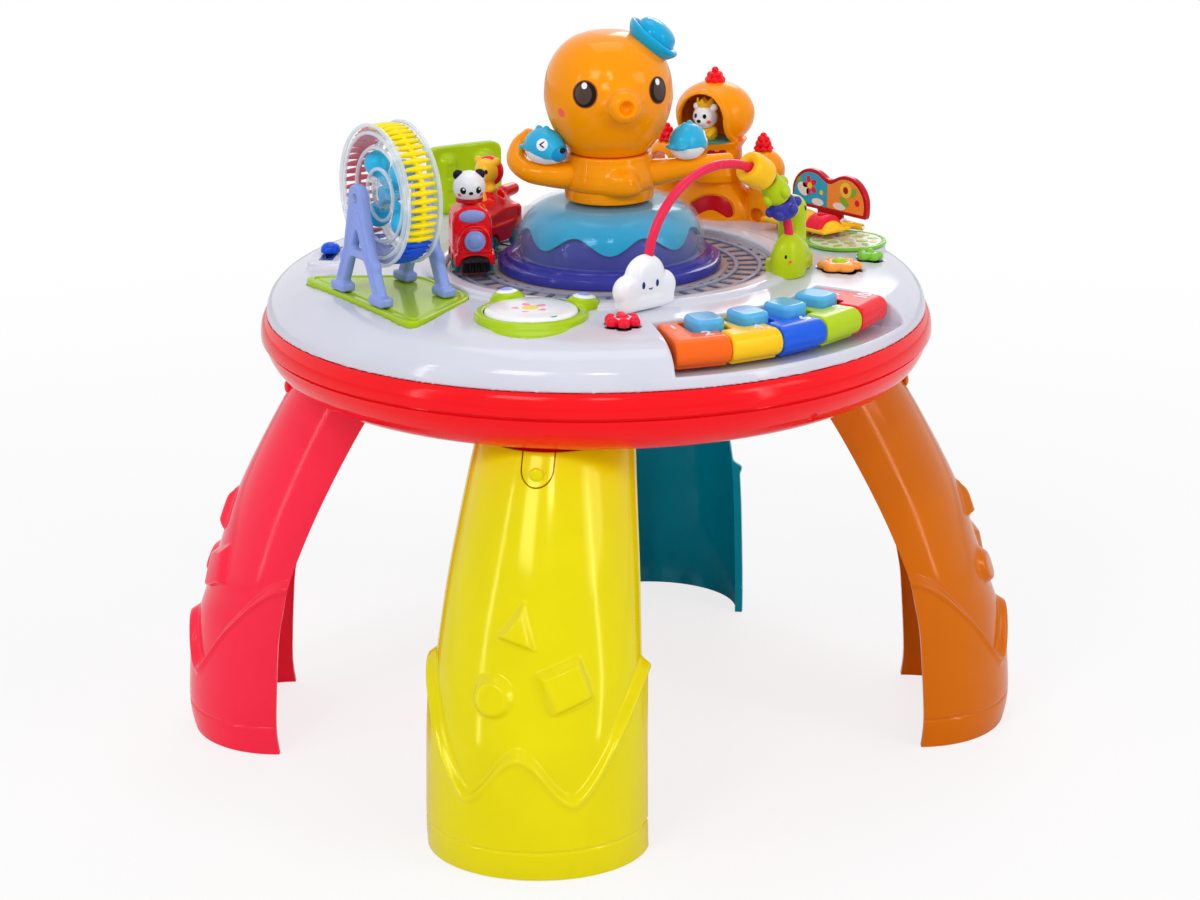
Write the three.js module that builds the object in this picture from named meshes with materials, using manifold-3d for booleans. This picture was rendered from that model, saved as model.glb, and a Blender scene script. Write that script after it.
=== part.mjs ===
// Musical activity table for toddlers: a round play deck on a red bowl, carried by four
// half-tube legs. Millimetres, +Z up, origin on the floor under the middle of the table.
// The piano faces -Y. Angles are in degrees from +X, seen from above.
import * as THREE from 'three';
import { mergeVertices } from 'three/addons/utils/BufferGeometryUtils.js';
import Module from 'manifold-3d';

const wasm = await Module();
wasm.setup();

// Driving dimensions, in millimetres and degrees. Heights of the legs and of the inner parts are
// from the bowl's base, heights on the deck are from the deck's crown, and the distances and radii
// that place pieces about the middle of the table are shares of the bowl's radius.

const seat_gap = 0.3; // between pieces that rest on each other
const run_gap = 0.5; // round pieces that move
const overrun = 30; // how far a cutting tool passes the face that it cuts
const merge_tolerance = 0.0001;
const rim_segments = 28; // round the bowl and the deck
const ring_segments = 28; // round the track
const key_segments = 48; // round the fronts of the keys

const bowl = {
  radius: 230,
  rim_radius_share: 0.982174,
  base_height: 255,
  rim_height: 47,
  wall: 2.8,
  profile_shares: [[0.652, 0], [0.87, 0.05], [0.939, 0.191], [0.981, 0.43], [0.994, 0.66],
    [1, 0.702], [0.999, 0.851]],
};
const deck = {
  crown_height: 29,
  wall: 2.6,
  profile_shares: [[0.9965, 0.233], [0.982, 0.477], [0.951, 0.704], [0.904, 0.847],
    [0.842, 0.923], [0.709, 0.972], [0.554, 1]],
};
const toys = { x: 7.5, y: -6 };
const track = {
  floor_height: -1.8,
  thickness: 3.2,
  inner_radius: 66,
  well_radius: 112,
  opening_radius: 56,
  centre_radius: 95,
  gauge: 16,
  rail_width: 2,
  rail_rise: 1.2,
  ridge_width: 16,
  ridge_height: 3.3,
  ridge_round: 2,
};
const plinth = {
  flange_radius: 76.5,
  flange_edge: 6.5,
  flange_height: 10.5,
  shoulder_radius: 39,
  shoulder_height: 19,
  corner: 26,
  corner_steps: 3,
  cover_wall: 1.8,
  cap_wall: 2,
  drum_wall: 2.4,
  gap: 0.3,
  hole_radius: 9,
  socket_depth: 26,
  socket_wall: 2.4,
  wave_count: 8,
  wave_low: 19,
  wave_rise: 11,
  wave_width: 34,
};
const octopus = {
  trunk_foot_share: 0.1,
  belly_low_share: 0.2,
  belly_high_share: 0.42,
  trunk_top_share: 0.72,
  bump_out_share: 0.78,
  bump_side_share: 0.24,
  jaw_shares: [[0.82, 0.28], [0.95, 0.62], [1, 1]],
  crown_shares: [[0.96, 0.32], [0.83, 0.62], [0.62, 0.84], [0.35, 0.96], [0, 1]],
  facing: -130,
  face_turn: 12.5,
  base_radius: 30.3,
  belly_radius: 33.4,
  neck_radius: 26.8,
  neck_height: 77.5,
  head_radius: 43.5,
  head_height: 118,
  crown_height: 159.5,
  stem_radius: 7.6,
  stem_length: 24,
  snout_radius: 13.2,
  snout_reach: 36,
  snout_tip_radius: 8.2,
  snout_tip_length: 11,
  dimple_radius: 3,
  eye_radius: 8.6,
  eye_spread: 38,
  eye_height: 124,
  eye_rise: 0.6,
  bump_radius: 11.5,
  bump_height: 58.5,
};
const arm = {
  root_radius: 8.4,
  left_route_shares: [[0.38, -0.7, 0], [0.44, -1.2, 0.06], [0.38, -1.62, 0.16], [0.08, -1.82, 0.5],
    [-0.2, -1.76, 1], [-0.28, -1.64, 1.5]],
  left_radius_shares: [1, 0.88, 0.8, 0.79, 0.8, 0.78, 0.7, 0.3],
  right_route_shares: [[0.2, 0.78, 0], [0.12, 1.4, 0.1], [0.04, 1.95, 0.3], [-0.02, 2.4, 0.46]],
  right_radius_shares: [1, 0.86, 0.74, 0.62, 0.52, 0.2],
  height: 64,
  rise: 16,
};
const hat = {
  shoulder_radius_share: 0.7,
  shoulder_height_share: 0.88,
  brim_radius: 19.5,
  brim_height: 5,
  crown_radius: 14.5,
  crown_height: 14.5,
  lean: 40,
  reach: 39.8,
};
const fish = {
  length: 27,
  width: 20,
  height: 22,
  lift: 1,
  tail_length: 9,
  tail_width: 13,
  fin_radius: 3,
  left: { x: 15, y: -43, turn: 20 },
  right: { x: 2, y: 54, turn: 180 },
};
const leg = {
  valley_angle: 29.5,
  tip_angle: 90,
  azimuth: 39.6,
  wall: 3,
  top_height: 7,
  height_shares: [0, 0.076, 0.31, 0.36, 0.42, 0.485, 0.66, 0.86, 1],
  outer_radius_share: 1.273913,
  outer_shares: [0.975, 0.987, 0.971, 0.955, 0.9386, 0.918, 0.862, 0.77, 0.695],
  tip_radius_share: 0.976522,
  tip_shares: [0.992, 1, 0.983, 0.972, 0.9595, 0.9386, 0.8504, 0.7257, 0.619],
  half_width_share: 0.303478,
  width_shares: [1, 1, 0.992, 0.99, 0.986, 0.975, 0.918, 0.823, 0.75],
  skirt_rise: 4.2,
  skirt_valley: 54,
  skirt_peak: 84,
  skirt_side: 124,
  skirt_blend: 6,
  around_steps: 8,
};
const badge = { rise: 2.6, sink: 2 };
const triangle_badge = { around: -1, height: 156, corners_shares: [[0, 1], [-0.95, -0.28], [0.52, -0.72]],
    size: 17.5 };
const circle_badge = { around: -16, height: 115.5, radius: 13 };
const square_badge = { around: 24, height: 123, half: 14, turn: 22 };
const latch = {
  width: 20,
  slot: 0.9,
  height: -17.5,
  button_radius: 4.4,
  button_rise: 2.2,
  button_height: -10,
  reach_share: 0.8,
};
const stub = { wall: 3, foot: -20, top: 2.6, half_angle: 67.5, window_margin: 4, gap: 1 };
const wheel = {
  azimuth: 172.4,
  distance_share: 0.688261,
  axle_height: 68.2,
  axle_radius: 2.6,
  radius: 47.3,
  half_width: 12.7,
  wall: 1.5,
  channel_depth: 6.2,
  band_thickness: 1.6,
  rib_rise: 2,
  rib_width: 3,
  rib_count: 24,
  hub_radius: 6,
  hub_half: 7,
  arm_radius: 2.4,
  arm_count: 4,
  bulb_radius: 8,
  bulb_distance: 24,
  segments: 24,
};
const stand = {
  offset: 23.6,
  thickness: 7,
  foot_spread: 26,
  foot_length: 17,
  foot_width: 10,
  foot_height: 5,
  limb: 8.5,
  apex_radius: 9,
  bar_rise: 6,
  bar_height: 6,
};
const plate = {
  top_height: 1,
  floor_height: -5,
  inner_distance_share: 0.532609,
  outer_distance_share: 0.882609,
  inner_angle: 16.8,
  outer_angle: 22.6,
  corner: 8,
  round: 1,
};
const train = {
  height: -0.1,
  width: 27,
  loco_angle: 149,
  loco_length: 40,
  hood_length: 13,
  hood_height: 32,
  wagon_angle: 112,
  wagon_length: 54,
  wheel_radius: 6.5,
  wheel_width: 3,
  chassis_height: 7,
  chassis_rise: 5,
  body_round: 5,
  cab_height: 45,
  wagon_height: 42.6,
  wagon_well: 9,
  axle_spread: 11,
  guard_length: 5,
  guard_half: 9.5,
  guard_foot: 6,
  guard_top: 16,
  lamp_radius: 7.4,
  lamp_height: 24,
  lamp_rise: 2.4,
  window_width: 9,
  window_height: 5,
  window_rise: 2,
  window_lift: 38.6,
  tail_length: 13,
  tail_radius: 5,
  tail_height: 36,
  link_height: 5,
  link_half: 3,
};
const panda = { head_radius: 11, head_height: 55.5, ear_radius: 3.6, neck_radius: 6, squash: 0.92 };
const lion = { head_radius: 9.4, head_height: 55, hood_radius: 10.8, hood_depth: 6, body_radius: 6.6 };
const castle = {
  finial_shares: [[0, -0.2], [0.6, -0.2], [1, 0.22], [0.62, 0.48], [0.8, 0.62], [0.4, 0.95], [0, 1]],
  azimuth: 20,
  distance_share: 0.76087,
  dome_height: 73.5,
  dome_depth: 27,
  dome_width: 29,
  dome_half_height: 23.5,
  dome_wall: 3,
  door_width: 34,
  door_foot: 55,
  door_top: 86.5,
  neck_depth: 19,
  neck_width: 21.5,
  neck_height: 53,
  base_depth: 21,
  base_width: 29,
  base_height: 29,
  base_foot: -15,
  base_corner: 9,
  turret_spread: 39.5,
  turret_radius: 15.7,
  turret_height: 42,
  turret_foot: 17,
  turret_window: 6.8,
  column_radius: 12,
  gate_radius: 5.5,
  gate_height: 4,
  berry_radius: 7.6,
  berry_height: 13,
  small_berry_height: 19,
};
const bear = {
  ear_share: 0.75,
  reach: 15,
  body_width: 9.4,
  body_depth: 7.4,
  body_half: 9,
  body_middle: 61.5,
  head_radius: 9,
  head_height: 72,
  ear_radius: 3,
  crown_radius: 4.6,
  crown_top: 85.4,
};
const arch = {
  bead_cut_angle: 30,
  y_share: -0.513043,
  centre_height: 22.5,
  radius: 63,
  rod_radius: 3.1,
  hole_gap: 0.8,
  step_angle: 9,
  circle_steps: 4,
  left_foot: 14,
  right_foot: 16,
};
const cloud = { base_share: 0.8, thickness: 13, top: 36, lobe: 16, side_lobe: 9.5, side_height: 13.5, spread: 18,
    middle: -58.5 };
const worm = {
  hump_radius: 13,
  hump_depth: 10.5,
  hump_top: 30.5,
  middle_top: 25,
  tall_top: 50,
  tall_width: 10.5,
  tall_depth: 8.5,
  tall_x: 21.5,
  tall_y: 20,
};
const bead_shoulder_share = 0.75;
const bead_belly_share = 0.3;
const beads = {
  yellow: { at: 58.7, half_length: 9.5, radius: 9.6, end: 5.8 },
  green: { at: 39.4, half_length: 8.1, radius: 7.6, end: 5.5, ear: 4.2, ear_reach: 8 },
  purple: { at: 24.6, half_length: 5.9, radius: 8.4, lobe: 12, lobe_round: 12, lobe_count: 6 },
};
const drum = {
  chin_width_share: 1.5,
  x_share: -0.53913,
  y_share: -0.36087,
  radius: 37,
  pad_radius: 30.3,
  frame_top: 3.8,
  well_floor: 1.2,
  rim_slope: 2,
  pad_bottom: 3,
  pad_top: 6.2,
  pad_gap: 0.8,
  stem_radius: 5,
  stem_length: 14,
  eye_x: -34,
  eye_y: 25.6,
  eye_radius: 11.5,
  eye_height: 9,
  chin_reach: 12,
};
const piano = {
  front_round_share: 0.29,
  first_angle: -116.4,
  key_angle: 10.2,
  key_count: 5,
  key_gap: 0.9,
  back_radius_share: 0.71087,
  front_radius_share: 0.928261,
  trough_back_share: 0.70087,
  trough_front_share: 0.96087,
  trough_floor: -24.5,
  lip_height: -21,
  key_bottom: -20.4,
  key_top: -0.8,
  front_round: 9,
  front_slope: 2.4,
  side_margin: 2.2,
  small_inner_share: 0.728261,
  small_outer_share: 0.834783,
  small_width: 24,
  small_top: 5.2,
  small_bottom: -19.5,
  small_gap: 1.3,
  small_shift: -1.4,
  small_round: 2,
  stem_radius: 3.6,
  stem_foot: -32,
  lug_depth: 3.5,
};
const flower = {
  rise: 4.6,
  dome: 2.4,
  petal_round: 15,
  notch_share: 0.72,
  round: 0.8,
  core_share: 0.42,
  lift: 2.4,
  stem_radius: 4.4,
  stem_length: 14,
  red: { radius: 12.2, distance_share: 0.719565, azimuth: -124.2, petals: 6 },
  orange: { radius: 15.4, distance_share: 0.726087, azimuth: -47.2, petals: 6 },
  green: { radius: 9.6, distance_share: 0.821739, azimuth: -37, petals: 5 },
};
const disc = {
  x_share: 0.728261,
  y_share: -0.317391,
  radius: 28.6,
  thickness: 2.6,
  height: -0.1,
  stem_radius: 4,
  stem_length: 14,
  boss: 28,
};
const book = {
  x_share: 0.830435,
  y_share: -0.147826,
  half_width: 38,
  spine_half: 7,
  axis_height: 6,
  barrel_radius: 2.6,
  pin_radius: 1.1,
  pin_gap: 0.5,
  spine_foot: -13,
  spine_top: 5,
  spine_start: -14.4,
  cheek: 4,
  inner_cheek: 1.8,
  cheek_radius: 3.6,
  page_thickness: 5,
  page_bottom: 12,
  page_top: 41,
  neck_half: 12,
  barrel_inner: 15,
  barrel_outer: 33,
  bee_near: 11.5,
  bee_far: 39,
  bee_bottom: 6,
  bee_top: 16.6,
  bee_corner: 9,
  bee_arm: 2.6,
  bee_foot_radius: 3,
  bee_feet: [-2, 26],
};
const slider = {
  waist_height_share: 0.4,
  shoulder_radius_share: 0.8,
  shoulder_height_share: 0.78,
  top_radius_share: 0.45,
  azimuth: 133.8,
  distance_share: 0.8,
  ledge_length: 50,
  ledge_width: 24,
  ledge_height: 3,
  slot_length: 30,
  slot_width: 5.4,
  knob_radius: 7,
  knob_height: 11,
  stem_radius: 2.2,
  stem_length: 16,
  travel: 11,
};
const panel = {
  azimuth: 79,
  radius_share: 0.869565,
  thickness: 7,
  half_angle: 8.6,
  top_height: 48,
  base_height: -15,
  bulge_radius: 8,
  bulge_reach: 1.5,
  bulge_angle: 4.2,
  bulge_top: 41,
  badge: 4.5,
  badge_height: 31,
  badge_rise: 1,
};
const battery = {
  x: 0,
  y: 92,
  length: 76,
  width: 56,
  ledge: 3,
  door: 1.4,
  floor_gap: 1.7,
  pocket_height: 24,
  wall: 2.4,
};
const speaker = {
  x: 0,
  y: -96,
  radius: 28.5,
  rim_height: 3,
  cone_height: 15,
  magnet_radius: 14,
  magnet_height: 7,
  hole_radius: 2.2,
  hole_ring: 11,
  hole_count: 5,
};
const board = {
  x: 0,
  y: 0,
  length: 108,
  width: 74,
  thickness: 1.6,
  height: 17,
  post_radius: 4,
  post_inset: 8,
  chip: 16,
  chip_height: 3,
  plug_length: 22,
  plug_width: 7,
  plug_height: 9,
};

// The values above give some heights from a lower piece's height, and some distances as shares
// of the bowl's radius. Here they become heights from the floor and distances in millimetres.

function raise(sizes, from, ...names) {
  for (const name of names) sizes[name] += from;
}

function spread(sizes, ...names) {
  for (const name of names) sizes[name] = bowl.radius * sizes[`${name}_share`];
}

spread(bowl, 'rim_radius');
raise(bowl, bowl.base_height, 'rim_height');
raise(deck, bowl.rim_height, 'crown_height');
deck.rim_radius = bowl.rim_radius - seat_gap;
raise(leg, bowl.base_height, 'top_height');
raise(latch, bowl.base_height, 'height', 'button_height');
raise(stub, bowl.base_height, 'foot', 'top');
raise(board, bowl.base_height, 'height');
raise(track, deck.crown_height, 'floor_height', 'ridge_height');
raise(plinth, deck.crown_height, 'shoulder_height', 'wave_low');
raise(octopus, deck.crown_height, 'neck_height', 'head_height', 'crown_height', 'eye_height',
  'bump_height');
raise(arm, deck.crown_height, 'height');
raise(wheel, deck.crown_height, 'axle_height');
raise(plate, deck.crown_height, 'top_height', 'floor_height');
raise(train, deck.crown_height, 'height');
raise(panda, deck.crown_height, 'head_height');
raise(lion, deck.crown_height, 'head_height');
raise(castle, deck.crown_height, 'dome_height', 'door_foot', 'door_top', 'neck_height', 'base_height',
  'base_foot', 'turret_height', 'turret_foot', 'gate_height');
raise(bear, deck.crown_height, 'body_middle', 'head_height', 'crown_top');
raise(arch, deck.crown_height, 'centre_height', 'left_foot', 'right_foot');
raise(cloud, deck.crown_height, 'top', 'side_height');
raise(worm, deck.crown_height, 'hump_top', 'middle_top', 'tall_top');
raise(drum, deck.crown_height, 'frame_top', 'well_floor', 'pad_bottom', 'pad_top', 'eye_height');
raise(piano, deck.crown_height, 'trough_floor', 'lip_height', 'key_bottom', 'key_top', 'small_top',
  'small_bottom', 'stem_foot');
raise(disc, deck.crown_height, 'height');
raise(book, deck.crown_height, 'axis_height', 'spine_foot', 'spine_top', 'page_bottom', 'page_top',
  'bee_bottom', 'bee_top');
raise(slider, deck.crown_height, 'ledge_height', 'knob_height');
raise(panel, deck.crown_height, 'top_height', 'base_height', 'bulge_top', 'badge_height');
spread(leg, 'outer_radius', 'tip_radius', 'half_width');
spread(wheel, 'distance');
spread(plate, 'inner_distance', 'outer_distance');
spread(castle, 'distance');
spread(arch, 'y');
spread(drum, 'x', 'y');
spread(piano, 'back_radius', 'front_radius', 'trough_back', 'trough_front', 'small_inner', 'small_outer');
[flower.red, flower.orange, flower.green].forEach((one) => spread(one, 'distance'));
spread(disc, 'x', 'y');
spread(book, 'x', 'y');
spread(slider, 'distance');
spread(panel, 'radius');

const colours = {
  bowl: 0xf5121b,
  deck: 0xe9e6f2,
  track: 0x8f93a8,
  purple: 0x4f489c,
  wave: 0x3fc2d8,
  clear: 0xdfeff5,
  yellow: 0xe6d800,
  pink: 0xff2d4a,
  orange_leg: 0xcf6400,
  teal: 0x006e80,
  green: 0xb4c80f,
  blue: 0x8aa4dc,
  orange: 0xff9c10,
  hat: 0x1199c8,
  red: 0xe01020,
  white: 0xf4f4f6,
  royal: 0x1f4fc8,
  sky: 0x6ab4e4,
  board: 0x1e6b3a,
  black: 0x202024,
  bead: 0xffc400,
};

// Shape helpers

const rad = THREE.MathUtils.degToRad;
const up = new THREE.Vector3(0, 0, 1);

function finish(colour, roughness = 0.28, opacity = 1) {
  return new THREE.MeshStandardMaterial({
    color: colour, roughness, metalness: 0, transparent: opacity < 1, opacity,
  });
}

function solid(geometry) {
  const bare = geometry.clone();
  bare.deleteAttribute('normal');
  bare.deleteAttribute('uv');
  const merged = mergeVertices(bare, merge_tolerance);
  const position = merged.attributes.position;
  const index = merged.index.array;
  const faces = [];
  const [a, b, c] = [new THREE.Vector3(), new THREE.Vector3(), new THREE.Vector3()];
  let volume = 0;
  for (let i = 0; i < index.length; i += 3) {
    const [p, q, r] = [index[i], index[i + 1], index[i + 2]];
    if (p === q || q === r || r === p) continue;
    faces.push([p, q, r]);
    volume += a.fromBufferAttribute(position, p).dot(
      b.fromBufferAttribute(position, q).cross(c.fromBufferAttribute(position, r)));
  }
  if (volume < 0) faces.forEach((face) => face.reverse());
  return new wasm.Manifold(new wasm.Mesh({
    numProp: 3,
    vertProperties: new Float32Array(position.array),
    triVerts: new Uint32Array(faces.flat()),
  }));
}

function moved(body, matrix) {
  return body.transform(matrix.elements);
}

function place(x, y, z, turn = 0) {
  return new THREE.Matrix4().makeRotationZ(rad(turn)).setPosition(x, y, z);
}

function polar(distance, azimuth) {
  return [distance * Math.cos(rad(azimuth)), distance * Math.sin(rad(azimuth))];
}

function union(...bodies) {
  return bodies.flat().reduce((sum, body) => sum.add(body));
}

function lathe(points, segments = 24) {
  const profile = points.map(([r, z]) => new THREE.Vector2(r, z));
  return solid(new THREE.LatheGeometry(profile, segments).rotateX(Math.PI / 2));
}

// A disc or tube about the local z axis, from one height to another
function post(radius, bottom, top, x = 0, y = 0, sides = 16) {
  const shape = new THREE.CylinderGeometry(radius, radius, top - bottom, sides);
  return solid(shape.rotateX(Math.PI / 2).translate(x, y, (bottom + top) / 2));
}

function pin(radius, from, to, sides = 12) {
  const shape = new THREE.CylinderGeometry(radius, radius, to - from, sides);
  return solid(shape.rotateZ(Math.PI / 2).translate((from + to) / 2, 0, 0));
}

function block(x0, x1, y0, y1, z0, z1) {
  const shape = new THREE.BoxGeometry(x1 - x0, y1 - y0, z1 - z0);
  return solid(shape.translate((x0 + x1) / 2, (y0 + y1) / 2, (z0 + z1) / 2));
}

function ball(rx, ry, rz, x, y, z, around = 12, down = 8) {
  const shape = new THREE.SphereGeometry(1, around, down).rotateX(Math.PI / 2);
  return solid(shape.scale(rx, ry, rz).translate(x, y, z));
}

function outline(points) {
  return new THREE.Shape(points.map(([x, y]) => new THREE.Vector2(x, y)));
}

function slab(shape, bottom, top, round = 0, curveSegments = 2) {
  const options = { depth: top - bottom - 2 * round, bevelEnabled: round > 0, curveSegments };
  Object.assign(options, { bevelSize: round, bevelThickness: round, bevelOffset: -round,
      bevelSegments: 1 });
  return solid(new THREE.ExtrudeGeometry(shape, options).translate(0, 0, bottom + round));
}

// A shape drawn in the local y and z, pushed along the local x
function alongX(shape, from, to, steps = 6) {
  const basis = new THREE.Matrix4().makeBasis(new THREE.Vector3(0, 1, 0), up, new THREE.Vector3(1, 0, 0));
  return moved(slab(shape, from, to, 0, steps), basis);
}

// An upright oval column
function oval(half_x, half_y, bottom, top, x = 0, y = 0, sides = 16) {
  const shape = new THREE.CylinderGeometry(1, 1, top - bottom, sides).rotateX(Math.PI / 2);
  return solid(shape.scale(half_x, half_y, 1).translate(x, y, (bottom + top) / 2));
}

// A rounded rectangle centred on x, y
function roundedRectangle(half_x, half_y, corner, x = 0, y = 0) {
  const shape = new THREE.Shape();
  shape.moveTo(x - half_x + corner, y - half_y);
  shape.lineTo(x + half_x - corner, y - half_y);
  shape.absarc(x + half_x - corner, y - half_y + corner, corner, -Math.PI / 2, 0);
  shape.lineTo(x + half_x, y + half_y - corner);
  shape.absarc(x + half_x - corner, y + half_y - corner, corner, 0, Math.PI / 2);
  shape.lineTo(x - half_x + corner, y + half_y);
  shape.absarc(x - half_x + corner, y + half_y - corner, corner, Math.PI / 2, Math.PI);
  shape.lineTo(x - half_x, y - half_y + corner);
  shape.absarc(x - half_x + corner, y - half_y + corner, corner, Math.PI, 1.5 * Math.PI);
  return shape;
}

// A piece of a ring, seen from above
function sector(inner, outer, from, to) {
  const shape = new THREE.Shape();
  shape.absarc(0, 0, outer, rad(from), rad(to), false);
  shape.absarc(0, 0, inner, rad(to), rad(from), true);
  return shape;
}

// A tapering round arm along a smooth curve, its radii spread evenly over the curve
function limb(points, radii, around = 8) {
  const route = new THREE.CatmullRomCurve3(points.map((point) => new THREE.Vector3(...point)));
  const steps = radii.length - 1;
  const { normals, binormals } = route.computeFrenetFrames(steps);
  const shape = new THREE.CylinderGeometry(1, 1, 1, around, steps);
  const position = shape.attributes.position;
  for (let i = 0; i < position.count; i += 1) {
    const step = Math.round((position.getY(i) + 1 / 2) * steps);
    const point = route.getPointAt(step / steps)
      .addScaledVector(normals[step], radii[step] * position.getX(i))
      .addScaledVector(binormals[step], radii[step] * position.getZ(i));
    position.setXYZ(i, ...point.toArray());
  }
  return solid(shape);
}

function piece(name, body, material, parent) {
  const mesh = body.getMesh();
  const geometry = new THREE.BufferGeometry();
  geometry.setAttribute('position', new THREE.BufferAttribute(mesh.vertProperties, 3));
  geometry.setIndex(new THREE.BufferAttribute(mesh.triVerts, 1));
  geometry.computeVertexNormals();
  const node = new THREE.Mesh(geometry, material);
  node.name = name;
  parent.add(node);
  return node;
}

function groupAt(x, y, turn = 0, z = 0) {
  const group = new THREE.Group();
  group.position.set(x, y, z);
  group.rotation.z = rad(turn);
  group.updateMatrixWorld();
  table.add(group);
  return group;
}

function inGroup(body, group) {
  return moved(body, group.matrixWorld.clone().invert());
}

const table = new THREE.Group();

// Deck surface, used to cut every toy that stands on it

function deckProfile(drop = 0) {
  const rise = deck.crown_height - bowl.rim_height;
  const points = deck.profile_shares.map(([r, z]) => [deck.rim_radius * r - drop,
      bowl.rim_height + rise * z - drop]);
  return [[deck.rim_radius - drop, bowl.rim_height + seat_gap], ...points, [0, deck.crown_height - drop]];
}

function ridge(grow = 0) {
  const inner = track.well_radius - grow;
  const outer = track.well_radius + track.ridge_width + grow;
  const top = track.ridge_height + grow;
  const foot = deck.crown_height - deck.wall;
  const round = track.ridge_round;
  return lathe([[inner, foot], [outer, foot], [outer, deck.crown_height], [outer - round, top - round / 2],
    [outer - 2 * round, top], [inner + round, top], [inner, top - round], [inner, foot]], ring_segments)
    .translate([toys.x, toys.y, 0])
    .subtract(post(drum.radius + seat_gap - grow, deck.crown_height + grow, top + overrun, drum.x, drum.y,
        24));
}

function deckBody(grow) {
  return lathe([[0, bowl.rim_height + seat_gap], ...deckProfile(-grow)], rim_segments).add(ridge(grow))
    .add(discBoss(grow)).add(sliderLedge(grow));
}

function discBoss(grow) {
  return post(disc.boss + grow, deck.crown_height - 5 * deck.wall,
      disc.height - seat_gap + grow - run_gap, disc.x, disc.y, 24);
}

function sliderLedge(grow) {
  const [x, y] = polar(slider.distance, slider.azimuth);
  const shape = roundedRectangle(slider.ledge_width / 2 + grow, slider.ledge_length / 2 + grow,
      slider.ledge_width / 4);
  return moved(slab(shape, deck.crown_height - 5 * deck.wall, slider.ledge_height + grow), place(x, y, 0,
      slider.azimuth));
}

const deckKeepOut = deckBody(seat_gap);

function seated(body, group) {
  return body.subtract(inGroup(deckKeepOut, group));
}

// Bowl

const legAzimuths = [180 + leg.azimuth, -leg.azimuth, 180 - leg.azimuth, leg.azimuth];

function bowlProfile(grow) {
  const depth = bowl.rim_height - bowl.base_height;
  return [[0, bowl.base_height - grow], ...bowl.profile_shares.map(([r, z]) => (
    [bowl.radius * r + grow,
        bowl.base_height + depth * z - grow])), [bowl.rim_radius + grow, bowl.rim_height]];
}

function bowlInside() {
  const depth = bowl.rim_height - bowl.base_height;
  const wall = bowl.wall;
  const points = bowl.profile_shares.map(([r, z]) => (
    [(bowl.radius - wall) * r, bowl.base_height + wall + (depth - wall) * z]));
  return [[0, bowl.base_height + wall], ...points, [bowl.rim_radius - wall, bowl.rim_height + wall],
    [0, bowl.rim_height + wall]];
}

function boardPosts(radius, bottom, top) {
  const x = board.length / 2 - board.post_inset;
  const y = board.width / 2 - board.post_inset;
  return [[x, y], [-x, y], [x, -y], [-x, -y]].map(([px, py]) => post(radius, bottom, top, board.x + px,
      board.y + py, 6));
}

function batteryBox(grow, bottom, top) {
  return block(battery.x - battery.length / 2 - grow, battery.x + battery.length / 2 + grow,
    battery.y - battery.width / 2 - grow, battery.y + battery.width / 2 + grow, bottom, top);
}

function bowlShell() {
  const floor = bowl.base_height + bowl.wall;
  const outer = lathe([...bowlProfile(0), [0, bowl.rim_height]], rim_segments);
  const stubs = [];
  for (const azimuth of legAzimuths) stubs.push(moved(legStub(), place(0, 0, 0, azimuth)));
  const pocketTop = bowl.base_height + battery.pocket_height;
  const holes = [];
  for (let i = 0; i < speaker.hole_count; i += 1) {
    const [x, y] = polar(speaker.hole_ring, (360 / speaker.hole_count) * i);
    holes.push(post(speaker.hole_radius, bowl.base_height - overrun, floor + overrun, speaker.x + x,
        speaker.y + y, 6));
  }
  return outer.subtract(lathe(bowlInside(), rim_segments))
    .add(union(stubs))
    .add(batteryBox(battery.wall - battery.ledge, bowl.base_height, pocketTop))
    .subtract(batteryBox(-battery.ledge, bowl.base_height - overrun, pocketTop - battery.wall))
    .subtract(batteryBox(seat_gap, bowl.base_height - overrun, bowl.base_height + battery.floor_gap))
    .add(union(boardPosts(board.post_radius, bowl.base_height + bowl.wall / 2, board.height - seat_gap)))
    .subtract(union(holes));
}

// The bowl's underside, with a gap, where the legs meet it
const bowlKeepOut = lathe([...bowlProfile(seat_gap).slice(0, 4), [0, bowl.rim_height]], rim_segments);

function batteryDoor() {
  return batteryBox(0, bowl.base_height, bowl.base_height + battery.door);
}

function speakerBody() {
  const base = bowl.base_height + bowl.wall + seat_gap;
  const r = speaker.radius;
  const rim = base + speaker.rim_height;
  const back = base + speaker.cone_height;
  const magnet = speaker.magnet_radius;
  return lathe([[0, base + speaker.rim_height / 2], [magnet, base], [r, base], [r, rim], [magnet, back],
    [magnet, back + speaker.magnet_height], [0, back + speaker.magnet_height]], 16)
    .translate([speaker.x, speaker.y, 0]);
}

function mainBoard() {
  const { length, width, thickness, height, chip, chip_height, plug_length, plug_width,
      plug_height } = board;
  const top = height + thickness;
  const chips = [-1, 1].map((side) => block(side * chip - chip / 2, side * chip + chip / 2, -chip / 2,
    chip / 2, height + thickness / 2, top + chip_height));
  const plug = block(-plug_length / 2, plug_length / 2, width / 2 - 2 * plug_width, width / 2 - plug_width,
    height + thickness / 2, top + plug_height);
  const sheet = block(-length / 2, length / 2, -width / 2, width / 2, height, top);
  return union(sheet, chips, plug).translate([board.x, board.y, 0]);
}

// Legs: half tubes, drawn in a frame whose x axis points outwards

function along(shares, share) {
  const heights = leg.height_shares;
  let i = 1;
  while (i < heights.length - 1 && heights[i] < share) i += 1;
  const mix = (share - heights[i - 1]) / (heights[i] - heights[i - 1]);
  return shares[i - 1] + (shares[i] - shares[i - 1]) * mix;
}

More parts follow.
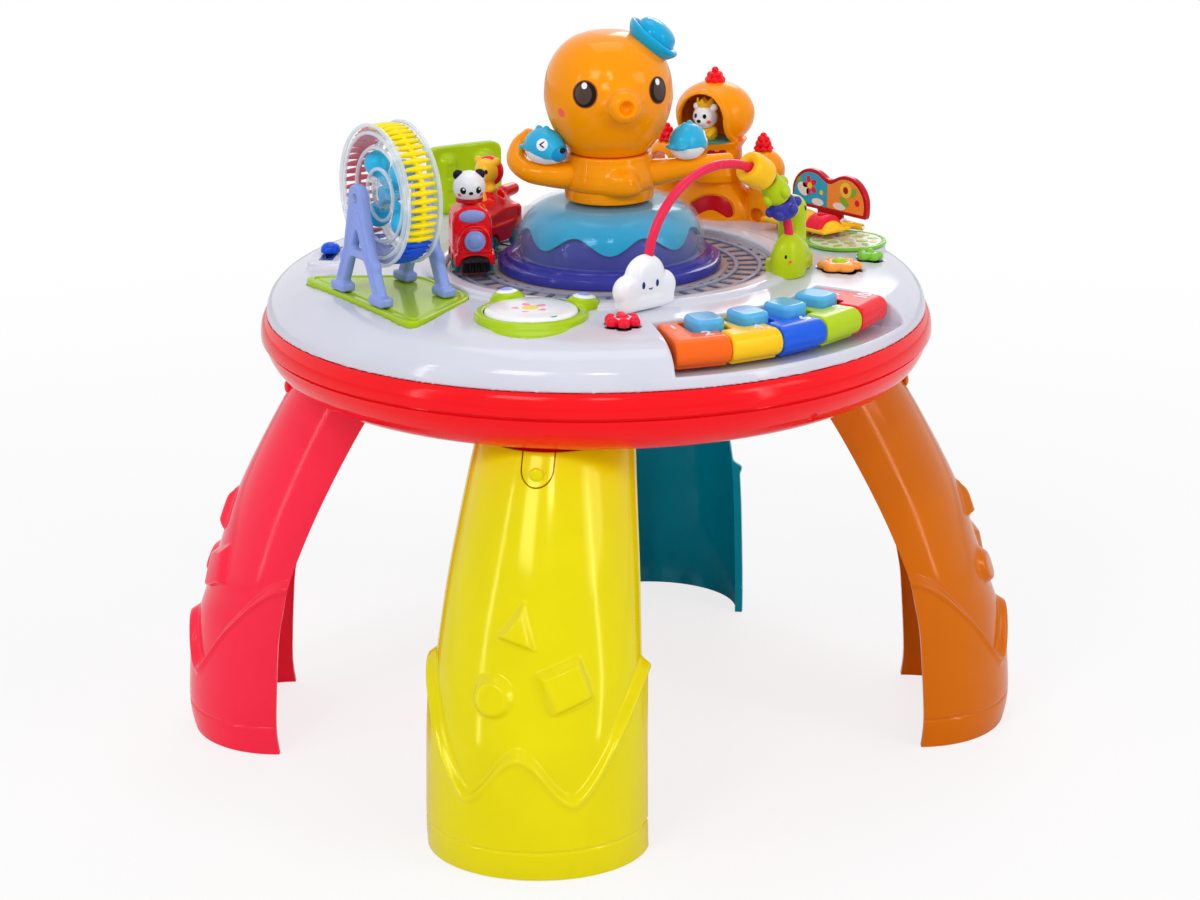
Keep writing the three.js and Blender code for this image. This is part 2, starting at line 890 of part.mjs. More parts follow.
function skirtTop(around) {
  const turn = Math.abs(around);
  const { valley_angle, tip_angle } = leg;
  if (turn < valley_angle) {
    const wave = (1 + Math.cos(Math.PI * turn / valley_angle)) / 2;
    return leg.skirt_valley + (leg.skirt_peak - leg.skirt_valley) * wave;
  }
  const climb = Math.sin((Math.PI / 2) * (turn - valley_angle) / (tip_angle - valley_angle));
  return leg.skirt_valley + (leg.skirt_side - leg.skirt_valley) * climb;
}

function legPoint(around, height, inset) {
  const share = height / leg.top_height;
  const skirt = leg.skirt_rise * THREE.MathUtils.smoothstep(skirtTop(around) - height, -leg.skirt_blend,
      leg.skirt_blend);
  const offset = skirt - inset;
  const tip = leg.tip_radius * along(leg.tip_shares, share);
  const reach = leg.outer_radius * along(leg.outer_shares, share) - tip + offset;
  const half = leg.half_width * along(leg.width_shares, share) + offset;
  return [tip + reach * Math.cos(rad(around)), half * Math.sin(rad(around)), height];
}

// The wall between two insets, over the leg's own grid of heights
function legWall(near, far, half_angle, shares, steps) {
  const box = new THREE.BoxGeometry(1, 1, 1, 1, steps, shares.length - 1);
  const position = box.attributes.position;
  for (let i = 0; i < position.count; i += 1) {
    const inset = position.getX(i) > 0 ? near : far;
    const around = 2 * position.getY(i) * half_angle;
    const row = Math.round((position.getZ(i) + 1 / 2) * (shares.length - 1));
    position.setXYZ(i, ...legPoint(around, shares[row] * leg.top_height, inset));
  }
  return solid(box);
}

function onLeg(around, height) {
  const [x, y, z] = legPoint(around, height, 0);
  const above = new THREE.Vector3(...legPoint(around, height + badge.rise, 0)).sub(new THREE.Vector3(x, y,
      z)).normalize();
  const side = new THREE.Vector3(...legPoint(around + badge.rise, height, 0)).sub(new THREE.Vector3(x, y,
      z)).normalize();
  const out = new THREE.Vector3().crossVectors(side, above).normalize();
  const across = new THREE.Vector3().crossVectors(above, out);
  return new THREE.Matrix4().makeBasis(across, above, out).setPosition(x, y, z);
}

function legBadges() {
  const corner = new THREE.Vector2();
  const points = triangle_badge.corners_shares.map(([x, y]) => [x * triangle_badge.size,
      y * triangle_badge.size]);
  const half = square_badge.half;
  const square = [[-half, -half], [half, -half], [half, half], [-half, half]]
    .map(([x, y]) => corner.set(x, y).rotateAround(new THREE.Vector2(), rad(square_badge.turn)).toArray());
  const bottom = -badge.sink;
  return [
    moved(slab(outline(points), bottom, badge.rise), onLeg(triangle_badge.around, triangle_badge.height)),
    moved(post(circle_badge.radius, bottom, badge.rise, 0, 0, 10), onLeg(circle_badge.around,
        circle_badge.height)),
    moved(slab(outline(square), bottom, badge.rise), onLeg(square_badge.around, square_badge.height)),
  ];
}

// The tongue's outline, seen from outside the leg, swept through the wall
function latchPrism(grow) {
  const half = latch.width / 2 + grow;
  const round = half;
  const foot = latch.height - grow;
  const shape = new THREE.Shape();
  shape.moveTo(-half, leg.top_height);
  shape.lineTo(-half, foot + round);
  shape.absarc(0, foot + round, round, Math.PI, 2 * Math.PI);
  shape.lineTo(half, leg.top_height);
  return alongX(shape, leg.tip_radius * latch.reach_share, leg.outer_radius);
}

function legShell() {
  return legWall(0, leg.wall, 90, leg.height_shares, leg.around_steps).subtract(bowlKeepOut);
}

function legBody() {
  return legShell().add(union(legBadges())).subtract(latchPrism(latch.slot));
}

function latchTongue() {
  const [x, , z] = legPoint(0, latch.button_height, latch.button_rise / 2);
  const button = pin(latch.button_radius, x - latch.button_rise, x + latch.button_rise, 10).translate([0,
      0, z]);
  return legShell().intersect(latchPrism(0)).add(button);
}

function legStub() {
  const shares = [stub.foot / leg.top_height, stub.top / leg.top_height];
  const near = leg.wall + stub.gap;
  const tube = legWall(near, near + stub.wall, stub.half_angle, shares, 6);
  return tube.subtract(latchPrism(stub.window_margin)).add(stubBridge(near));
}

// The web that closes the stub above the tongue's window
function stubBridge(near) {
  const [x] = legPoint(0, leg.top_height, near + stub.wall);
  const half = latch.width / 2 + stub.window_margin + stub.wall;
  return block(x - stub.wall, x, -half, half, bowl.base_height + bowl.wall / 2, stub.top);
}


// Deck

function pianoSector(inner, outer, bottom, top, grow) {
  const from = piano.first_angle - piano.side_margin - THREE.MathUtils.radToDeg(grow / piano.back_radius);
  const to = piano.first_angle + piano.key_angle * piano.key_count + piano.side_margin
    + THREE.MathUtils.radToDeg(grow / piano.back_radius);
  return slab(sector(inner - grow, outer, from, to), bottom - grow, top, 0, 6);
}

function pianoTrough(grow) {
  const top = deck.crown_height + overrun;
  return pianoSector(piano.trough_back, piano.trough_front + grow, piano.trough_floor, top, grow)
    .add(pianoSector(piano.trough_front - piano.front_round, bowl.radius + overrun, piano.lip_height, top,
        grow));
}

function plateShape(grow) {
  const { inner_distance, outer_distance, inner_angle, outer_angle, corner } = plate;
  const [ix, iy] = polar(inner_distance - grow, inner_angle);
  const [ox, oy] = polar(outer_distance + grow, outer_angle);
  const spread = iy + grow;
  const reach = oy + grow;
  const shape = new THREE.Shape();
  const points = [[ix, -spread], [ox, -reach], [ox, reach], [ix, spread]].map(([x,
      y]) => new THREE.Vector2(x, y));
  points.forEach((point, i) => {
    const before = points[(i + 3) % 4].clone().sub(point).setLength(corner).add(point);
    const after = points[(i + 1) % 4].clone().sub(point).setLength(corner).add(point);
    if (i === 0) shape.moveTo(before.x, before.y);
    else shape.lineTo(before.x, before.y);
    shape.quadraticCurveTo(point.x, point.y, after.x, after.y);
  });
  return shape;
}

function platePocket(grow) {
  const body = slab(plateShape(seat_gap + grow), plate.floor_height - seat_gap - grow,
      deck.crown_height + overrun);
  return moved(body, place(0, 0, 0, wheel.azimuth));
}

function trackWell(grow) {
  const floor = track.floor_height - track.thickness - seat_gap;
  return post(track.well_radius + grow, floor - grow, deck.crown_height + overrun, toys.x, toys.y,
      ring_segments);
}

function stemHoles() {
  const [bottom, top] = [bowl.rim_height, deck.crown_height + overrun];
  const holes = [flower.red, flower.orange, flower.green].map((one) => (
    post(flower.stem_radius + run_gap, bottom, top, ...polar(one.distance, one.azimuth), 8)));
  holes.push(post(disc.stem_radius + run_gap, bottom, top, disc.x, disc.y, 8));
  holes.push(post(drum.stem_radius + run_gap, bottom, top, drum.x, drum.y, 10));
  for (let i = 1; i < piano.key_count; i += 1) {
    holes.push(post(piano.stem_radius + run_gap, bottom - overrun, piano.key_bottom, ...smallKeyCentre(i),
        8));
  }
  const slot = roundedRectangle(slider.slot_width / 2, slider.slot_length / 2,
      slider.slot_width / 2 - seat_gap);
  const [x, y] = polar(slider.distance, slider.azimuth);
  holes.push(moved(slab(slot, bottom, top), place(x, y, 0, slider.azimuth)));
  return union(holes);
}

function deckShell() {
  const profile = deckProfile(deck.wall).filter((point, i) => i % 2 === 0);
  const inside = lathe([[0, bowl.rim_height - overrun], [profile[0][0], bowl.rim_height - overrun],
      ...profile], rim_segments);
  const pockets = union(trackWell(0), pianoTrough(0), platePocket(0));
  const pocketWalls = union(trackWell(deck.wall), pianoTrough(deck.wall), platePocket(deck.wall));
  return deckBody(0).subtract(pockets).subtract(inside.subtract(pocketWalls))
    .subtract(post(track.opening_radius, bowl.rim_height - overrun, deck.crown_height + overrun, toys.x,
        toys.y, 32))
    .subtract(stemHoles());
}

// Track and plinth, about the toy centre

function trackRing() {
  const { floor_height, thickness, inner_radius, well_radius, centre_radius, gauge, rail_width,
      rail_rise } = track;
  const base = floor_height - thickness;
  const outer = well_radius - seat_gap;
  const points = [[inner_radius, base], [outer, base], [outer, floor_height]];
  for (const side of [1, -1]) {
    const middle = centre_radius + side * gauge / 2;
    const [inside, outside] = [middle - rail_width / 2, middle + rail_width / 2];
    points.push([outside, floor_height], [outside, floor_height + rail_rise], [inside,
        floor_height + rail_rise],
      [inside, floor_height]);
  }
  return lathe([...points, [inner_radius, floor_height], points[0]], ring_segments);
}

// Half profile of a round-shouldered drum, with its wall set in by a distance
function shoulder(inset, bottom) {
  const corner = plinth.corner - inset;
  const points = [[plinth.shoulder_radius + corner, bottom]];
  for (let i = 0; i <= plinth.corner_steps; i += 1) {
    const turn = (Math.PI / 2) * (i / plinth.corner_steps);
    points.push([plinth.shoulder_radius + corner * Math.cos(turn),
        plinth.shoulder_height + corner * Math.sin(turn)]);
  }
  return points;
}

function shoulderShell(inset, wall, bottom, hole) {
  const outside = shoulder(inset, bottom);
  const inside = shoulder(inset + wall, bottom).reverse();
  const [top, under] = [outside.at(-1)[1], inside[0][1]];
  return lathe([...outside, [hole, top], [hole, under], ...inside, outside[0]], 20);
}

const plinthSeat = track.floor_height + seat_gap;

function plinthRing() {
  const { flange_radius, flange_edge, flange_height, drum_wall, socket_depth, socket_wall } = plinth;
  const inset = plinth.cover_wall + plinth.cap_wall + 2 * plinth.gap;
  const outer = plinth.shoulder_radius + plinth.corner - inset;
  const inner = outer - drum_wall;
  const top = plinthSeat + flange_height;
  const flange = lathe([[inner, plinthSeat], [flange_radius, plinthSeat], [flange_radius,
      plinthSeat + flange_edge],
    [flange_radius - drum_wall, plinthSeat + flange_edge + drum_wall / 2],
    [plinth.shoulder_radius + plinth.corner + drum_wall, top], [inner, top], [inner, plinthSeat]], 20);
  const roof = shoulder(inset + drum_wall, plinthSeat).at(-1)[1];
  const socket_hole = octopus.stem_radius + run_gap;
  const socket = lathe([[socket_hole, roof - socket_depth], [socket_hole + socket_wall,
      roof - socket_depth],
    [socket_hole + socket_wall, roof + drum_wall / 2], [socket_hole, roof + drum_wall / 2],
    [socket_hole, roof - socket_depth]], 12);
  return union(flange, shoulderShell(inset, drum_wall, plinthSeat + drum_wall, socket_hole), socket);
}

function waveInsert() {
  const cap = shoulderShell(plinth.cover_wall + plinth.gap, plinth.cap_wall, plinth.wave_low,
      plinth.hole_radius);
  const crests = [];
  for (let i = 0; i < plinth.wave_count; i += 1) {
    const crest = new THREE.CylinderGeometry(1, 1, plinth.flange_radius, 8).rotateZ(Math.PI / 2)
      .scale(1, plinth.wave_width / 2, plinth.wave_rise)
      .translate(plinth.flange_radius, 0, plinth.wave_low);
    crests.push(moved(solid(crest), place(0, 0, 0,
        octopus.facing + (360 / plinth.wave_count) * (i + 1 / 2))));
  }
  return cap.subtract(union(crests));
}

function domeCover() {
  return shoulderShell(0, plinth.cover_wall, plinthSeat + plinth.flange_height + seat_gap,
      plinth.hole_radius);
}

// Octopus: local x faces the viewer's side, y runs to its left hand

const coverTop = plinth.shoulder_height + plinth.corner;

function armLimb(route_shares, radius_shares) {
  const reach = octopus.belly_radius;
  const points = route_shares.map(([x, y, z]) => [reach * x, reach * y, arm.height + arm.rise * z]);
  return limb(points, radius_shares.map((share) => arm.root_radius * share));
}

function octopusBody() {
  const { base_radius, belly_radius, neck_radius, neck_height, stem_radius, stem_length } = octopus;
  const foot = coverTop + run_gap;
  const rise = neck_height - foot;
  const trunk = lathe([[0, foot - stem_length], [stem_radius, foot - stem_length], [stem_radius, foot],
    [base_radius, foot],
    [base_radius, foot + rise * octopus.trunk_foot_share],
    [belly_radius, foot + rise * octopus.belly_low_share],
    [belly_radius, foot + rise * octopus.belly_high_share],
    [base_radius, foot + rise * octopus.trunk_top_share],
    [neck_radius, neck_height], [0, neck_height]], 20);
  const bump = ball(octopus.bump_radius, octopus.bump_radius, octopus.bump_radius,
    belly_radius * octopus.bump_out_share, belly_radius * octopus.bump_side_share,
    octopus.bump_height, 10, 6);
  const left = armLimb(arm.left_route_shares, arm.left_radius_shares);
  const right = armLimb(arm.right_route_shares, arm.right_radius_shares);
  return union(trunk, bump, left, right).subtract(fishSocket(fish.left)).subtract(fishSocket(fish.right))
    .subtract(block(-overrun, overrun, -overrun, overrun, neck_height, neck_height + overrun));
}

function octopusHead() {
  const { neck_radius, neck_height, head_radius, head_height, crown_height } = octopus;
  const low = neck_height + seat_gap;
  const points = [[0, low], [neck_radius, low]];
  for (const [r, z] of octopus.jaw_shares) {
    points.push([head_radius * r, low + (head_height - low) * z]);
  }
  for (const [r, z] of octopus.crown_shares) {
    points.push([head_radius * r, head_height + (crown_height - head_height) * z]);
  }
  const r = octopus.snout_radius;
  const reach = octopus.snout_reach;
  const tip = octopus.snout_tip_radius;
  const snout = union(ball(r, r, r, reach, 0, head_height, 10, 6),
    ball(tip, tip, tip, reach + octopus.snout_tip_length, 0, head_height, 8, 5))
    .subtract(ball(octopus.dimple_radius, octopus.dimple_radius, octopus.dimple_radius,
      reach + octopus.snout_tip_length + tip, 0, head_height, 5, 3));
  const eyes = [-1, 1].map((side) => {
    const [x, y] = polar(head_radius - octopus.eye_radius / 3 + octopus.eye_rise,
        side * octopus.eye_spread);
    return ball(octopus.eye_radius / 2, octopus.eye_radius, octopus.eye_radius, 0, 0, 0, 8, 4)
      .rotate([0, 0, side * octopus.eye_spread]).translate([x, y, octopus.eye_height]);
  });
  const head = union(lathe(points, 18), snout, eyes);
  return moved(head, place(0, 0, 0, octopus.face_turn)).subtract(hatKeepOut());
}

function hatMatrix() {
  const tilt = new THREE.Matrix4().makeRotationX(-rad(hat.lean));
  const centre = new THREE.Vector3(0, Math.sin(rad(hat.lean)),
      Math.cos(rad(hat.lean))).multiplyScalar(hat.reach);
  return tilt.setPosition(centre.x, centre.y, centre.z + octopus.head_height);
}

function hatProfile(grow) {
  const { brim_radius, brim_height, crown_radius, crown_height } = hat;
  return [[0, -grow], [crown_radius + grow, -grow], [brim_radius + grow, brim_height / 2],
    [brim_radius + grow, brim_height], [crown_radius, brim_height + grow],
    [crown_radius, brim_height + crown_height / 2],
    [crown_radius * hat.shoulder_radius_share, brim_height + crown_height * hat.shoulder_height_share],
    [0, brim_height + crown_height]];
}

function hatKeepOut() {
  return moved(lathe(hatProfile(seat_gap), 16), hatMatrix());
}

function octopusHat() {
  return moved(lathe(hatProfile(0), 16), hatMatrix());
}

const fishFloor = arm.height + arm.root_radius;

function fishSocket(one) {
  return post(fish.fin_radius + seat_gap, arm.height, arm.height + overrun, one.x, one.y, 8)
    .add(post(fish.length / 2, fishFloor + fish.lift, fishFloor + overrun, one.x, one.y, 12));
}

function fishBody() {
  const floor = fishFloor + fish.lift + seat_gap;
  const middle = floor + fish.height / 2 - fish.lift;
  const body = ball(fish.length / 2, fish.width / 2, fish.height / 2, 0, 0, middle, 10, 6);
  const tail = ball(fish.tail_length / 2, fish.tail_width / 2, fish.fin_radius,
      -fish.length / 2 - fish.fin_radius / 2, 0,
    middle, 6, 4);
  const fins = [-1, 0, 1].map((step) => ball(fish.fin_radius, fish.fin_radius, fish.fin_radius,
    step * fish.fin_radius * 2, 0, middle + fish.height / 2 - fish.fin_radius / 2, 5, 3));
  const peg = post(fish.fin_radius, arm.height + seat_gap, middle, 0, 0, 8);
  const cut = block(-fish.length, fish.length, -fish.length, fish.length, floor - overrun, floor);
  return union(body, tail, fins).subtract(cut).add(peg);
}

// Wheel and its stand: local x is the axle, z is up from it

function aboutX(points, segments) {
  return lathe(points, segments).rotate([0, 90, 0]);
}

function wheelDrum() {
  const { radius, half_width, wall, channel_depth } = wheel;
  const floor = radius - channel_depth;
  return aboutX([[floor, -half_width], [radius, -half_width], [radius, wall - half_width],
    [floor + wall, wall - half_width], [floor + wall, half_width - wall], [radius, half_width - wall],
    [radius, half_width], [floor, half_width], [floor, -half_width]], wheel.segments);
}

function ribBand() {
  const low = wheel.radius - wheel.channel_depth + wheel.wall + seat_gap;
  const high = low + wheel.band_thickness;
  const half = wheel.half_width - wheel.wall - seat_gap;
  const band = aboutX([[low, -half], [high, -half], [high, half], [low, half], [low, -half]],
      wheel.segments);
  const ribs = [];
  for (let i = 0; i < wheel.rib_count; i += 1) {
    const rib = block(-half, half, -wheel.rib_width / 2, wheel.rib_width / 2, (low + high) / 2,
        high + wheel.rib_rise);
    ribs.push(rib.rotate([(360 / wheel.rib_count) * i, 0, 0]));
  }
  return union(band, ribs);
}

function wheelSpinner() {
  const end = wheel.radius - wheel.channel_depth - seat_gap;
  const half = stand.offset + stand.thickness / 2;
  const arms = [];
  for (let i = 0; i < wheel.arm_count; i += 1) {
    const turn = (360 / wheel.arm_count) * (i + 1 / 2);
    const bulb = ball(wheel.bulb_radius, wheel.bulb_radius, wheel.bulb_radius, 0, 0, wheel.bulb_distance,
        8, 4);
    arms.push(post(wheel.arm_radius, 0, end, 0, 0, 5).add(bulb).rotate([turn, 0, 0]));
  }
  return union(pin(wheel.axle_radius, -half, half), pin(wheel.hub_radius, -wheel.hub_half,
      wheel.hub_half), arms);
}

function wheelStand(side) {
  const { offset, thickness, foot_spread, foot_length, foot_width, foot_height, bar_rise,
      bar_height } = stand;
  const [near, far] = [side * offset - thickness / 2, side * offset + thickness / 2];
  const ground = plate.top_height + seat_gap - wheel.axle_height;
  const lean = THREE.MathUtils.radToDeg(Math.atan2(foot_spread, -ground));
  const parts = [pin(stand.apex_radius, near, far, 14),
    block(near, far, -foot_spread, foot_spread, ground + bar_rise, ground + bar_rise + bar_height)];
  for (const way of [-1, 1]) {
    parts.push(block(near, far, -stand.limb / 2, stand.limb / 2, ground - foot_height,
        0).rotate([way * lean, 0, 0]));
    parts.push(block(side * offset - foot_width / 2, side * offset + foot_width / 2,
        way * foot_spread - foot_length / 2,
      way * foot_spread + foot_length / 2, ground, ground + foot_height));
  }
  return union(parts).subtract(pin(wheel.axle_radius + run_gap, near - overrun, far + overrun))
    .subtract(block(near - overrun, far + overrun, -foot_spread - overrun, foot_spread + overrun,
        ground - overrun, ground));
}

function wheelPlate() {
  return slab(plateShape(0), plate.floor_height, plate.top_height, plate.round);
}

// Train: local x points outwards along the track's radius, y forwards

function chassis(length) {
  const { height, width, wheel_radius, wheel_width, chassis_height, chassis_rise, axle_spread } = train;
  const middle = track.centre_radius;
  const half = width / 2 - wheel_width;
  const floor = height + chassis_rise;
  const parts = [slab(roundedRectangle(half, length / 2, train.body_round, middle), floor,
      floor + 2 * chassis_height)];
  for (const end of [-1, 1]) {
    for (const side of [-1, 1]) {
      const outside = middle + side * (width / 2);
      const ends = [outside - side * wheel_width, outside].sort((a, b) => a - b);
      parts.push(pin(wheel_radius, ends[0] - seat_gap, ends[1], 8)
        .translate([0, end * (length / 2 - axle_spread), height + wheel_radius]));
    }
  }
  return union(parts);
}

function locoBody() {
  const { height, width, loco_length, hood_length, hood_height, cab_height, wheel_radius } = train;
  const middle = track.centre_radius;
  const floor = height + 2 * wheel_radius + run_gap;
  const front = loco_length / 2;
  const cab_half = (loco_length - hood_length) / 2;
  const round = train.body_round / 2;
  const cab = slab(roundedRectangle(width / 2, cab_half, train.body_round, middle, cab_half - front), floor,
    height + cab_height, round);
  const hood = slab(roundedRectangle(width / 2, hood_length, train.body_round, middle,
      front - hood_length), floor,
    height + hood_height, round);
  const lamp = new THREE.CylinderGeometry(train.lamp_radius, train.lamp_radius, 2 * train.lamp_rise, 10)
    .translate(middle, front, height + train.lamp_height);
  const shield = ball(train.window_width, train.window_rise, train.window_height, middle,
      front - hood_length,
    height + train.window_lift, 8, 4);
  const guard = block(middle - train.guard_half, middle + train.guard_half, front - train.guard_length,
    front + train.guard_length, height + train.guard_foot, height + train.guard_top);
  return union(chassis(loco_length), cab, hood, solid(lamp), shield, guard);
}

function wagonBody() {
  const { height, width, wagon_length, wagon_height, wagon_well, wheel_radius, tail_length,
      tail_radius } = train;
  const middle = track.centre_radius;
  const floor = height + 2 * wheel_radius + run_gap;
  const back = -wagon_length / 2;
  const tub = slab(roundedRectangle(width / 2, wagon_length / 2, train.body_round, middle), floor,
    height + wagon_height, train.body_round / 2);
  const well = post(lion.body_radius + run_gap, height + wagon_height - wagon_well,
      height + wagon_height + overrun,
    middle, 0, 14);
  const tail = limb([[middle, back + tail_radius, height + train.tail_height],
    [middle, back - tail_length, height + train.tail_height]], [tail_radius, tail_radius, tail_radius / 2]);
  const link_foot = height + train.chassis_rise;
  const gap = train.loco_angle - train.wagon_angle;
  const reach = track.centre_radius * rad(gap) - train.loco_length / 2 - seat_gap;
  const link = block(middle - train.link_half, middle + train.link_half, 0, reach, link_foot,
    link_foot + train.link_height);
  return union(chassis(wagon_length), tub, tail, link).subtract(well);
}

function pandaFigure() {
  const { head_radius, head_height, ear_radius, neck_radius, squash } = panda;
  const middle = track.centre_radius;
  const y = train.loco_length / 2 - train.hood_length - (train.loco_length - train.hood_length) / 2;
  const foot = train.height + train.cab_height + seat_gap;
  const ears = [-1, 1].map((side) => ball(ear_radius, ear_radius, ear_radius,
      middle + side * head_radius * squash * squash,
    y, head_height + head_radius * squash * squash * squash, 6, 4));
  const muzzle = ball(ear_radius, ear_radius, ear_radius, middle, y + head_radius - ear_radius / 2,
    head_height - ear_radius, 6, 4);
  return union(post(neck_radius, foot, head_height, middle, y, 10),
    ball(head_radius, head_radius, head_radius * squash, middle, y, head_height, 10, 6), ears, muzzle);
}

function lionFigure() {
  const { head_radius, head_height, hood_radius, hood_depth, body_radius } = lion;
  const middle = track.centre_radius;
  const foot = train.height + train.wagon_height - train.wagon_well + seat_gap;
  return union(post(body_radius, foot, head_height, middle, 0, 12),
    ball(head_radius, head_radius, head_radius, middle, 0, head_height, 10, 6),
    ball(hood_radius, hood_depth, hood_radius, middle, -hood_depth / 2, head_height, 10, 6));
}

// Castle: local x points away from the middle of the table

function finial(x, y, foot, radius, height) {
  const profile = castle.finial_shares.map(([r, z]) => [radius * r, height * z]);
  return lathe(profile, 8).translate([x, y, foot]);
}

function castleDoor() {
  const half = castle.door_width / 2;
  const shape = new THREE.Shape();
  shape.moveTo(-half, castle.door_foot);
  shape.lineTo(half, castle.door_foot);
  shape.absarc(0, castle.door_top - half, half, 0, Math.PI);
  return alongX(shape, -castle.dome_depth - overrun, 0);
}

function castleTurret(side) {
  const { turret_spread, turret_radius, turret_height, turret_foot, turret_window } = castle;
  const y = side * turret_spread;
  const window = pin(turret_window, -turret_radius - overrun, turret_radius + overrun, 8)
    .translate([0, y, (turret_foot + turret_height) / 2]);
  return union(post(castle.column_radius, castle.base_foot, turret_foot + overrun / 10, 0, y, 10),
    post(turret_radius, turret_foot, turret_height, 0, y, 12)).subtract(window)
    .add(finial(0, y, turret_height, castle.berry_radius, castle.small_berry_height));
}

function castleBody(group) {
  const { dome_depth, dome_width, dome_half_height, dome_height, dome_wall, door_foot, neck_depth,
      neck_width } = castle;
  const room = ball(dome_depth - dome_wall, dome_width - dome_wall, dome_half_height - dome_wall, 0, 0,
      dome_height, 12, 8)
    .subtract(block(-dome_depth, dome_depth, -dome_width, dome_width, door_foot - overrun, door_foot));
  const dome = ball(dome_depth, dome_width, dome_half_height, 0, 0, dome_height, 16, 10)
    .subtract(room).subtract(castleDoor());
  const base = roundedRectangle(castle.base_depth, castle.base_width, castle.base_corner);
  const gate = pin(castle.gate_radius, -castle.turret_radius - overrun, castle.turret_radius + overrun, 8)
    .translate([0, -castle.turret_spread, castle.gate_height]);
  const whole = union(dome, oval(neck_depth, neck_width, castle.base_height - dome_wall,
      door_foot - dome_wall / 2),
    slab(base, castle.base_foot, castle.base_height),
    finial(0, 0, dome_height + dome_half_height - dome_wall / 2, castle.berry_radius, castle.berry_height),
    castleTurret(-1), castleTurret(1));
  return seated(whole.subtract(gate), group);
}

function bearFigure() {
  const { reach, body_width, body_depth, body_half, body_middle, head_radius, head_height,
      ear_radius } = bear;
  const floor = castle.door_foot + seat_gap;
  const body = ball(body_depth, body_width, body_half, -reach, 0, body_middle, 10, 5);
  const head = ball(head_radius, head_radius, head_radius, -reach, 0, head_height, 10, 6);
  const ears = [-1, 1].map((side) => ball(ear_radius, ear_radius, ear_radius, -reach,
    side * head_radius * bear.ear_share, head_height + head_radius * bear.ear_share, 5, 3));
  const crown = post(bear.crown_radius, head_height, bear.crown_top, -reach, 0, 6);
  return union(body, head, ears, crown)
    .subtract(block(-overrun - reach, overrun - reach, -overrun, overrun, floor - overrun, floor));
}

// Arch: a round rod in an upright plane, with three beads on it

function archTube(radius, from, to, left_foot = 0, right_foot = 0) {
  const count = Math.max(3, Math.round((to - from) / arch.step_angle));
  const points = [];
  for (let i = 0; i <= count; i += 1) {
    const [x, z] = polar(arch.radius, from + ((to - from) * i) / count);
    points.push(new THREE.Vector3(toys.x + x, arch.y, arch.centre_height + z));
  }
  if (right_foot > 0) points.unshift(new THREE.Vector3(toys.x + arch.radius, arch.y, right_foot));
  if (left_foot > 0) points.push(new THREE.Vector3(toys.x - arch.radius, arch.y, left_foot));
  const circle = new THREE.Shape();
  circle.absarc(0, 0, radius, 0, 2 * Math.PI);
  return solid(new THREE.ExtrudeGeometry(circle, {
    steps: points.length, curveSegments: arch.circle_steps, extrudePath: new THREE.CatmullRomCurve3(points),
  }));
}

function archRod() {
  return archTube(arch.rod_radius, 0, 180, arch.left_foot, arch.right_foot);
}

function rodKeepOut() {
  return archTube(arch.rod_radius + seat_gap, 0, 180, arch.left_foot - seat_gap,
      arch.right_foot - seat_gap);
}

function onArch(body, at) {
  const [x, z] = polar(arch.radius, at);
  return moved(body, new THREE.Matrix4().makeRotationY(-rad(at)).setPosition(toys.x + x, arch.y,
      arch.centre_height + z))
    .subtract(archTube(arch.rod_radius + arch.hole_gap, at - arch.bead_cut_angle,
      at + arch.bead_cut_angle));
}

function barrel(bead) {
  const { half_length, radius, end } = bead;
  const shoulder = half_length * bead_shoulder_share;
  const belly = half_length * bead_belly_share;
  return lathe([[0, -half_length], [end, -half_length], [(end + radius) / 2, -shoulder],
    [radius, -belly], [radius, belly], [(end + radius) / 2, shoulder], [end, half_length],
    [0, half_length]], 10);
}

function greenBead() {
  const { ear, ear_reach } = beads.green;
  const ears = [-1, 1].map((side) => ball(ear, ear, ear, 0, side * ear_reach, 0, 6, 4));
  return union(barrel(beads.green), ears);
}

function purpleBead() {
  const { half_length, radius, lobe, lobe_count, lobe_round } = beads.purple;
  const points = [];
  for (let i = 0; i < lobe_count; i += 1) {
    const turn = (360 / lobe_count) * i;
    points.push(polar(lobe, turn - lobe_round), polar(lobe, turn + lobe_round), polar(radius,
        turn + 180 / lobe_count));
  }
  return slab(outline(points), -half_length, half_length, half_length / 3);
}

function archCloud() {
  const { thickness, top, lobe, side_lobe, side_height, spread, middle } = cloud;
  const lobes = [[0, top - lobe, lobe], [-spread, side_height, side_lobe], [spread, side_height,
      side_lobe]];
  const parts = lobes.map(([x, z, r]) => (
    solid(new THREE.CylinderGeometry(r, r, thickness, 18).translate(middle + x, arch.y, z))));
  const base = spread + side_lobe * cloud.base_share;
  parts.push(block(middle - base, middle + base, arch.y - thickness / 2, arch.y + thickness / 2,
    bowl.rim_height + overrun / 2, side_height));
  return seated(union(parts), table).subtract(rodKeepOut());
}

function archWorm() {
  const { hump_radius, hump_depth, hump_top, middle_top, tall_top, tall_width, tall_depth, tall_x,
      tall_y } = worm;
  const x = toys.x + arch.radius;
  const low = deck.crown_height - 2 * deck.wall;
  const floor = block(x - overrun, x + overrun * 2, arch.y - overrun, arch.y + overrun * 2,
      bowl.base_height, low);
  const hump = ball(hump_radius, hump_depth, hump_top - low, x, arch.y, low, 12, 10);
  const middle = ball(tall_width, hump_depth, middle_top - low, x + tall_x / 2, arch.y + tall_y / 2, low,
      10, 8);
  const tall = ball(tall_width, tall_depth, tall_top - low, x + tall_x, arch.y + tall_y, low, 10, 10);
  return seated(union(hump, middle, tall).subtract(floor), table).subtract(rodKeepOut());
}

// Drum: local x points away from the middle of the table

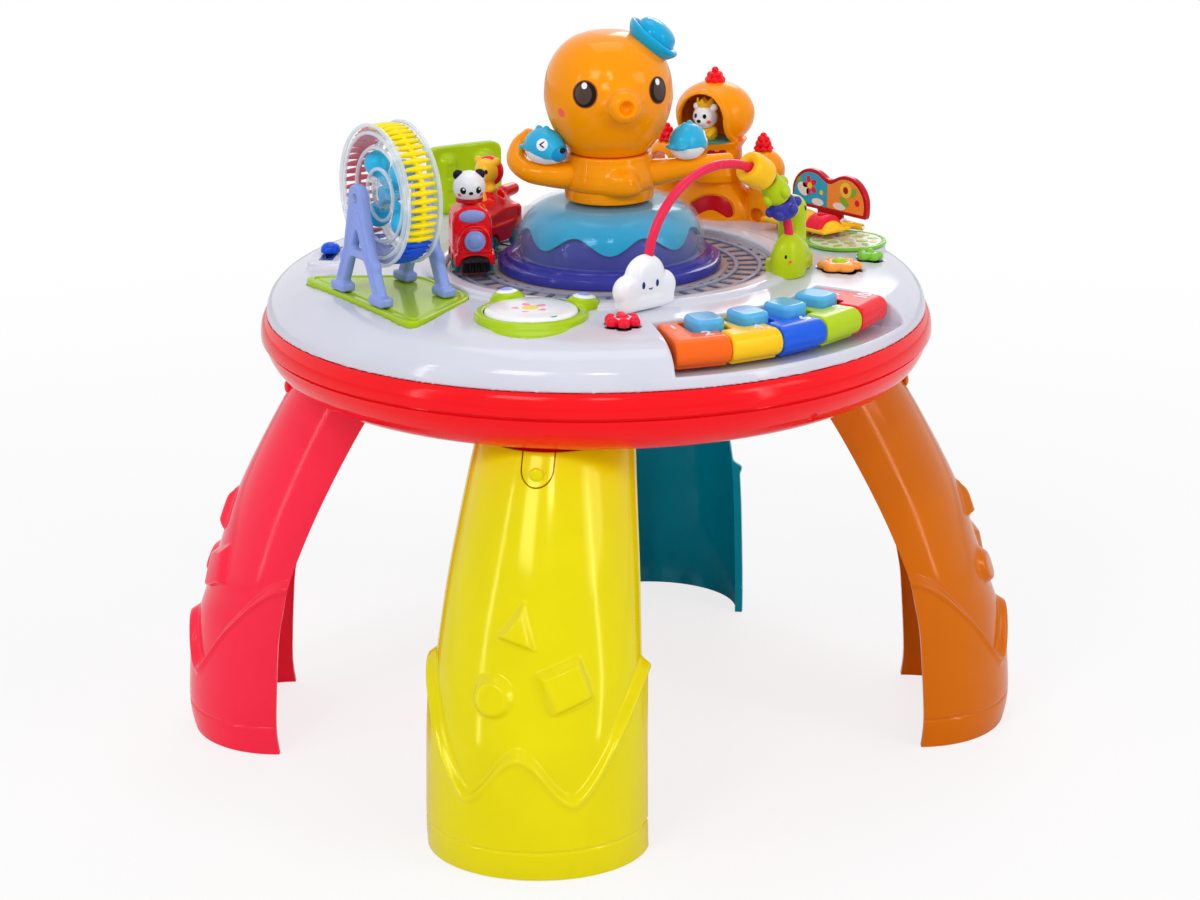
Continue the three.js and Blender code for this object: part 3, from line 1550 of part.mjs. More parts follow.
function drumFrame(group) {
  const { radius, pad_radius, frame_top, well_floor, rim_slope, eye_x, eye_y, eye_radius, eye_height,
      chin_reach } = drum;
  const low = deck.crown_height - overrun / 2;
  const rim = lathe([[0, low], [radius, low], [radius, frame_top - rim_slope], [radius - rim_slope,
      frame_top],
    [0, frame_top]], 24);
  const eyes = [-1, 1].map((side) => (
    ball(eye_radius, eye_radius, eye_height - low, eye_x, side * eye_y, low, 10, 8)));
  const chin = oval(chin_reach, chin_reach * drum.chin_width_share, low, frame_top - rim_slope / 2,
    radius - rim_slope, 0, 14);
  const well = post(pad_radius + drum.pad_gap, well_floor, frame_top + overrun, 0, 0, 24);
  const floor = block(-overrun * 2, overrun * 2, -overrun * 2, overrun * 2, bowl.base_height, low);
  return seated(union(rim, eyes, chin).subtract(floor), group).subtract(well)
    .subtract(post(drum.stem_radius + run_gap, low, well_floor + overrun, 0, 0, 10));
}

function drumPad() {
  const { pad_radius, pad_bottom, pad_top, stem_radius, stem_length, rim_slope } = drum;
  const face = lathe([[0, pad_bottom], [pad_radius, pad_bottom], [pad_radius, pad_top - rim_slope / 2],
    [pad_radius - rim_slope / 2, pad_top], [0, pad_top]], 24);
  return face.add(post(stem_radius, pad_bottom - stem_length, pad_bottom + rim_slope / 2, 0, 0, 10));
}

// Piano, about the middle of the table

function smallKeyAngle(boundary) {
  return piano.first_angle + piano.key_angle * boundary + piano.small_shift;
}

function smallKeyCentre(boundary) {
  return polar((piano.small_inner + piano.small_outer) / 2, smallKeyAngle(boundary));
}

function smallKeyShape(boundary, grow) {
  const half = (piano.small_outer - piano.small_inner) / 2 + grow;
  const width = piano.small_width / 2 + grow;
  const shape = roundedRectangle(half, width, width - piano.small_round,
      (piano.small_inner + piano.small_outer) / 2);
  return [shape, place(0, 0, 0, smallKeyAngle(boundary))];
}

function smallKey(boundary) {
  const [shape, matrix] = smallKeyShape(boundary, 0);
  const cap = moved(slab(shape, piano.small_bottom, piano.small_top, piano.small_round, 2), matrix);
  return cap.add(post(piano.stem_radius, piano.stem_foot, piano.small_bottom + piano.small_round,
    ...smallKeyCentre(boundary), 8));
}

function pianoKey(index) {
  const { key_angle, key_gap, back_radius, front_radius, key_bottom, key_top, front_round,
      front_slope } = piano;
  const gap_angle = THREE.MathUtils.radToDeg(key_gap / back_radius) / 2;
  const from = piano.first_angle + key_angle * index + gap_angle;
  const to = from + key_angle - 2 * gap_angle;
  const front = front_radius - front_slope;
  const ease = front_round * piano.front_round_share;
  const profile = lathe([[0, key_bottom], [front_radius, key_bottom], [front, key_top - front_round],
    [front - ease, key_top - ease], [front - front_round, key_top], [0, key_top]], key_segments);
  const cap = slab(sector(back_radius, front_radius + run_gap, from, to), key_bottom,
      key_top).intersect(profile);
  const lug = slab(sector(back_radius, back_radius + piano.lug_depth, from + gap_angle, to - gap_angle),
    piano.trough_floor + seat_gap, key_bottom + seat_gap);
  const boundaries = [index, index + 1].filter((each) => each > 0 && each < piano.key_count);
  const cuts = boundaries.map((boundary) => {
    const [shape, matrix] = smallKeyShape(boundary, piano.small_gap);
    return moved(slab(shape, piano.trough_floor, key_top + overrun, 0, 2), matrix);
  });
  return union(cap, lug).subtract(union(cuts));
}

// Flowers, disc, book, slider and back panel

function deckHeight(distance) {
  const points = deckProfile();
  const i = points.findIndex(([r]) => r <= distance);
  const [[r0, z0], [r1, z1]] = [points[i - 1], points[i]];
  return z0 + ((z1 - z0) * (distance - r0)) / (r1 - r0);
}

function flowerButton(one) {
  const foot = deckHeight(one.distance) + flower.lift;
  const top = foot + flower.rise - flower.dome / 2;
  const points = [];
  for (let i = 0; i < one.petals; i += 1) {
    const turn = (360 / one.petals) * i;
    points.push(polar(one.radius, turn - flower.petal_round), polar(one.radius, turn + flower.petal_round),
      polar(one.radius * flower.notch_share, turn + 180 / one.petals));
  }
  const core = one.radius * flower.core_share;
  const dome = ball(core, core, flower.dome, 0, 0, top, 10, 4).subtract(block(-core, core, -core, core,
      foot - overrun, foot));
  return union(slab(outline(points), foot, top, flower.round), dome,
    post(flower.stem_radius, foot - flower.stem_length, foot + flower.rise / 2, 0, 0, 8));
}

function pictureDisc() {
  const { radius, thickness, height, stem_radius, stem_length } = disc;
  const edge = thickness / 3;
  return lathe([[0, height - stem_length], [stem_radius, height - stem_length], [stem_radius, height],
      [radius, height],
    [radius, height + thickness - edge], [radius - edge, height + thickness], [0, height + thickness]], 24);
}

// The book's frame has its y axis on the hinge pin; heights are measured from the floor

function pinY(radius, from, to, sides = 10) {
  return solid(new THREE.CylinderGeometry(radius, radius, to - from, sides).translate(0, (from + to) / 2,
      book.axis_height));
}

function bookSpine(group) {
  const { half_width, spine_half, spine_start, barrel_radius, spine_foot, spine_top, cheek_radius } = book;
  const length = half_width - spine_start;
  const inner = half_width - book.cheek;
  const shape = roundedRectangle(spine_half, length / 2, spine_half / 2, 0, spine_start + length / 2);
  const base = slab(shape, spine_foot, spine_top).subtract(pinY(barrel_radius + run_gap, spine_start,
      inner, 12));
  const cheeks = [[inner, half_width], [spine_start, spine_start + book.inner_cheek]].map(([from, to]) => (
    pinY(cheek_radius, from, to, 12)
      .add(block(-cheek_radius, cheek_radius, from, to, spine_foot, book.axis_height))));
  return seated(union(base, cheeks).add(pinY(book.pin_radius, -book.barrel_outer, half_width, 8)), group);
}

function pinHole() {
  return pinY(book.pin_radius + book.pin_gap, -book.half_width - overrun, book.half_width + overrun, 8);
}

function pagePrinted() {
  const { half_width, page_thickness, page_bottom, page_top, neck_half, barrel_radius, axis_height } = book;
  const lobe = (page_top - page_bottom) / 2;
  const middle = page_bottom + lobe;
  const half = page_thickness / 2;
  const lobes = [-1, 1].map((side) => {
    const shape = new THREE.Shape();
    shape.absarc(side * (half_width - lobe), middle, lobe, 0, 2 * Math.PI);
    return alongX(shape, -half, half);
  });
  const centre = block(-half, half, lobe - half_width, half_width - lobe, page_bottom, page_top - lobe / 4);
  const neck = block(-half, half, -neck_half, neck_half, axis_height, page_bottom + half);
  return union(lobes, centre, neck, pinY(barrel_radius, -neck_half, neck_half)).subtract(pinHole());
}

function pageBee() {
  const { barrel_inner, barrel_outer, bee_near, bee_far, bee_bottom, bee_top, bee_corner, bee_arm,
      barrel_radius } = book;
  const half = (bee_far - bee_near) / 2;
  const middle = -(bee_far + bee_near) / 2;
  const page = slab(roundedRectangle(half, barrel_outer, bee_corner, middle), bee_bottom, bee_top, bee_arm);
  const low = book.axis_height - barrel_radius / 5;
  const arms = [-1, 1].map((side) => {
    const [from, to] = [side * barrel_inner, side * barrel_outer].sort((a, b) => a - b);
    return block(-bee_near - bee_arm, 0, from, to, low, book.axis_height + barrel_radius)
      .add(pinY(barrel_radius, from, to));
  });
  const feet = book.bee_feet.map((y) => (
    post(book.bee_foot_radius, deck.crown_height - deck.wall * 4, bee_bottom + bee_arm, middle, y, 10)));
  return union(page, arms, feet).subtract(pinHole());
}

function sliderKnob() {
  const { ledge_height, knob_radius, knob_height, stem_radius, stem_length } = slider;
  const foot = ledge_height + seat_gap;
  const rise = knob_height - foot;
  return lathe([[0, foot - stem_length], [stem_radius, foot - stem_length], [stem_radius, foot],
    [knob_radius, foot], [knob_radius, foot + rise * slider.waist_height_share],
    [knob_radius * slider.shoulder_radius_share, foot + rise * slider.shoulder_height_share],
    [knob_radius * slider.top_radius_share, knob_height], [0, knob_height]], 16);
}

function backPanel() {
  const { azimuth, radius, thickness, half_angle, top_height, base_height, bulge_radius, bulge_reach,
      bulge_top } = panel;
  const shape = sector(radius - thickness / 2, radius + thickness / 2, azimuth - half_angle,
      azimuth + half_angle);
  const parts = [slab(shape, base_height, top_height)];
  for (const side of [-1, 1]) {
    const at = azimuth + side * panel.bulge_angle;
    const [x, y] = polar(radius - bulge_reach, at);
    parts.push(post(bulge_radius, base_height, bulge_top, x, y, 12));
    parts.push(ball(bulge_radius, bulge_radius, bulge_radius / 2, x, y, bulge_top, 12, 4));
    const face = radius - bulge_reach - bulge_radius;
    const mark = block(face - panel.badge_rise, face + bulge_radius, -panel.badge, panel.badge,
      panel.badge_height - panel.badge, panel.badge_height + panel.badge);
    parts.push(moved(mark, place(0, 0, 0, at)));
  }
  return seated(union(parts), table);
}

// Assembly

const material = {
  bowl: finish(colours.bowl),
  deck: finish(colours.deck),
  track: finish(colours.track),
  purple: finish(colours.purple),
  wave: finish(colours.wave),
  clear: finish(colours.clear, 0.05, 0.35),
  yellow: finish(colours.yellow),
  pink: finish(colours.pink),
  orange_leg: finish(colours.orange_leg),
  teal: finish(colours.teal),
  green: finish(colours.green),
  blue: finish(colours.blue),
  orange: finish(colours.orange),
  hat: finish(colours.hat),
  red: finish(colours.red),
  white: finish(colours.white),
  royal: finish(colours.royal),
  sky: finish(colours.sky),
  board: finish(colours.board, 0.5),
  black: finish(colours.black, 0.6),
  bead: finish(colours.bead),
};

function addBase() {
  piece('bowl_shell', bowlShell(), material.bowl, table);
  piece('deck_shell', deckShell(), material.deck, table);
  piece('battery_door', batteryDoor(), material.bowl, table);
  piece('speaker', speakerBody(), material.black, table);
  piece('main_board', mainBoard(), material.board, table);
}

function addLegs() {
  const legs = [
    ['front_left', 180 + leg.azimuth, material.yellow],
    ['front_right', -leg.azimuth, material.orange_leg],
    ['rear_left', 180 - leg.azimuth, material.pink],
    ['rear_right', leg.azimuth, material.teal],
  ];
  const body = legBody();
  const tongue = latchTongue();
  for (const [name, azimuth, skin] of legs) {
    const group = groupAt(0, 0, azimuth);
    piece(`leg_${name}`, body, skin, group);
    piece(`latch_${name}`, tongue, skin, group);
  }
}

function addMiddle() {
  const centre = groupAt(toys.x, toys.y);
  piece('track_ring', trackRing(), material.track, centre);
  piece('plinth_ring', plinthRing(), material.purple, centre);
  piece('wave_insert', waveInsert(), material.wave, centre);
  piece('dome_cover', domeCover(), material.clear, centre);
  const creature = groupAt(toys.x, toys.y, octopus.facing);
  piece('octopus_body', octopusBody(), material.orange, creature);
  piece('octopus_head', octopusHead(), material.orange, creature);
  piece('octopus_hat', octopusHat(), material.hat, creature);
  piece('fish_left', moved(fishBody(), place(fish.left.x, fish.left.y, 0, fish.left.turn)),
      material.royal, creature);
  piece('fish_right', moved(fishBody(), place(fish.right.x, fish.right.y, 0, fish.right.turn)),
      material.royal, creature);
}

function addTrain() {
  const loco = groupAt(toys.x, toys.y, train.loco_angle);
  piece('loco_body', locoBody(), material.red, loco);
  piece('panda_figure', pandaFigure(), material.white, loco);
  const wagon = groupAt(toys.x, toys.y, train.wagon_angle);
  piece('wagon_body', wagonBody(), material.red, wagon);
  piece('lion_figure', lionFigure(), material.bead, wagon);
}

function addWheel() {
  const [x, y] = polar(wheel.distance, wheel.azimuth);
  const group = groupAt(x, y, wheel.azimuth, wheel.axle_height);
  piece('wheel_drum', wheelDrum(), material.clear, group);
  piece('rib_band', ribBand(), material.bead, group);
  piece('wheel_spinner', wheelSpinner(), material.wave, group);
  piece('wheel_stand_outer', wheelStand(1), material.blue, group);
  piece('wheel_stand_inner', wheelStand(-1), material.blue, group);
  piece('wheel_base_plate', wheelPlate(), material.green, groupAt(0, 0, wheel.azimuth));
}

function addCastle() {
  const group = groupAt(...polar(castle.distance, castle.azimuth), castle.azimuth);
  piece('castle_body', castleBody(group), material.orange, group);
  piece('bear_figure', bearFigure(), material.white, group);
}

function addArch() {
  piece('arch_rod', archRod(), material.pink, table);
  piece('arch_cloud', archCloud(), material.white, table);
  piece('arch_worm', archWorm(), material.green, table);
  piece('bead_yellow', onArch(barrel(beads.yellow), beads.yellow.at), material.bead, table);
  piece('bead_green', onArch(greenBead(), beads.green.at), material.green, table);
  piece('bead_purple', onArch(purpleBead(), beads.purple.at), material.purple, table);
}

function addPiano() {
  const skins = [material.orange, material.yellow, material.royal, material.green, material.red];
  skins.forEach((skin, i) => piece(`key_${i + 1}`, pianoKey(i), skin, table));
  for (let i = 1; i < piano.key_count; i += 1) piece(`small_key_${i}`, smallKey(i), material.sky, table);
}

function addButtons() {
  const drumGroup = groupAt(drum.x, drum.y, THREE.MathUtils.radToDeg(Math.atan2(drum.y, drum.x)));
  piece('drum_frame', drumFrame(drumGroup), material.green, drumGroup);
  piece('drum_pad', drumPad(), material.white, drumGroup);
  const skins = { red: material.red, orange: material.orange, green: material.green };
  for (const name of Object.keys(skins)) {
    const one = flower[name];
    piece(`flower_${name}`, flowerButton(one), skins[name], groupAt(...polar(one.distance, one.azimuth)));
  }
  piece('picture_disc', pictureDisc(), material.green, groupAt(disc.x, disc.y));
  const knob = groupAt(...polar(slider.distance, slider.azimuth), slider.azimuth);
  piece('slider_knob', sliderKnob(), material.royal, knob);
}

function addBook() {
  const group = groupAt(book.x, book.y);
  piece('book_spine', bookSpine(group), material.white, group);
  piece('page_printed', pagePrinted(), material.red, group);
  piece('page_bee', seated(pageBee(), group), material.bead, group);
  piece('back_panel', backPanel(), material.green, table);
}

addBase();
addLegs();
addMiddle();
addTrain();
addWheel();
addCastle();
addArch();
addPiano();
addButtons();
addBook();

export default table;
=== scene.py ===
import math

import bmesh
import bpy
import numpy as np
from bpy.props import FloatProperty, FloatVectorProperty, IntProperty, PointerProperty
from mathutils import Matrix, Vector


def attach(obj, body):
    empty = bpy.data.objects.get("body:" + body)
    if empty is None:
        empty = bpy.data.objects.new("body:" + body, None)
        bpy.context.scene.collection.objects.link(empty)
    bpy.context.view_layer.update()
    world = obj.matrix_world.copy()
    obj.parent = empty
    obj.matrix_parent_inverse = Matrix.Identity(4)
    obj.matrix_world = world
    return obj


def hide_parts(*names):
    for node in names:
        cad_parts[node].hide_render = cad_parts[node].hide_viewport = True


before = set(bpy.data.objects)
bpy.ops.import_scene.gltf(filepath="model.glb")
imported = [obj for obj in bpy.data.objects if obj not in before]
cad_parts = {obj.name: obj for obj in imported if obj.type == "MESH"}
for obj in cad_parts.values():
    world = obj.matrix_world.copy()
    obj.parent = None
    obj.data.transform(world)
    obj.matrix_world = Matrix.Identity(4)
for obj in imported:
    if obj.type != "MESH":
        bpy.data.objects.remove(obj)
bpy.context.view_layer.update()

bl_info = {
    "name": "Musical Activity Table",
    "version": (1, 0, 0),
    "blender": (4, 5, 0),
    "location": "3D View > Sidebar > Activity Table",
    "description": "Dresses the packed activity table: smooth mouldings, clear plastic and painted faces",
    "category": "Object",
}

# Lengths in this file are in millimetres and angles in degrees, until a mesh is made

MM = 0.001
TOY_X, TOY_Y = 7.5, -6.0  # the middle of the track and the octopus
COARSE = 1.0
BLOCK = 4


def sin(degrees):
    return math.sin(math.radians(degrees))


def cos(degrees):
    return math.cos(math.radians(degrees))


def polar(distance, azimuth):
    return distance * cos(azimuth), distance * sin(azimuth)


def at(x, y, z=0.0, turn=0.0):
    return Matrix.Translation((x, y, z)) @ Matrix.Rotation(math.radians(turn), 4, "Z")


# Distance shapes: each is a function of x, y and z arrays that is negative inside the solid


def ball(x0, y0, z0, rx, ry=None, rz=None):
    ry, rz = ry or rx, rz or rx

    def shape(x, y, z):
        u, v, w = (x - x0) / rx, (y - y0) / ry, (z - z0) / rz
        reach = np.sqrt(u * u + v * v + w * w)
        slope = np.sqrt((u / rx) ** 2 + (v / ry) ** 2 + (w / rz) ** 2)
        return reach * (reach - 1) / np.maximum(slope, 1e-6)
    return shape


def brick(x0, x1, y0, y1, z0, z1, round=0.0):
    middle = ((x0 + x1) / 2, (y0 + y1) / 2, (z0 + z1) / 2)
    half = ((x1 - x0) / 2 - round, (y1 - y0) / 2 - round, (z1 - z0) / 2 - round)

    def shape(x, y, z):
        gaps = [np.abs(c - m) - h for c, m, h in zip((x, y, z), middle, half)]
        outside = np.sqrt(sum(np.maximum(g, 0) ** 2 for g in gaps))
        return outside + np.minimum(np.maximum(np.maximum(gaps[0], gaps[1]), gaps[2]), 0) - round
    return shape


def rod(x0, y0, z0, radius, half, axis=2, round=0.0):
    def shape(*p):
        rest = [i for i in range(3) if i != axis]
        centre = (x0, y0, z0)
        away = np.sqrt(sum((p[i] - centre[i]) ** 2 for i in rest)) - (radius - round)
        along = np.abs(p[axis] - centre[axis]) - (half - round)
        outside = np.sqrt(np.maximum(away, 0) ** 2 + np.maximum(along, 0) ** 2)
        return outside + np.minimum(np.maximum(away, along), 0) - round
    return shape


def ring(x0, y0, z0, radius, thick, axis=2):
    def shape(*p):
        rest = [i for i in range(3) if i != axis]
        centre = (x0, y0, z0)
        away = np.sqrt(sum((p[i] - centre[i]) ** 2 for i in rest)) - radius
        return np.sqrt(away ** 2 + (p[axis] - centre[axis]) ** 2) - thick
    return shape


def limb(points, radii):
    points = [np.array(p, float) for p in points]

    def shape(x, y, z):
        best = None
        for a, b, ra, rb in zip(points, points[1:], radii, radii[1:]):
            ab = b - a
            t = ((x - a[0]) * ab[0] + (y - a[1]) * ab[1] + (z - a[2]) * ab[2]) / max(ab @ ab, 1e-9)
            t = np.clip(t, 0, 1)
            d = np.sqrt((x - a[0] - t * ab[0]) ** 2 + (y - a[1] - t * ab[1]) ** 2
                        + (z - a[2] - t * ab[2]) ** 2) - (ra + (rb - ra) * t)
            best = d if best is None else np.minimum(best, d)
        return best
    return shape


def flat_distance(points, x, y):
    """Distance in the plane to a closed outline, negative inside it."""
    count = len(points)
    nearest = np.full(np.shape(x), 1e9)
    inside = np.zeros(np.shape(x), bool)
    for i in range(count):
        (ax, ay), (bx, by) = points[i], points[(i + 1) % count]
        ex, ey = bx - ax, by - ay
        t = np.clip(((x - ax) * ex + (y - ay) * ey) / max(ex * ex + ey * ey, 1e-9), 0, 1)
        nearest = np.minimum(nearest, (x - ax - t * ex) ** 2 + (y - ay - t * ey) ** 2)
        if ay != by:
            crosses = ((ay > y) != (by > y)) & (x < ax + (y - ay) * ex / ey)
            inside ^= crosses
    nearest = np.sqrt(nearest)
    return np.where(inside, -nearest, nearest)


def prism(points, low, high, round=0.0, axes=(0, 1, 2)):
    """An outline in the first two axes, drawn out along the third, with rounded edges."""
    middle, half = (low + high) / 2, (high - low) / 2 - round

    def shape(*p):
        away = flat_distance(points, p[axes[0]], p[axes[1]]) + round
        along = np.abs(p[axes[2]] - middle) - half
        outside = np.sqrt(np.maximum(away, 0) ** 2 + np.maximum(along, 0) ** 2)
        return outside + np.minimum(np.maximum(away, along), 0) - round
    return shape


def soft_least(a, b, soft):
    if soft <= 0:
        return np.minimum(a, b)
    near = np.maximum(soft - np.abs(a - b), 0) / soft
    return np.minimum(a, b) - near * near * soft / 4


def join(*shapes, soft=0.0):
    def shape(x, y, z):
        total = shapes[0](x, y, z)
        for one in shapes[1:]:
            total = soft_least(total, one(x, y, z), soft)
        return total
    return shape


def cut(body, *tools, soft=0.0):
    def shape(x, y, z):
        total = body(x, y, z)
        for tool in tools:
            total = -soft_least(-total, tool(x, y, z), soft)
        return total
    return shape


def common(a, b, soft=0.0):
    return lambda x, y, z: -soft_least(-a(x, y, z), -b(x, y, z), soft)


def grown(body, by):
    return lambda x, y, z: body(x, y, z) - by


def below(height):
    return lambda x, y, z: z - height


def above(height):
    return lambda x, y, z: height - z


def placed(body, matrix):
    m = np.array(matrix.inverted())

    def shape(x, y, z):
        return body(*(m[i][0] * x + m[i][1] * y + m[i][2] * z + m[i][3] for i in range(3)))
    return shape


def both_sides(body, axis=1):
    def shape(*p):
        p = list(p)
        p[axis] = np.abs(p[axis])
        return body(*p)
    return shape


def around_axis(profile):
    """A closed outline in (distance, height), turned about z."""
    return lambda x, y, z: flat_distance(profile, np.sqrt(x * x + y * y), z)


# Meshes from distance shapes

CORNERS = [(i, j, k) for i in (0, 1) for j in (0, 1) for k in (0, 1)]
EDGES = [(a, b) for a in CORNERS for b in CORNERS if sum(b) - sum(a) == 1
         and sum(abs(p - q) for p, q in zip(a, b)) == 1]


def net(shape, low, high, step):
    """Vertices and quads of the shape's surface inside a box, at one grid step."""
    low = np.array(low, float)
    cells = np.ceil((np.array(high, float) - low) / (step * BLOCK)).astype(int)
    axes = [low[i] + step * np.arange(cells[i] * BLOCK + 1) for i in range(3)]
    rough = shape(*np.meshgrid(*[a[::BLOCK] for a in axes], indexing="ij"))
    picks = [np.rint(np.arange(len(a)) / BLOCK).astype(int) for a in axes]
    field = rough[np.ix_(*picks)].astype(np.float32)
    near = (np.abs(rough) < 1.7 * step * BLOCK)[np.ix_(*picks)]
    i, j, k = np.nonzero(near)
    field[i, j, k] = shape(axes[0][i], axes[1][j], axes[2][k])
    inside = field < 0
    size = np.array(field.shape)
    filled = sum(inside[a:size[0] - 1 + a, b:size[1] - 1 + b, c:size[2] - 1 + c].astype(np.int8)
                 for a, b, c in CORNERS)
    active = (filled > 0) & (filled < 8)
    number = np.full(active.shape, -1, np.int64)
    cell = np.argwhere(active)
    number[active] = np.arange(len(cell))
    total, hits = np.zeros((len(cell), 3)), np.zeros((len(cell), 1))
    for a, b in EDGES:
        a, b = np.array(a), np.array(b)
        da, db = field[tuple((cell + a).T)], field[tuple((cell + b).T)]
        crosses = (da < 0) != (db < 0)
        share = (da[crosses] / (da[crosses] - db[crosses]))[:, None]
        total[crosses] += a + share * (b - a)
        hits[crosses] += 1
    points = low + step * (cell + total / hits)
    for _ in range(3):
        points = settle(shape, points, step)
    quads = []
    for axis in range(3):
        one, two = [i for i in range(3) if i != axis]
        span = [slice(1, -1)] * 3
        span[axis] = slice(0, -1)
        ahead = list(span)
        ahead[axis] = slice(1, None)
        start, end = inside[tuple(span)], inside[tuple(ahead)]
        for flip in (False, True):
            hit = np.argwhere((start & ~end) if not flip else (~start & end))
            base = hit + np.array([0 if i == axis else 1 for i in range(3)])
            e1, e2 = np.eye(3, dtype=int)[one], np.eye(3, dtype=int)[two]
            loop = [base, base - e1, base - e1 - e2, base - e2]
            if flip != (axis == 1):
                loop.reverse()
            quads.append(np.stack([number[tuple(p.T)] for p in loop], 1))
    return points, np.concatenate(quads)


def settle(shape, points, step):
    """Moves points on to the surface, at most half a step."""
    x, y, z = points.T
    small = step / 20
    d = shape(x, y, z)
    slope = np.stack([(shape(x + small, y, z) - shape(x - small, y, z)),
                      (shape(x, y + small, z) - shape(x, y - small, z)),
                      (shape(x, y, z + small) - shape(x, y, z - small))], 1) / (2 * small)
    size = np.maximum((slope ** 2).sum(1), 0.05)
    move = -slope * (d / size)[:, None]
    length = np.sqrt((move ** 2).sum(1))
    return points + move * np.minimum(1, step / 2 / np.maximum(length, 1e-9))[:, None]


# Pieces


def smooth_mesh(mesh, crease=35):
    mesh.polygons.foreach_set("use_smooth", [True] * len(mesh.polygons))
    mesh.set_sharp_from_angle(angle=math.radians(crease))


def new_object(name, points, faces, place=None, crease=35):
    """An object from points in millimetres."""
    mesh = bpy.data.meshes.new(name)
    points = np.asarray(points, float)
    if place is not None:
        m = np.array(place)
        points = points @ m[:3, :3].T + m[:3, 3]
    faces = faces.tolist() if hasattr(faces, "tolist") else faces
    mesh.from_pydata((points * MM).tolist(), [], faces)
    mesh.validate()
    mesh.update()
    smooth_mesh(mesh, crease)
    obj = bpy.data.objects.new(name, mesh)
    bpy.context.scene.collection.objects.link(obj)
    return obj


def dress(obj, look, body, slot, *nodes):
    """Gives a piece its material and its body, and hides the nodes that it stands for; slot is not used."""
    looks = look if isinstance(look, (list, tuple)) else [look]
    obj.data.materials.clear()
    for one in looks:
        obj.data.materials.append(one)
    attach(obj, body)
    if nodes:
        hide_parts(*nodes)
    return obj


def sculpt(name, shape, low, high, step, place=None, crease=60):
    points, quads = net(shape, low, high, step * COARSE)
    if place is not None and place.is_negative:
        quads = quads[:, ::-1]
    return new_object(name, points, quads, place, crease)


def flow(points, per=8):
    """A smooth curve through points, as a list of points."""
    p = [np.array(q, float) for q in points]
    p = [2 * p[0] - p[1]] + p + [2 * p[-1] - p[-2]]
    out = []
    for i in range(1, len(p) - 2):
        for n in range(per):
            t = n / per
            out.append(0.5 * (2 * p[i] + (p[i + 1] - p[i - 1]) * t
                              + (2 * p[i - 1] - 5 * p[i] + 4 * p[i + 1] - p[i + 2]) * t * t
                              + (3 * p[i] - p[i - 1] - 3 * p[i + 1] + p[i + 2]) * t ** 3))
    out.append(p[-2])
    return out


def rounded(points, radius, steps=4):
    """An outline with its corners rounded; radius may be one number or one for each corner."""
    out = []
    count = len(points)
    for i in range(count):
        before, here, after = (np.array(points[(i + k) % count], float) for k in (-1, 0, 1))
        r = radius[i] if isinstance(radius, (list, tuple)) else radius
        u, v = before - here, after - here
        lu, lv = np.linalg.norm(u), np.linalg.norm(v)
        reach = min(r, 0.49 * lu, 0.49 * lv)
        if reach <= 0:
            out.append(here)
            continue
        a, b = here + u / lu * reach, here + v / lv * reach
        for n in range(steps + 1):
            t = n / steps
            out.append((1 - t) ** 2 * a + 2 * t * (1 - t) * here + t * t * b)
    return out


def lathe(name, profile, steps=160, place=None, closed=False, crease=35):
    """Turns a half profile of (radius, height) about z; closed joins its end to its start."""
    profile = [(float(r), float(z)) for r, z in profile]
    points, rows = [], []
    for r, z in profile:
        if r < 1e-6:
            rows.append([len(points)])
            points.append((0, 0, z))
        else:
            rows.append(list(range(len(points), len(points) + steps)))
            points.extend((*polar(r, 360 * i / steps), z) for i in range(steps))
    faces = []
    pairs = list(zip(rows, rows[1:])) + ([(rows[-1], rows[0])] if closed else [])
    for a, b in pairs:
        for i in range(steps):
            j = (i + 1) % steps
            loop = [a[i % len(a)], a[j % len(a)], b[j % len(b)], b[i % len(b)]]
            loop = [p for n, p in enumerate(loop) if p != loop[n - 1]]
            if len(loop) > 2:
                faces.append(loop)
    return new_object(name, points, faces, place, crease)


def tube(name, points, radii, sides=24, place=None, crease=35):
    """A round bar along points, closed at both ends with flat caps."""
    path = [np.array(p, float) for p in points]
    radii = list(radii) if hasattr(radii, "__len__") else [radii] * len(path)
    side = None
    verts, faces = [], []
    for i, p in enumerate(path):
        ahead = path[min(i + 1, len(path) - 1)] - path[max(i - 1, 0)]
        ahead /= np.linalg.norm(ahead)
        if side is None:
            side = np.cross(ahead, (0, 0, 1) if abs(ahead[2]) < 0.9 else (1, 0, 0))
        side = side - ahead * (side @ ahead)
        side /= np.linalg.norm(side)
        other = np.cross(ahead, side)
        for k in range(sides):
            turn = 360 * k / sides
            verts.append(p + radii[i] * (cos(turn) * side + sin(turn) * other))
    for i in range(len(path) - 1):
        for k in range(sides):
            n = (k + 1) % sides
            faces.append([i * sides + k, i * sides + n, (i + 1) * sides + n, (i + 1) * sides + k])
    faces.append(list(range(sides))[::-1])
    faces.append(list(range((len(path) - 1) * sides, len(path) * sides)))
    return new_object(name, verts, faces, place, crease)


def gather(name, objects):
    """One object from several, with their materials left out."""
    body = bmesh.new()
    for obj in objects:
        body.from_mesh(obj.data)
        mesh = obj.data
        bpy.data.objects.remove(obj)
        bpy.data.meshes.remove(mesh)
    mesh = bpy.data.meshes.new(name)
    body.to_mesh(mesh)
    body.free()
    smooth_mesh(mesh)
    obj = bpy.data.objects.new(name, mesh)
    bpy.context.scene.collection.objects.link(obj)
    return obj


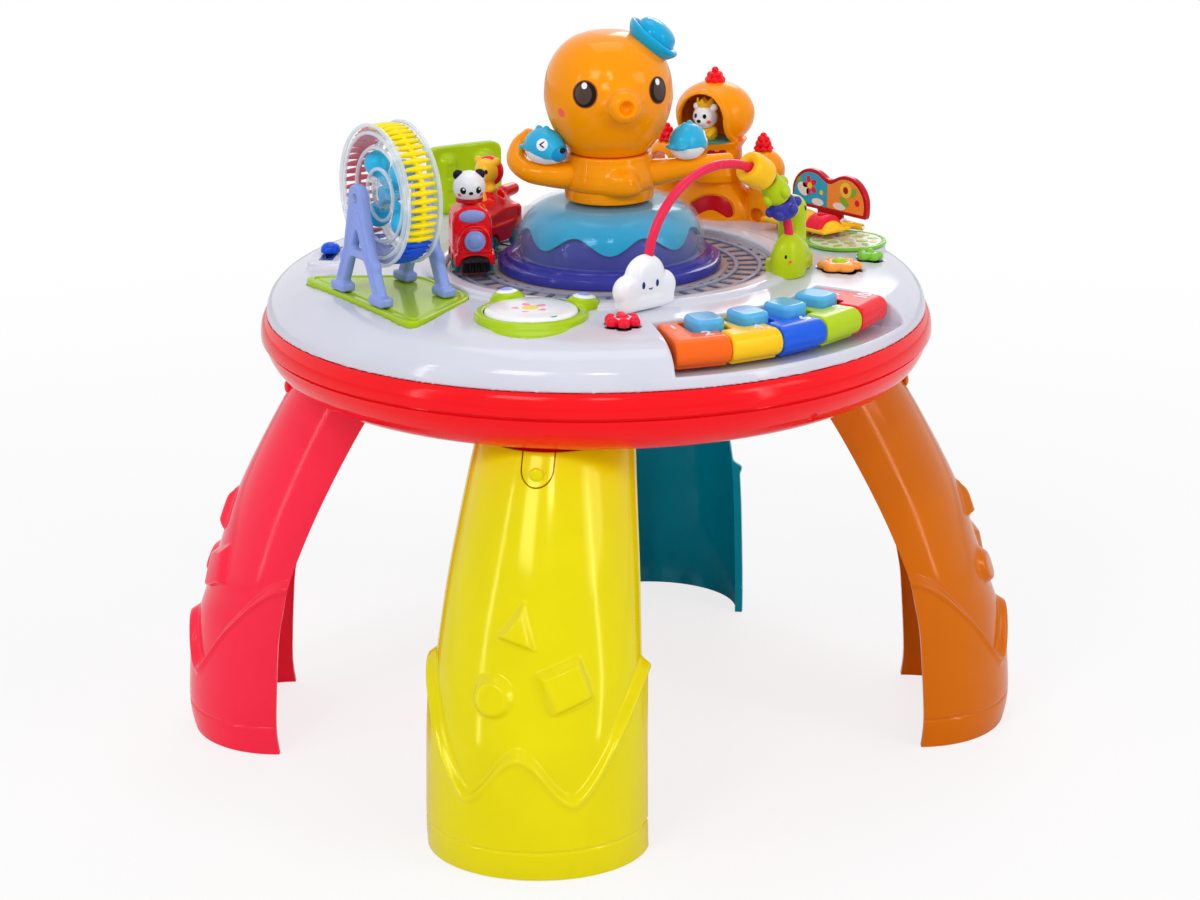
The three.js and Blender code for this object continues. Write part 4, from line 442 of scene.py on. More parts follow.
def carve(obj, tool, operation="DIFFERENCE"):
    """Cuts a piece with another, or joins them, and deletes the tool."""
    change = obj.modifiers.new("carve", "BOOLEAN")
    change.operation = operation
    change.solver = "EXACT"
    change.object = tool
    bpy.context.view_layer.update()
    result = bpy.data.meshes.new_from_object(obj.evaluated_get(bpy.context.evaluated_depsgraph_get()))
    obj.modifiers.clear()
    old = obj.data
    result.name = old.name
    obj.data = result
    bpy.data.meshes.remove(old)
    tool_mesh = tool.data
    bpy.data.objects.remove(tool)
    bpy.data.meshes.remove(tool_mesh)
    smooth_mesh(result)
    return obj


# Materials


def linear(hex_colour):
    """A written colour, such as f5121b, as the light it gives back."""
    parts = [int(hex_colour[i:i + 2], 16) / 255 for i in (0, 2, 4)]
    return tuple(p / 12.92 if p <= 0.04045 else ((p + 0.055) / 1.055) ** 2.4 for p in parts)


def new_look(name):
    look = bpy.data.materials.new(name)
    look.use_nodes = True
    nodes = look.node_tree.nodes
    return look, nodes, look.node_tree.links, nodes["Principled BSDF"]


def add_grain(nodes, links, shader, size, depth, rough, spread):
    """Fine moulding texture: a slight bump and a slightly uneven gloss, in the piece's own coordinates."""
    place = nodes.new("ShaderNodeTexCoord")
    fine = nodes.new("ShaderNodeTexNoise")
    fine.inputs["Scale"].default_value = 1 / size
    fine.inputs["Detail"].default_value = 3
    links.new(place.outputs["Object"], fine.inputs["Vector"])
    bump = nodes.new("ShaderNodeBump")
    bump.inputs["Strength"].default_value = depth
    bump.inputs["Distance"].default_value = 0.0002
    links.new(fine.outputs["Fac"], bump.inputs["Height"])
    links.new(bump.outputs["Normal"], shader.inputs["Normal"])
    broad = nodes.new("ShaderNodeTexNoise")
    broad.inputs["Scale"].default_value = 35
    broad.inputs["Detail"].default_value = 5
    links.new(place.outputs["Object"], broad.inputs["Vector"])
    even = nodes.new("ShaderNodeMapRange")
    even.inputs["From Min"].default_value = 0.3
    even.inputs["From Max"].default_value = 0.7
    even.inputs["To Min"].default_value = rough - spread
    even.inputs["To Max"].default_value = rough + spread
    links.new(broad.outputs["Fac"], even.inputs["Value"])
    links.new(even.outputs["Result"], shader.inputs["Roughness"])
    return place, broad


def add_tint(nodes, links, shader, colour, broad, change):
    """The pigment is a little uneven in the melt."""
    mix = nodes.new("ShaderNodeMix")
    mix.data_type = "RGBA"
    mix.inputs["A"].default_value = (*[c * (1 - change) for c in colour], 1)
    mix.inputs["B"].default_value = (*[min(1, c * (1 + change)) for c in colour], 1)
    links.new(broad.outputs["Fac"], mix.inputs["Factor"])
    links.new(mix.outputs["Result"], shader.inputs["Base Color"])


def moulded(name, colour, rough=0.13, grain=0.0009, depth=0.05, coat=0.0, change=0.05, soft=0.0,
    shine=0.42):
    """Glossy injection-moulded plastic; soft lets light into milky plastics."""
    look, nodes, links, shader = new_look(name)
    colour = tuple(colour)
    _, broad = add_grain(nodes, links, shader, grain, depth, rough, rough * 0.25)
    add_tint(nodes, links, shader, colour, broad, change)
    shader.inputs["IOR"].default_value = 1.5
    shader.inputs["Specular IOR Level"].default_value = shine
    shader.inputs["Specular Tint"].default_value = (*(0.72 * c + 0.28 for c in colour), 1)
    shader.inputs["Coat Weight"].default_value = coat
    shader.inputs["Coat Roughness"].default_value = 0.08
    if soft:
        shader.inputs["Subsurface Weight"].default_value = soft
        shader.inputs["Subsurface Radius"].default_value = (0.004, 0.004, 0.005)
        shader.inputs["Subsurface Scale"].default_value = 1
    look.diffuse_color = (*colour, 1)
    return look


def see_through(name, colour, clear=0.12, edge=0.65, rough=0.05):
    """Clear plastic: nearly invisible face on, denser where it is seen edge on."""
    look, nodes, links, shader = new_look(name)
    _, broad = add_grain(nodes, links, shader, 0.002, 0.03, rough, rough * 0.4)
    add_tint(nodes, links, shader, tuple(colour), broad, 0.03)
    shader.inputs["IOR"].default_value = 1.5
    shader.inputs["Coat Weight"].default_value = 0.6
    shader.inputs["Coat Roughness"].default_value = 0.03
    facing = nodes.new("ShaderNodeLayerWeight")
    facing.inputs["Blend"].default_value = 0.35
    dense = nodes.new("ShaderNodeMapRange")
    dense.inputs["To Min"].default_value = clear
    dense.inputs["To Max"].default_value = edge
    links.new(facing.outputs["Facing"], dense.inputs["Value"])
    links.new(dense.outputs["Result"], shader.inputs["Alpha"])
    look.diffuse_color = (*tuple(colour), 0.35)
    return look


looks = {}


def make_looks(tints):
    """One material for each finish of the table."""
    for key, colour in (("bowl", tints.bowl), ("deck", tints.deck),
                        ("plinth", tints.plinth), ("wave", tints.wave), ("yellow_leg", tints.yellow_leg),
                        ("orange_leg", tints.orange_leg), ("pink_leg", tints.pink_leg),
                        ("teal_leg", tints.teal_leg), ("orange", tints.orange), ("hat", tints.hat),
                        ("red", tints.red), ("white", tints.white), ("green", tints.green),
                        ("stand", tints.stand), ("royal", tints.royal), ("sky", tints.sky)):
        looks[key] = moulded(f"{key}_plastic", colour)
    extra = {
        "fish": "2fb0dc", "fish_tip": "1590c8", "rod": "e8284f", "worm": "b6cc12", "spin": "2fb6e4",
        "castle": "ff9800",
        "tread_yellow": "f7e000", "tread_blue": "1450d8", "tread_red": "e8223c", "orange_key": "ff6a1c",
        "yellow_key": "ffc814", "blue_key": "1f5fe0", "green_key": "b4d010", "red_key": "f01828",
        "ground": "a89a9c", "tie": "5a5c74", "rail": "9096ae", "dark_red": "c01020", "teal": "0f8f94",
        # The grey 4c3c36 is a painted reflection in the octopus's eyes.
        "lilac": "8fa6e6", "black": "17161a", "eye_reflection": "4c3c36", "iris_ring": "a0481c", "pupil": "1c100a",
        # The dark blue 1f3f78 is print on the cloud's face and also painted shade round the slider's slot.
        "cheek": "ff5f52", "pink": "ff8fa8", "gold": "ffc21a", "ink": "1f3f78", "leaf": "7fc23a",
        "grass": "3f9f9a", "apricot": "ff9a3c",
        "petal_red": "f01838", "sheet": "dfe4cc", "sheet_olive": "a9b86a", "sheet_leaf": "8fc24a",
        "sheet_tan": "cdb68a", "sheet_grey": "b9c4c4", "belly": "f2f4f8", "sun": "ffd640",
    }
    for key, colour in extra.items():
        looks[key] = moulded(f"{key}_paint", linear(colour), rough=0.24)
    looks["cloud"] = moulded("cloud_plastic", linear("f3f4f8"), rough=0.16, soft=0.35)
    looks["lion"] = moulded("lion_plastic", linear("ffc22e"))
    looks["clear"] = see_through("clear_plastic", linear("cfe6f4"), 0.02, 0.22)
    looks["clear_wheel"] = see_through("clear_wheel_plastic", linear("eef4fa"), 0.04, 0.4)
    looks["clear_rim"] = see_through("clear_rim_plastic", linear("e6eef6"), 0.35, 0.85)
    looks["board"] = moulded("board_laminate", linear("1e6b3a"), rough=0.45, coat=0, grain=0.0006,
        depth=0.3)
    looks["cone"] = moulded("speaker_paper", linear("202024"), rough=0.6, coat=0, grain=0.0005, depth=0.5)


# Stage


def sight():
    """The camera's place and its directions, found from the photograph's perspective."""
    place = Vector((-1.36477, -1.62647, 0.84956))
    right = Vector((0.76382, -0.64538, -0.00817))
    up = Vector((0.19577, 0.21959, 0.95575))
    ahead = Vector((0.61503, 0.73162, -0.29407))
    return place, right, up, ahead


def panel_light(name, where, target, size, power, colour=(1, 1, 1)):
    light = bpy.data.lights.new(name, "AREA")
    light.shape = "RECTANGLE"
    light.size, light.size_y = size
    light.energy = power
    light.color = colour
    obj = bpy.data.objects.new(name, light)
    bpy.context.scene.collection.objects.link(obj)
    obj.location = where
    aim = (Vector(target) - Vector(where)).normalized()
    obj.rotation_euler = aim.to_track_quat("-Z", "Y").to_euler()
    return obj


SENSOR_WIDTH = 36
LENS_LENGTH = 95.48
FLOOR_REACH = 6000


def build_stage(sizes):
    scene = bpy.context.scene
    scene.view_settings.view_transform = "Standard"
    place, right, up, ahead = sight()
    camera = bpy.data.cameras.new("camera")
    camera.sensor_width = SENSOR_WIDTH
    camera.lens = LENS_LENGTH
    camera.clip_end = 50
    holder = bpy.data.objects.new("camera", camera)
    scene.collection.objects.link(holder)
    holder.matrix_world = Matrix((
        (right.x, up.x, -ahead.x, place.x), (right.y, up.y, -ahead.y, place.y),
        (right.z, up.z, -ahead.z, place.z), (0, 0, 0, 1)))
    scene.camera = holder

    corners = ((-1, -1), (1, -1), (1, 1), (-1, 1))
    floor = new_object("floor", [(FLOOR_REACH * x, FLOOR_REACH * y, -0.5) for x, y in corners], [[0, 1, 2,
        3]])
    look, nodes, links, shader = new_look("pale_floor")
    shader.inputs["Roughness"].default_value = 0.9
    shader.inputs["Base Color"].default_value = (0.9, 0.9, 0.9, 1)
    shader.inputs["Specular IOR Level"].default_value = 0.0
    white = nodes.new("ShaderNodeEmission")
    white.inputs["Strength"].default_value = 1
    path = nodes.new("ShaderNodeLightPath")
    place_on_floor = nodes.new("ShaderNodeTexCoord")
    away = nodes.new("ShaderNodeVectorMath")
    away.operation = "LENGTH"
    links.new(place_on_floor.outputs["Object"], away.inputs[0])
    fade = nodes.new("ShaderNodeMapRange")
    fade.interpolation_type = "SMOOTHSTEP"
    fade.inputs["From Min"].default_value = 0.35
    fade.inputs["From Max"].default_value = 1.6
    fade.inputs["To Min"].default_value = sizes.floor_glow
    fade.inputs["To Max"].default_value = 1
    links.new(away.outputs["Value"], fade.inputs["Value"])
    share = nodes.new("ShaderNodeMath")
    share.operation = "MULTIPLY"
    links.new(fade.outputs["Result"], share.inputs[1])
    links.new(path.outputs["Is Camera Ray"], share.inputs[0])
    mix = nodes.new("ShaderNodeMixShader")
    links.new(share.outputs["Value"], mix.inputs["Fac"])
    links.new(shader.outputs["BSDF"], mix.inputs[1])
    links.new(white.outputs["Emission"], mix.inputs[2])
    links.new(mix.outputs["Shader"], nodes["Material Output"].inputs["Surface"])
    floor.data.materials.append(look)

    world = bpy.data.worlds.new("studio")
    scene.world = world
    world.use_nodes = True
    nodes, links = world.node_tree.nodes, world.node_tree.links
    soft = nodes["Background"]
    soft.inputs["Color"].default_value = (0.95, 0.97, 1, 1)
    soft.inputs["Strength"].default_value = 0.5
    bright = nodes.new("ShaderNodeBackground")
    bright.inputs["Color"].default_value = (1, 1, 1, 1)
    bright.inputs["Strength"].default_value = 1
    path = nodes.new("ShaderNodeLightPath")
    seen = nodes.new("ShaderNodeMath")
    seen.operation = "MAXIMUM"
    clear = nodes.new("ShaderNodeMath")
    clear.operation = "MAXIMUM"
    links.new(path.outputs["Is Camera Ray"], seen.inputs[0])
    links.new(path.outputs["Is Glossy Ray"], seen.inputs[1])
    links.new(seen.outputs["Value"], clear.inputs[0])
    links.new(path.outputs["Is Transmission Ray"], clear.inputs[1])
    mix = nodes.new("ShaderNodeMixShader")
    links.new(clear.outputs["Value"], mix.inputs["Fac"])
    links.new(soft.outputs["Background"], mix.inputs[1])
    links.new(bright.outputs["Background"], mix.inputs[2])
    links.new(mix.outputs["Shader"], nodes["World Output"].inputs["Surface"])

    middle = (0, 0, 0.3)
    panel_light("key_light", (-2.2, -0.9, 2.1), middle, (0.8, 0.8), 19)
    panel_light("fill_light", (0.9, -2.4, 1.5), middle, (1.2, 0.8), 11.5)
    panel_light("top_light", (0.3, 0.4, 2.6), middle, (1.4, 1.4), 12)
    panel_light("rim_light", (1.9, 1.5, 1.5), middle, (0.9, 0.9), 8)
    panel_light("left_strip", (-2.3, 0.35, 0.9), middle, (0.13, 1.5), 6)
    panel_light("right_strip", (0.6, -2.3, 0.8), middle, (0.13, 1.5), 7)
    panel_light("window_light", (-1.5, -1.9, 2.3), middle, (0.34, 0.34), 8)


# Bowl and deck


def bowl_curve(inset=0.0):
    lower = flow([(0, 255), (110, 255), (150, 255.1), (178, 255.6), (198, 257.6), (212, 262.3),
                  (220.6, 269.5), (225.2, 277), (227.2, 283.6)], 6)[6:]
    rim = [(225.9, 284.4), (225.7, 285.6), (226.4, 286.2), (229.2, 286.3), (229.8, 286.7), (230, 287.6),
        (229.9, 292), (229.2, 296.5), (227.6, 300.4),
           (225.9, 302)]
    return [(max(r - inset, 0), z + inset * (0.9 if z < 270 else 0)) for r,
        z in [tuple(p) for p in lower] + rim]


def build_bowl(sizes):
    outside = [(0, 255)] + bowl_curve()
    inside = bowl_curve(2.8)[::-1] + [(0, 257.8)]
    shell = lathe("bowl", outside + inside, 256)
    for distance, azimuth in bowl_dents:
        height, slope = bowl_slope(distance)
        away = 1.7 / math.hypot(slope, 1)
        spot = at(0, 0, 0, azimuth) @ at(distance + away * slope, 0, height - away)
        carve(shell, sculpt("dent", ball(0, 0, 0, 3.7), (-5, -5, -5), (5, 5, 5), 0.7, spot))
    for i in range(5):
        x, y = polar(11, 72 * i)
        carve(shell, sculpt("sound_hole", rod(0, -96, 256, 2.2, 6), (-3, -99, 249), (3, -93, 263), 0.6,
                            at(x, y)))
    pocket = cut(brick(-39.5, 39.5, 62.5, 121.5, 255.05, 279, 1), brick(-35, 35, 67, 117, 240, 276.5, 1))
    pocket = cut(pocket, brick(-38.3, 38.3, 63.7, 120.3, 240, 256.7))
    carve(shell, sculpt("opening", brick(-38.3, 38.3, 63.7, 120.3, 240, 260), (-40, 62, 250), (40, 122,
        262), 2))
    parts = [shell, sculpt("pocket", pocket, (-42, 60, 254), (42, 124, 281), 1.4)]
    for azimuth in leg_azimuths.values():
        parts.append(leg_wall_object("stub", 5.4, 8, 235, 258, 67.5, 40, 8, at(0, 0, 0, azimuth)))
    bowl = gather("bowl", parts)
    dress(bowl, looks["bowl"], "table", "bowl_red", "bowl_shell")


bowl_dents = [(205, -144), (205, -106.5), (221.6, -91.5), (205, 36), (205, 73.5), (221.6, 88.5)]


def bowl_slope(distance):
    """Height and steepness of the bowl's outside at a distance from its axis."""
    points = bowl_curve()
    for (r0, z0), (r1, z1) in zip(points, points[1:]):
        if r0 <= distance <= r1:
            return z0 + (z1 - z0) * (distance - r0) / (r1 - r0), (z1 - z0) / (r1 - r0)
    return points[-1][1], 0


deck_curve = [(225.6, 302.3), (225.4, 305.6), (224.4, 310), (221.4, 316), (214.6, 322.4), (203.9, 326.7),
    (190, 329),
              (160, 330.3), (125, 331), (0, 331)]


_dense = np.array(sorted([tuple(p) for p in flow(deck_curve, 10)]))
_dense = _dense[np.concatenate([[True], np.diff(_dense[:, 0]) > 1e-3])]
deck_r, deck_z = _dense[:, 0], _dense[:, 1]
TABLE_STEP = 0.5
_table_r, _table_z = np.meshgrid(np.arange(0, 240, TABLE_STEP), np.arange(280, 362, TABLE_STEP),
    indexing="ij")
deck_table = flat_distance([(0, 270), (225.6, 270)] + [(r, z) for r, z in zip(deck_r[::-1], deck_z[::-1])],
                           _table_r, _table_z)


def deck_top(x, y, z):
    """Distance to the deck's domed top, from a table over distance and height."""
    u = np.clip(np.sqrt(x * x + y * y) / TABLE_STEP, 0, deck_table.shape[0] - 1.001)
    v = np.clip((z - 280) / TABLE_STEP, 0, deck_table.shape[1] - 1.001)
    i, j = u.astype(int), v.astype(int)
    u, v = u - i, v - j
    return ((1 - u) * (1 - v) * deck_table[i, j] + u * (1 - v) * deck_table[i + 1, j]
            + (1 - u) * v * deck_table[i, j + 1] + u * v * deck_table[i + 1, j + 1])


def height_on_deck(x, y):
    return float(np.interp(math.hypot(x, y), deck_r, deck_z))


def wedge(inner, outer, start, end):
    """Distance in plan to a sector between two azimuths, about the middle of the table."""
    middle, half = (start + end) / 2, (end - start) / 2

    def shape(x, y, z):
        u = x * cos(middle) + y * sin(middle)
        v = np.abs(-x * sin(middle) + y * cos(middle))
        away = np.sqrt(x * x + y * y)
        side = v * cos(half) - u * sin(half)
        return np.maximum(np.maximum(inner - away, away - outer), side)
    return shape


def plate_outline(grow=0.0):
    ix, iy = polar(122.5 - grow, 16.8)
    ox, oy = polar(203 + grow, 22.6)
    points = [(ix, -iy - grow), (ox, -oy - grow), (ox, oy + grow), (ix, iy + grow)]
    return rounded(points, 16 + grow, 8)


TROUGH_START, TROUGH_END = -117.3, -64.4


DRUM_PLACE = (-124, -83)
DRUM_TURN = -146.2
DISC_PLACE = (167.5, -73)
BOOK_PLACE = (191, -34)


def deck_shape(sizes):
    track_ridge = around_axis([(111.6, 318), (128.2, 318), (128, 333), (124, 334.3), (116, 334.3), (112.2,
        333.6)])
    ridge = placed(grown(track_ridge, -0.2), at(TOY_X, TOY_Y))
    body = join(common(deck_top, above(302.3)), ridge, soft=3)
    drum_pocket = rod(*DRUM_PLACE, 345, 37.6, 14.1)
    body = cut(body, drum_pocket, soft=0.6)
    boss = rod(*DISC_PLACE, 322, 28, 8.4, round=0.8)
    ledge = placed(brick(-12, 12, -25, 25, 318, 334, 2.2), at(*polar(184, 133.8), 0, 133.8))
    body = join(body, boss, soft=1.5)
    body = join(body, ledge, soft=3)
    well = placed(rod(0, 0, 346, 112, 20.3), at(TOY_X, TOY_Y))
    key_zone = common(wedge(161.2, 300, TROUGH_START, TROUGH_END), above(306.5))
    key_zone = cut(key_zone, common(wedge(221, 300, -130, -50), below(310)))
    pocket = placed(prism(plate_outline(0.3), 325.7, 350), at(0, 0, 0, 172.4))
    body = cut(body, well, soft=0.8)
    body = cut(body, key_zone, soft=1.6)
    body = cut(body, pocket, soft=0.8)
    return body


# Name, look, distance and azimuth of the centre, radius, petals, top, share of a petal, softness
flower_list = (("flower_red", "petal_red", 165.5, -124.2, 12.2, 6, 337.8, 0.33, 0.8),
               ("flower_orange", "apricot", 167, -47.2, 15.3, 6, 338, 0.4, 2),
               ("flower_green", "leaf", 189, -37, 9.5, 5, 336.8, 0.4, 2))
HEART_SHARE = 0.55
WELL_GAP = 0.5


def flower_well(radius, azimuth, size, petals, share, soft):
    """Upright hole in the outline of a flower button, with room to press it in."""
    petal = size * share
    lobes = [rod(*polar(size - petal, 360 * n / petals), 320, petal + WELL_GAP, 30) for n in range(petals)]
    heart = rod(0, 0, 320, size * HEART_SHARE + WELL_GAP, 30)
    return placed(join(*lobes, heart, soft=soft), at(*polar(radius, azimuth), 0, azimuth))


def stem_holes():
    holes = [flower_well(radius, azimuth, size, petals, share, soft)
             for _, _, radius, azimuth, size, petals, _, share, soft in flower_list]
    holes += [rod(*DISC_PLACE, 320, 4.5, 30), rod(*DRUM_PLACE, 320, 31, 30), rod(TOY_X, TOY_Y, 320, 56, 60)]
    holes += [rod(*polar(179.75, -116.4 + 10.2 * i - 1.4), 300, 4.1, 20) for i in range(1, 5)]
    holes.append(placed(brick(-2.7, 2.7, -15, 15, 300, 350, 2.4), at(*polar(184, 133.8), 0, 133.8)))
    return holes


def build_deck(sizes):
    solid = deck_shape(sizes)
    shell = cut(solid, common(grown(solid, -2.6), below(345)), *stem_holes())
    deck = sculpt("deck", shell, (-228, -228, 299), (228, 228, 341), 1.4 / COARSE)
    dress(deck, looks["deck"], "table", "deck_white", "deck_shell")


# Legs: half tubes, drawn with x pointing outwards

leg_azimuths = {"front_left": 219.6, "front_right": -39.6, "rear_left": 140.4, "rear_right": 39.6}
leg_rise = 262.0
LEG_OUTER, LEG_TIP, LEG_HALF_WIDTH = 293, 224.6, 69.8
BADGE_RADIUS, BADGE_RISE, SKIRT_RISE = 62, 5.4, 4.2
LEG_SINK = 1.7
leg_heights = [0, 0.076, 0.31, 0.36, 0.42, 0.485, 0.66, 0.86, 1]
leg_outer = [0.975, 0.987, 0.971, 0.955, 0.9386, 0.918, 0.862, 0.77, 0.695]
leg_tip = [0.992, 1, 0.983, 0.972, 0.9595, 0.9386, 0.8504, 0.7257, 0.619]
leg_half = [1, 1, 0.992, 0.99, 0.986, 0.975, 0.918, 0.823, 0.75]


def smooth_table(values):
    dense = np.array([tuple(p) for p in flow(list(zip(leg_heights, values)), 12)])
    share = np.linspace(0, 1, 201)
    kernel = np.hanning(27)[1:-1]
    even = np.pad(np.interp(share, dense[:, 0], dense[:, 1]), 12, mode="reflect", reflect_type="odd")
    return share, np.convolve(even, kernel / kernel.sum(), "valid")


leg_tables = [smooth_table(v) for v in (leg_outer, leg_tip, leg_half)]


def skirt_top(around):
    turn = np.abs(around)
    wave = 54 + 30 * (1 + np.cos(np.pi * turn / 29.5)) / 2
    climb = 54 + 70 * np.sin(np.pi / 2 * np.clip((turn - 29.5) / 60.5, 0, 1)) ** 1.35
    return np.where(turn < 29.5, wave, climb)


def smoothstep(value, low, high):
    t = np.clip((value - low) / (high - low), 0, 1)
    return t * t * (3 - 2 * t)


def leg_surface(around, height, offset):
    """Points of the leg's surface, pushed out by an offset."""
    share = height / leg_rise
    outer, tip, half = [np.interp(share, *table) for table in leg_tables]
    outer, tip, half = LEG_OUTER * outer, LEG_TIP * tip, LEG_HALF_WIDTH * half
    turn = np.radians(around)
    return np.stack([tip + (outer - tip + offset) * np.cos(turn), (half + offset) * np.sin(turn), height],
        -1)


def leg_relief(around, height):
    """How far the leg's outside stands out: the wavy skirt with its rolled edge, and the badges."""
    gap = skirt_top(around) - height
    rise = SKIRT_RISE * smoothstep(gap, -3.4, 2.6) + 1.9 * np.exp(-((gap - 3.6) / 3) ** 2)
    for angle, middle, kind in badges:
        u, v = (around - angle) * math.radians(1) * BADGE_RADIUS, height - middle
        edge = flat_distance(kind, u, v)
        rise = rise + BADGE_RISE * smoothstep(-edge, -1.4, 4.6)
    rise = rise - 0.8 * np.exp(-((height - 20) / 0.9) ** 2)
    return rise - LEG_SINK


def turned_outline(points, turn):
    return [(x * cos(turn) - y * sin(turn), x * sin(turn) + y * cos(turn)) for x, y in points]


# Azimuth on the leg, height and outline of the cast triangle, circle and square
badges = [
    (-1, 156, rounded([(0, 17.5), (-16.6, -4.9), (9.1, -12.6)], 2.5, 4)),
    (-16, 115.5, [polar(13, 10 * i) for i in range(36)]),
    (24, 123, rounded(turned_outline([(-14, -14), (14, -14), (14, 14), (-14, 14)], 22), 3, 4)),
]


def wall_object(name, outside, inside, place):
    """A closed wall between two grids of points."""
    rows, columns = outside.shape[:2]
    points = np.concatenate([outside.reshape(-1, 3), inside.reshape(-1, 3)])
    index = np.arange(rows * columns).reshape(rows, columns)
    back = index + rows * columns

    def quads(a, b, c, d):
        return np.stack([a.ravel(), b.ravel(), c.ravel(), d.ravel()], 1)
    faces = [quads(index[:-1, :-1], index[:-1, 1:], index[1:, 1:], index[1:, :-1]),
             quads(back[:-1, :-1], back[1:, :-1], back[1:, 1:], back[:-1, 1:]),
             quads(index[0, :-1], back[0, :-1], back[0, 1:], index[0, 1:]),
             quads(index[-1, :-1], index[-1, 1:], back[-1, 1:], back[-1, :-1]),
             quads(index[:-1, 0], index[1:, 0], back[1:, 0], back[:-1, 0]),
             quads(index[:-1, -1], back[:-1, -1], back[1:, -1], index[1:, -1])]
    return new_object(name, points, np.concatenate(faces), place)


def leg_wall_object(name, near, far, low, high, half_angle, columns, rows, place, relief=False):
    around = np.linspace(-half_angle, half_angle, columns)[None, :]
    height = np.linspace(low, high, rows)[:, None]
    around, height = np.broadcast_arrays(around, height)
    rise = leg_relief(around, height) if relief else 0
    return wall_object(name, leg_surface(around, height, rise - near), leg_surface(around, height, -far),
        place)


def latch_tool(grow, name="latch_tool"):
    half = 10 + grow
    outline = [(-half, 270), (-half, 247.5)]
    outline += [(half * cos(a), 247.5 + half * sin(a)) for a in range(190, 360, 10)]
    outline += [(half, 247.5), (half, 270)]
    points = [(x, y, z) for x in (150, 230) for y, z in outline]
    count = len(outline)
    faces = [list(range(count))[::-1], list(range(count, 2 * count))]
    faces += [[i, (i + 1) % count, (i + 1) % count + count, i + count] for i in range(count)]
    return new_object(name, points, faces)


def build_legs(sizes):
    top = 257.0
    leg = leg_wall_object("leg", 0, 3, 0, top, 90, 210, 300, None, True)
    bowl_under = lathe("bowl_under", [(0, 300)] + [(0, 254.7)] + [(r + 0.3, z - 0.3) for r,
        z in bowl_curve()[1:]]
                       + [(226.2, 300)], 96)
    carve(leg, bowl_under)
    tongue = new_object("tongue", [], [])
    tongue.data = leg.data.copy()
    carve(leg, latch_tool(0.9))
    carve(tongue, latch_tool(0), "INTERSECT")
    button = sculpt("button", ball(0, 0, 0, 2.4, 4.6, 4.6), (-3, -5, -5), (3, 5, 5), 0.5,
                    Matrix.Translation(tuple(leg_surface(np.array(0.0), np.array(245.0), 0.0))))
    tongue = gather("tongue", [tongue, button])
    colours = {"front_left": "yellow_leg", "front_right": "orange_leg", "rear_left": "pink_leg",
               "rear_right": "teal_leg"}
    slots = {"front_left": "leg_yellow", "front_right": "leg_orange", "rear_left": "leg_pink",
             "rear_right": "leg_teal"}
    for side, azimuth in leg_azimuths.items():
        turn = Matrix.Rotation(math.radians(azimuth), 4, "Z")
        for source, name, body, node in ((leg, f"{side}_leg", "table", f"leg_{side}"),
                                         (tongue, f"{side}_latch", f"latch_{side}", f"latch_{side}")):
            mesh = source.data.copy()
            mesh.transform(turn)
            obj = bpy.data.objects.new(name, mesh)
            bpy.context.scene.collection.objects.link(obj)
            dress(obj, looks[colours[side]], body, slots[side], node)
    for source in (leg, tongue):
        bpy.data.objects.remove(source)


# Track and plinth


def in_toys(turn=0.0):
    return at(TOY_X, TOY_Y, 0, turn)


def bar(points, low, high):
    """The points and faces of an upright block over an outline."""
    count = len(points)
    verts = [(x, y, low) for x, y in points] + [(x, y, high) for x, y in points]
    faces = [list(range(count))[::-1], list(range(count, 2 * count))]
    faces += [[i, (i + 1) % count, (i + 1) % count + count, i + count] for i in range(count)]
    return verts, faces


def build_track(sizes):
    bed = lathe("track_bed", [(66, 326), (111.6, 326), (111.6, 329.0), (111.2, 329.3), (109.5, 329.3),
                              (109, 328.4), (81, 328.4), (80.5, 329.3), (66, 329.3)], 192, in_toys(), True)
    dress(bed, looks["ground"], "table", "track_grey", "track_ring")
    verts, faces = [], []
    for i in range(sizes.ties):
        turn = 360 * i / sizes.ties
        outline = turned_outline(rounded([(81.6, -1.5), (108.4, -1.5), (108.4, 1.5), (81.6, 1.5)], 0.6,
            2), turn)
        v, f = bar(outline, 328, 329.2)
        faces += [[n + len(verts) for n in face] for face in f]
        verts += v
    ties = new_object("track_ties", verts, faces, in_toys())
    dress(ties, looks["tie"], "table", "track_grey")
    rails = []
    for middle in (87, 103):
        rails.append(lathe("rail", [(middle - 1.6, 328.2), (middle - 1.5, 329.9), (middle - 1, 330.3),
                                    (middle + 1, 330.3), (middle + 1.5, 329.9), (middle + 1.6, 328.2)],
                           192, in_toys(), True))
    dress(gather("track_rails", rails), looks["rail"], "table", "track_grey")


SHOULDER = 26
WAVES = 8


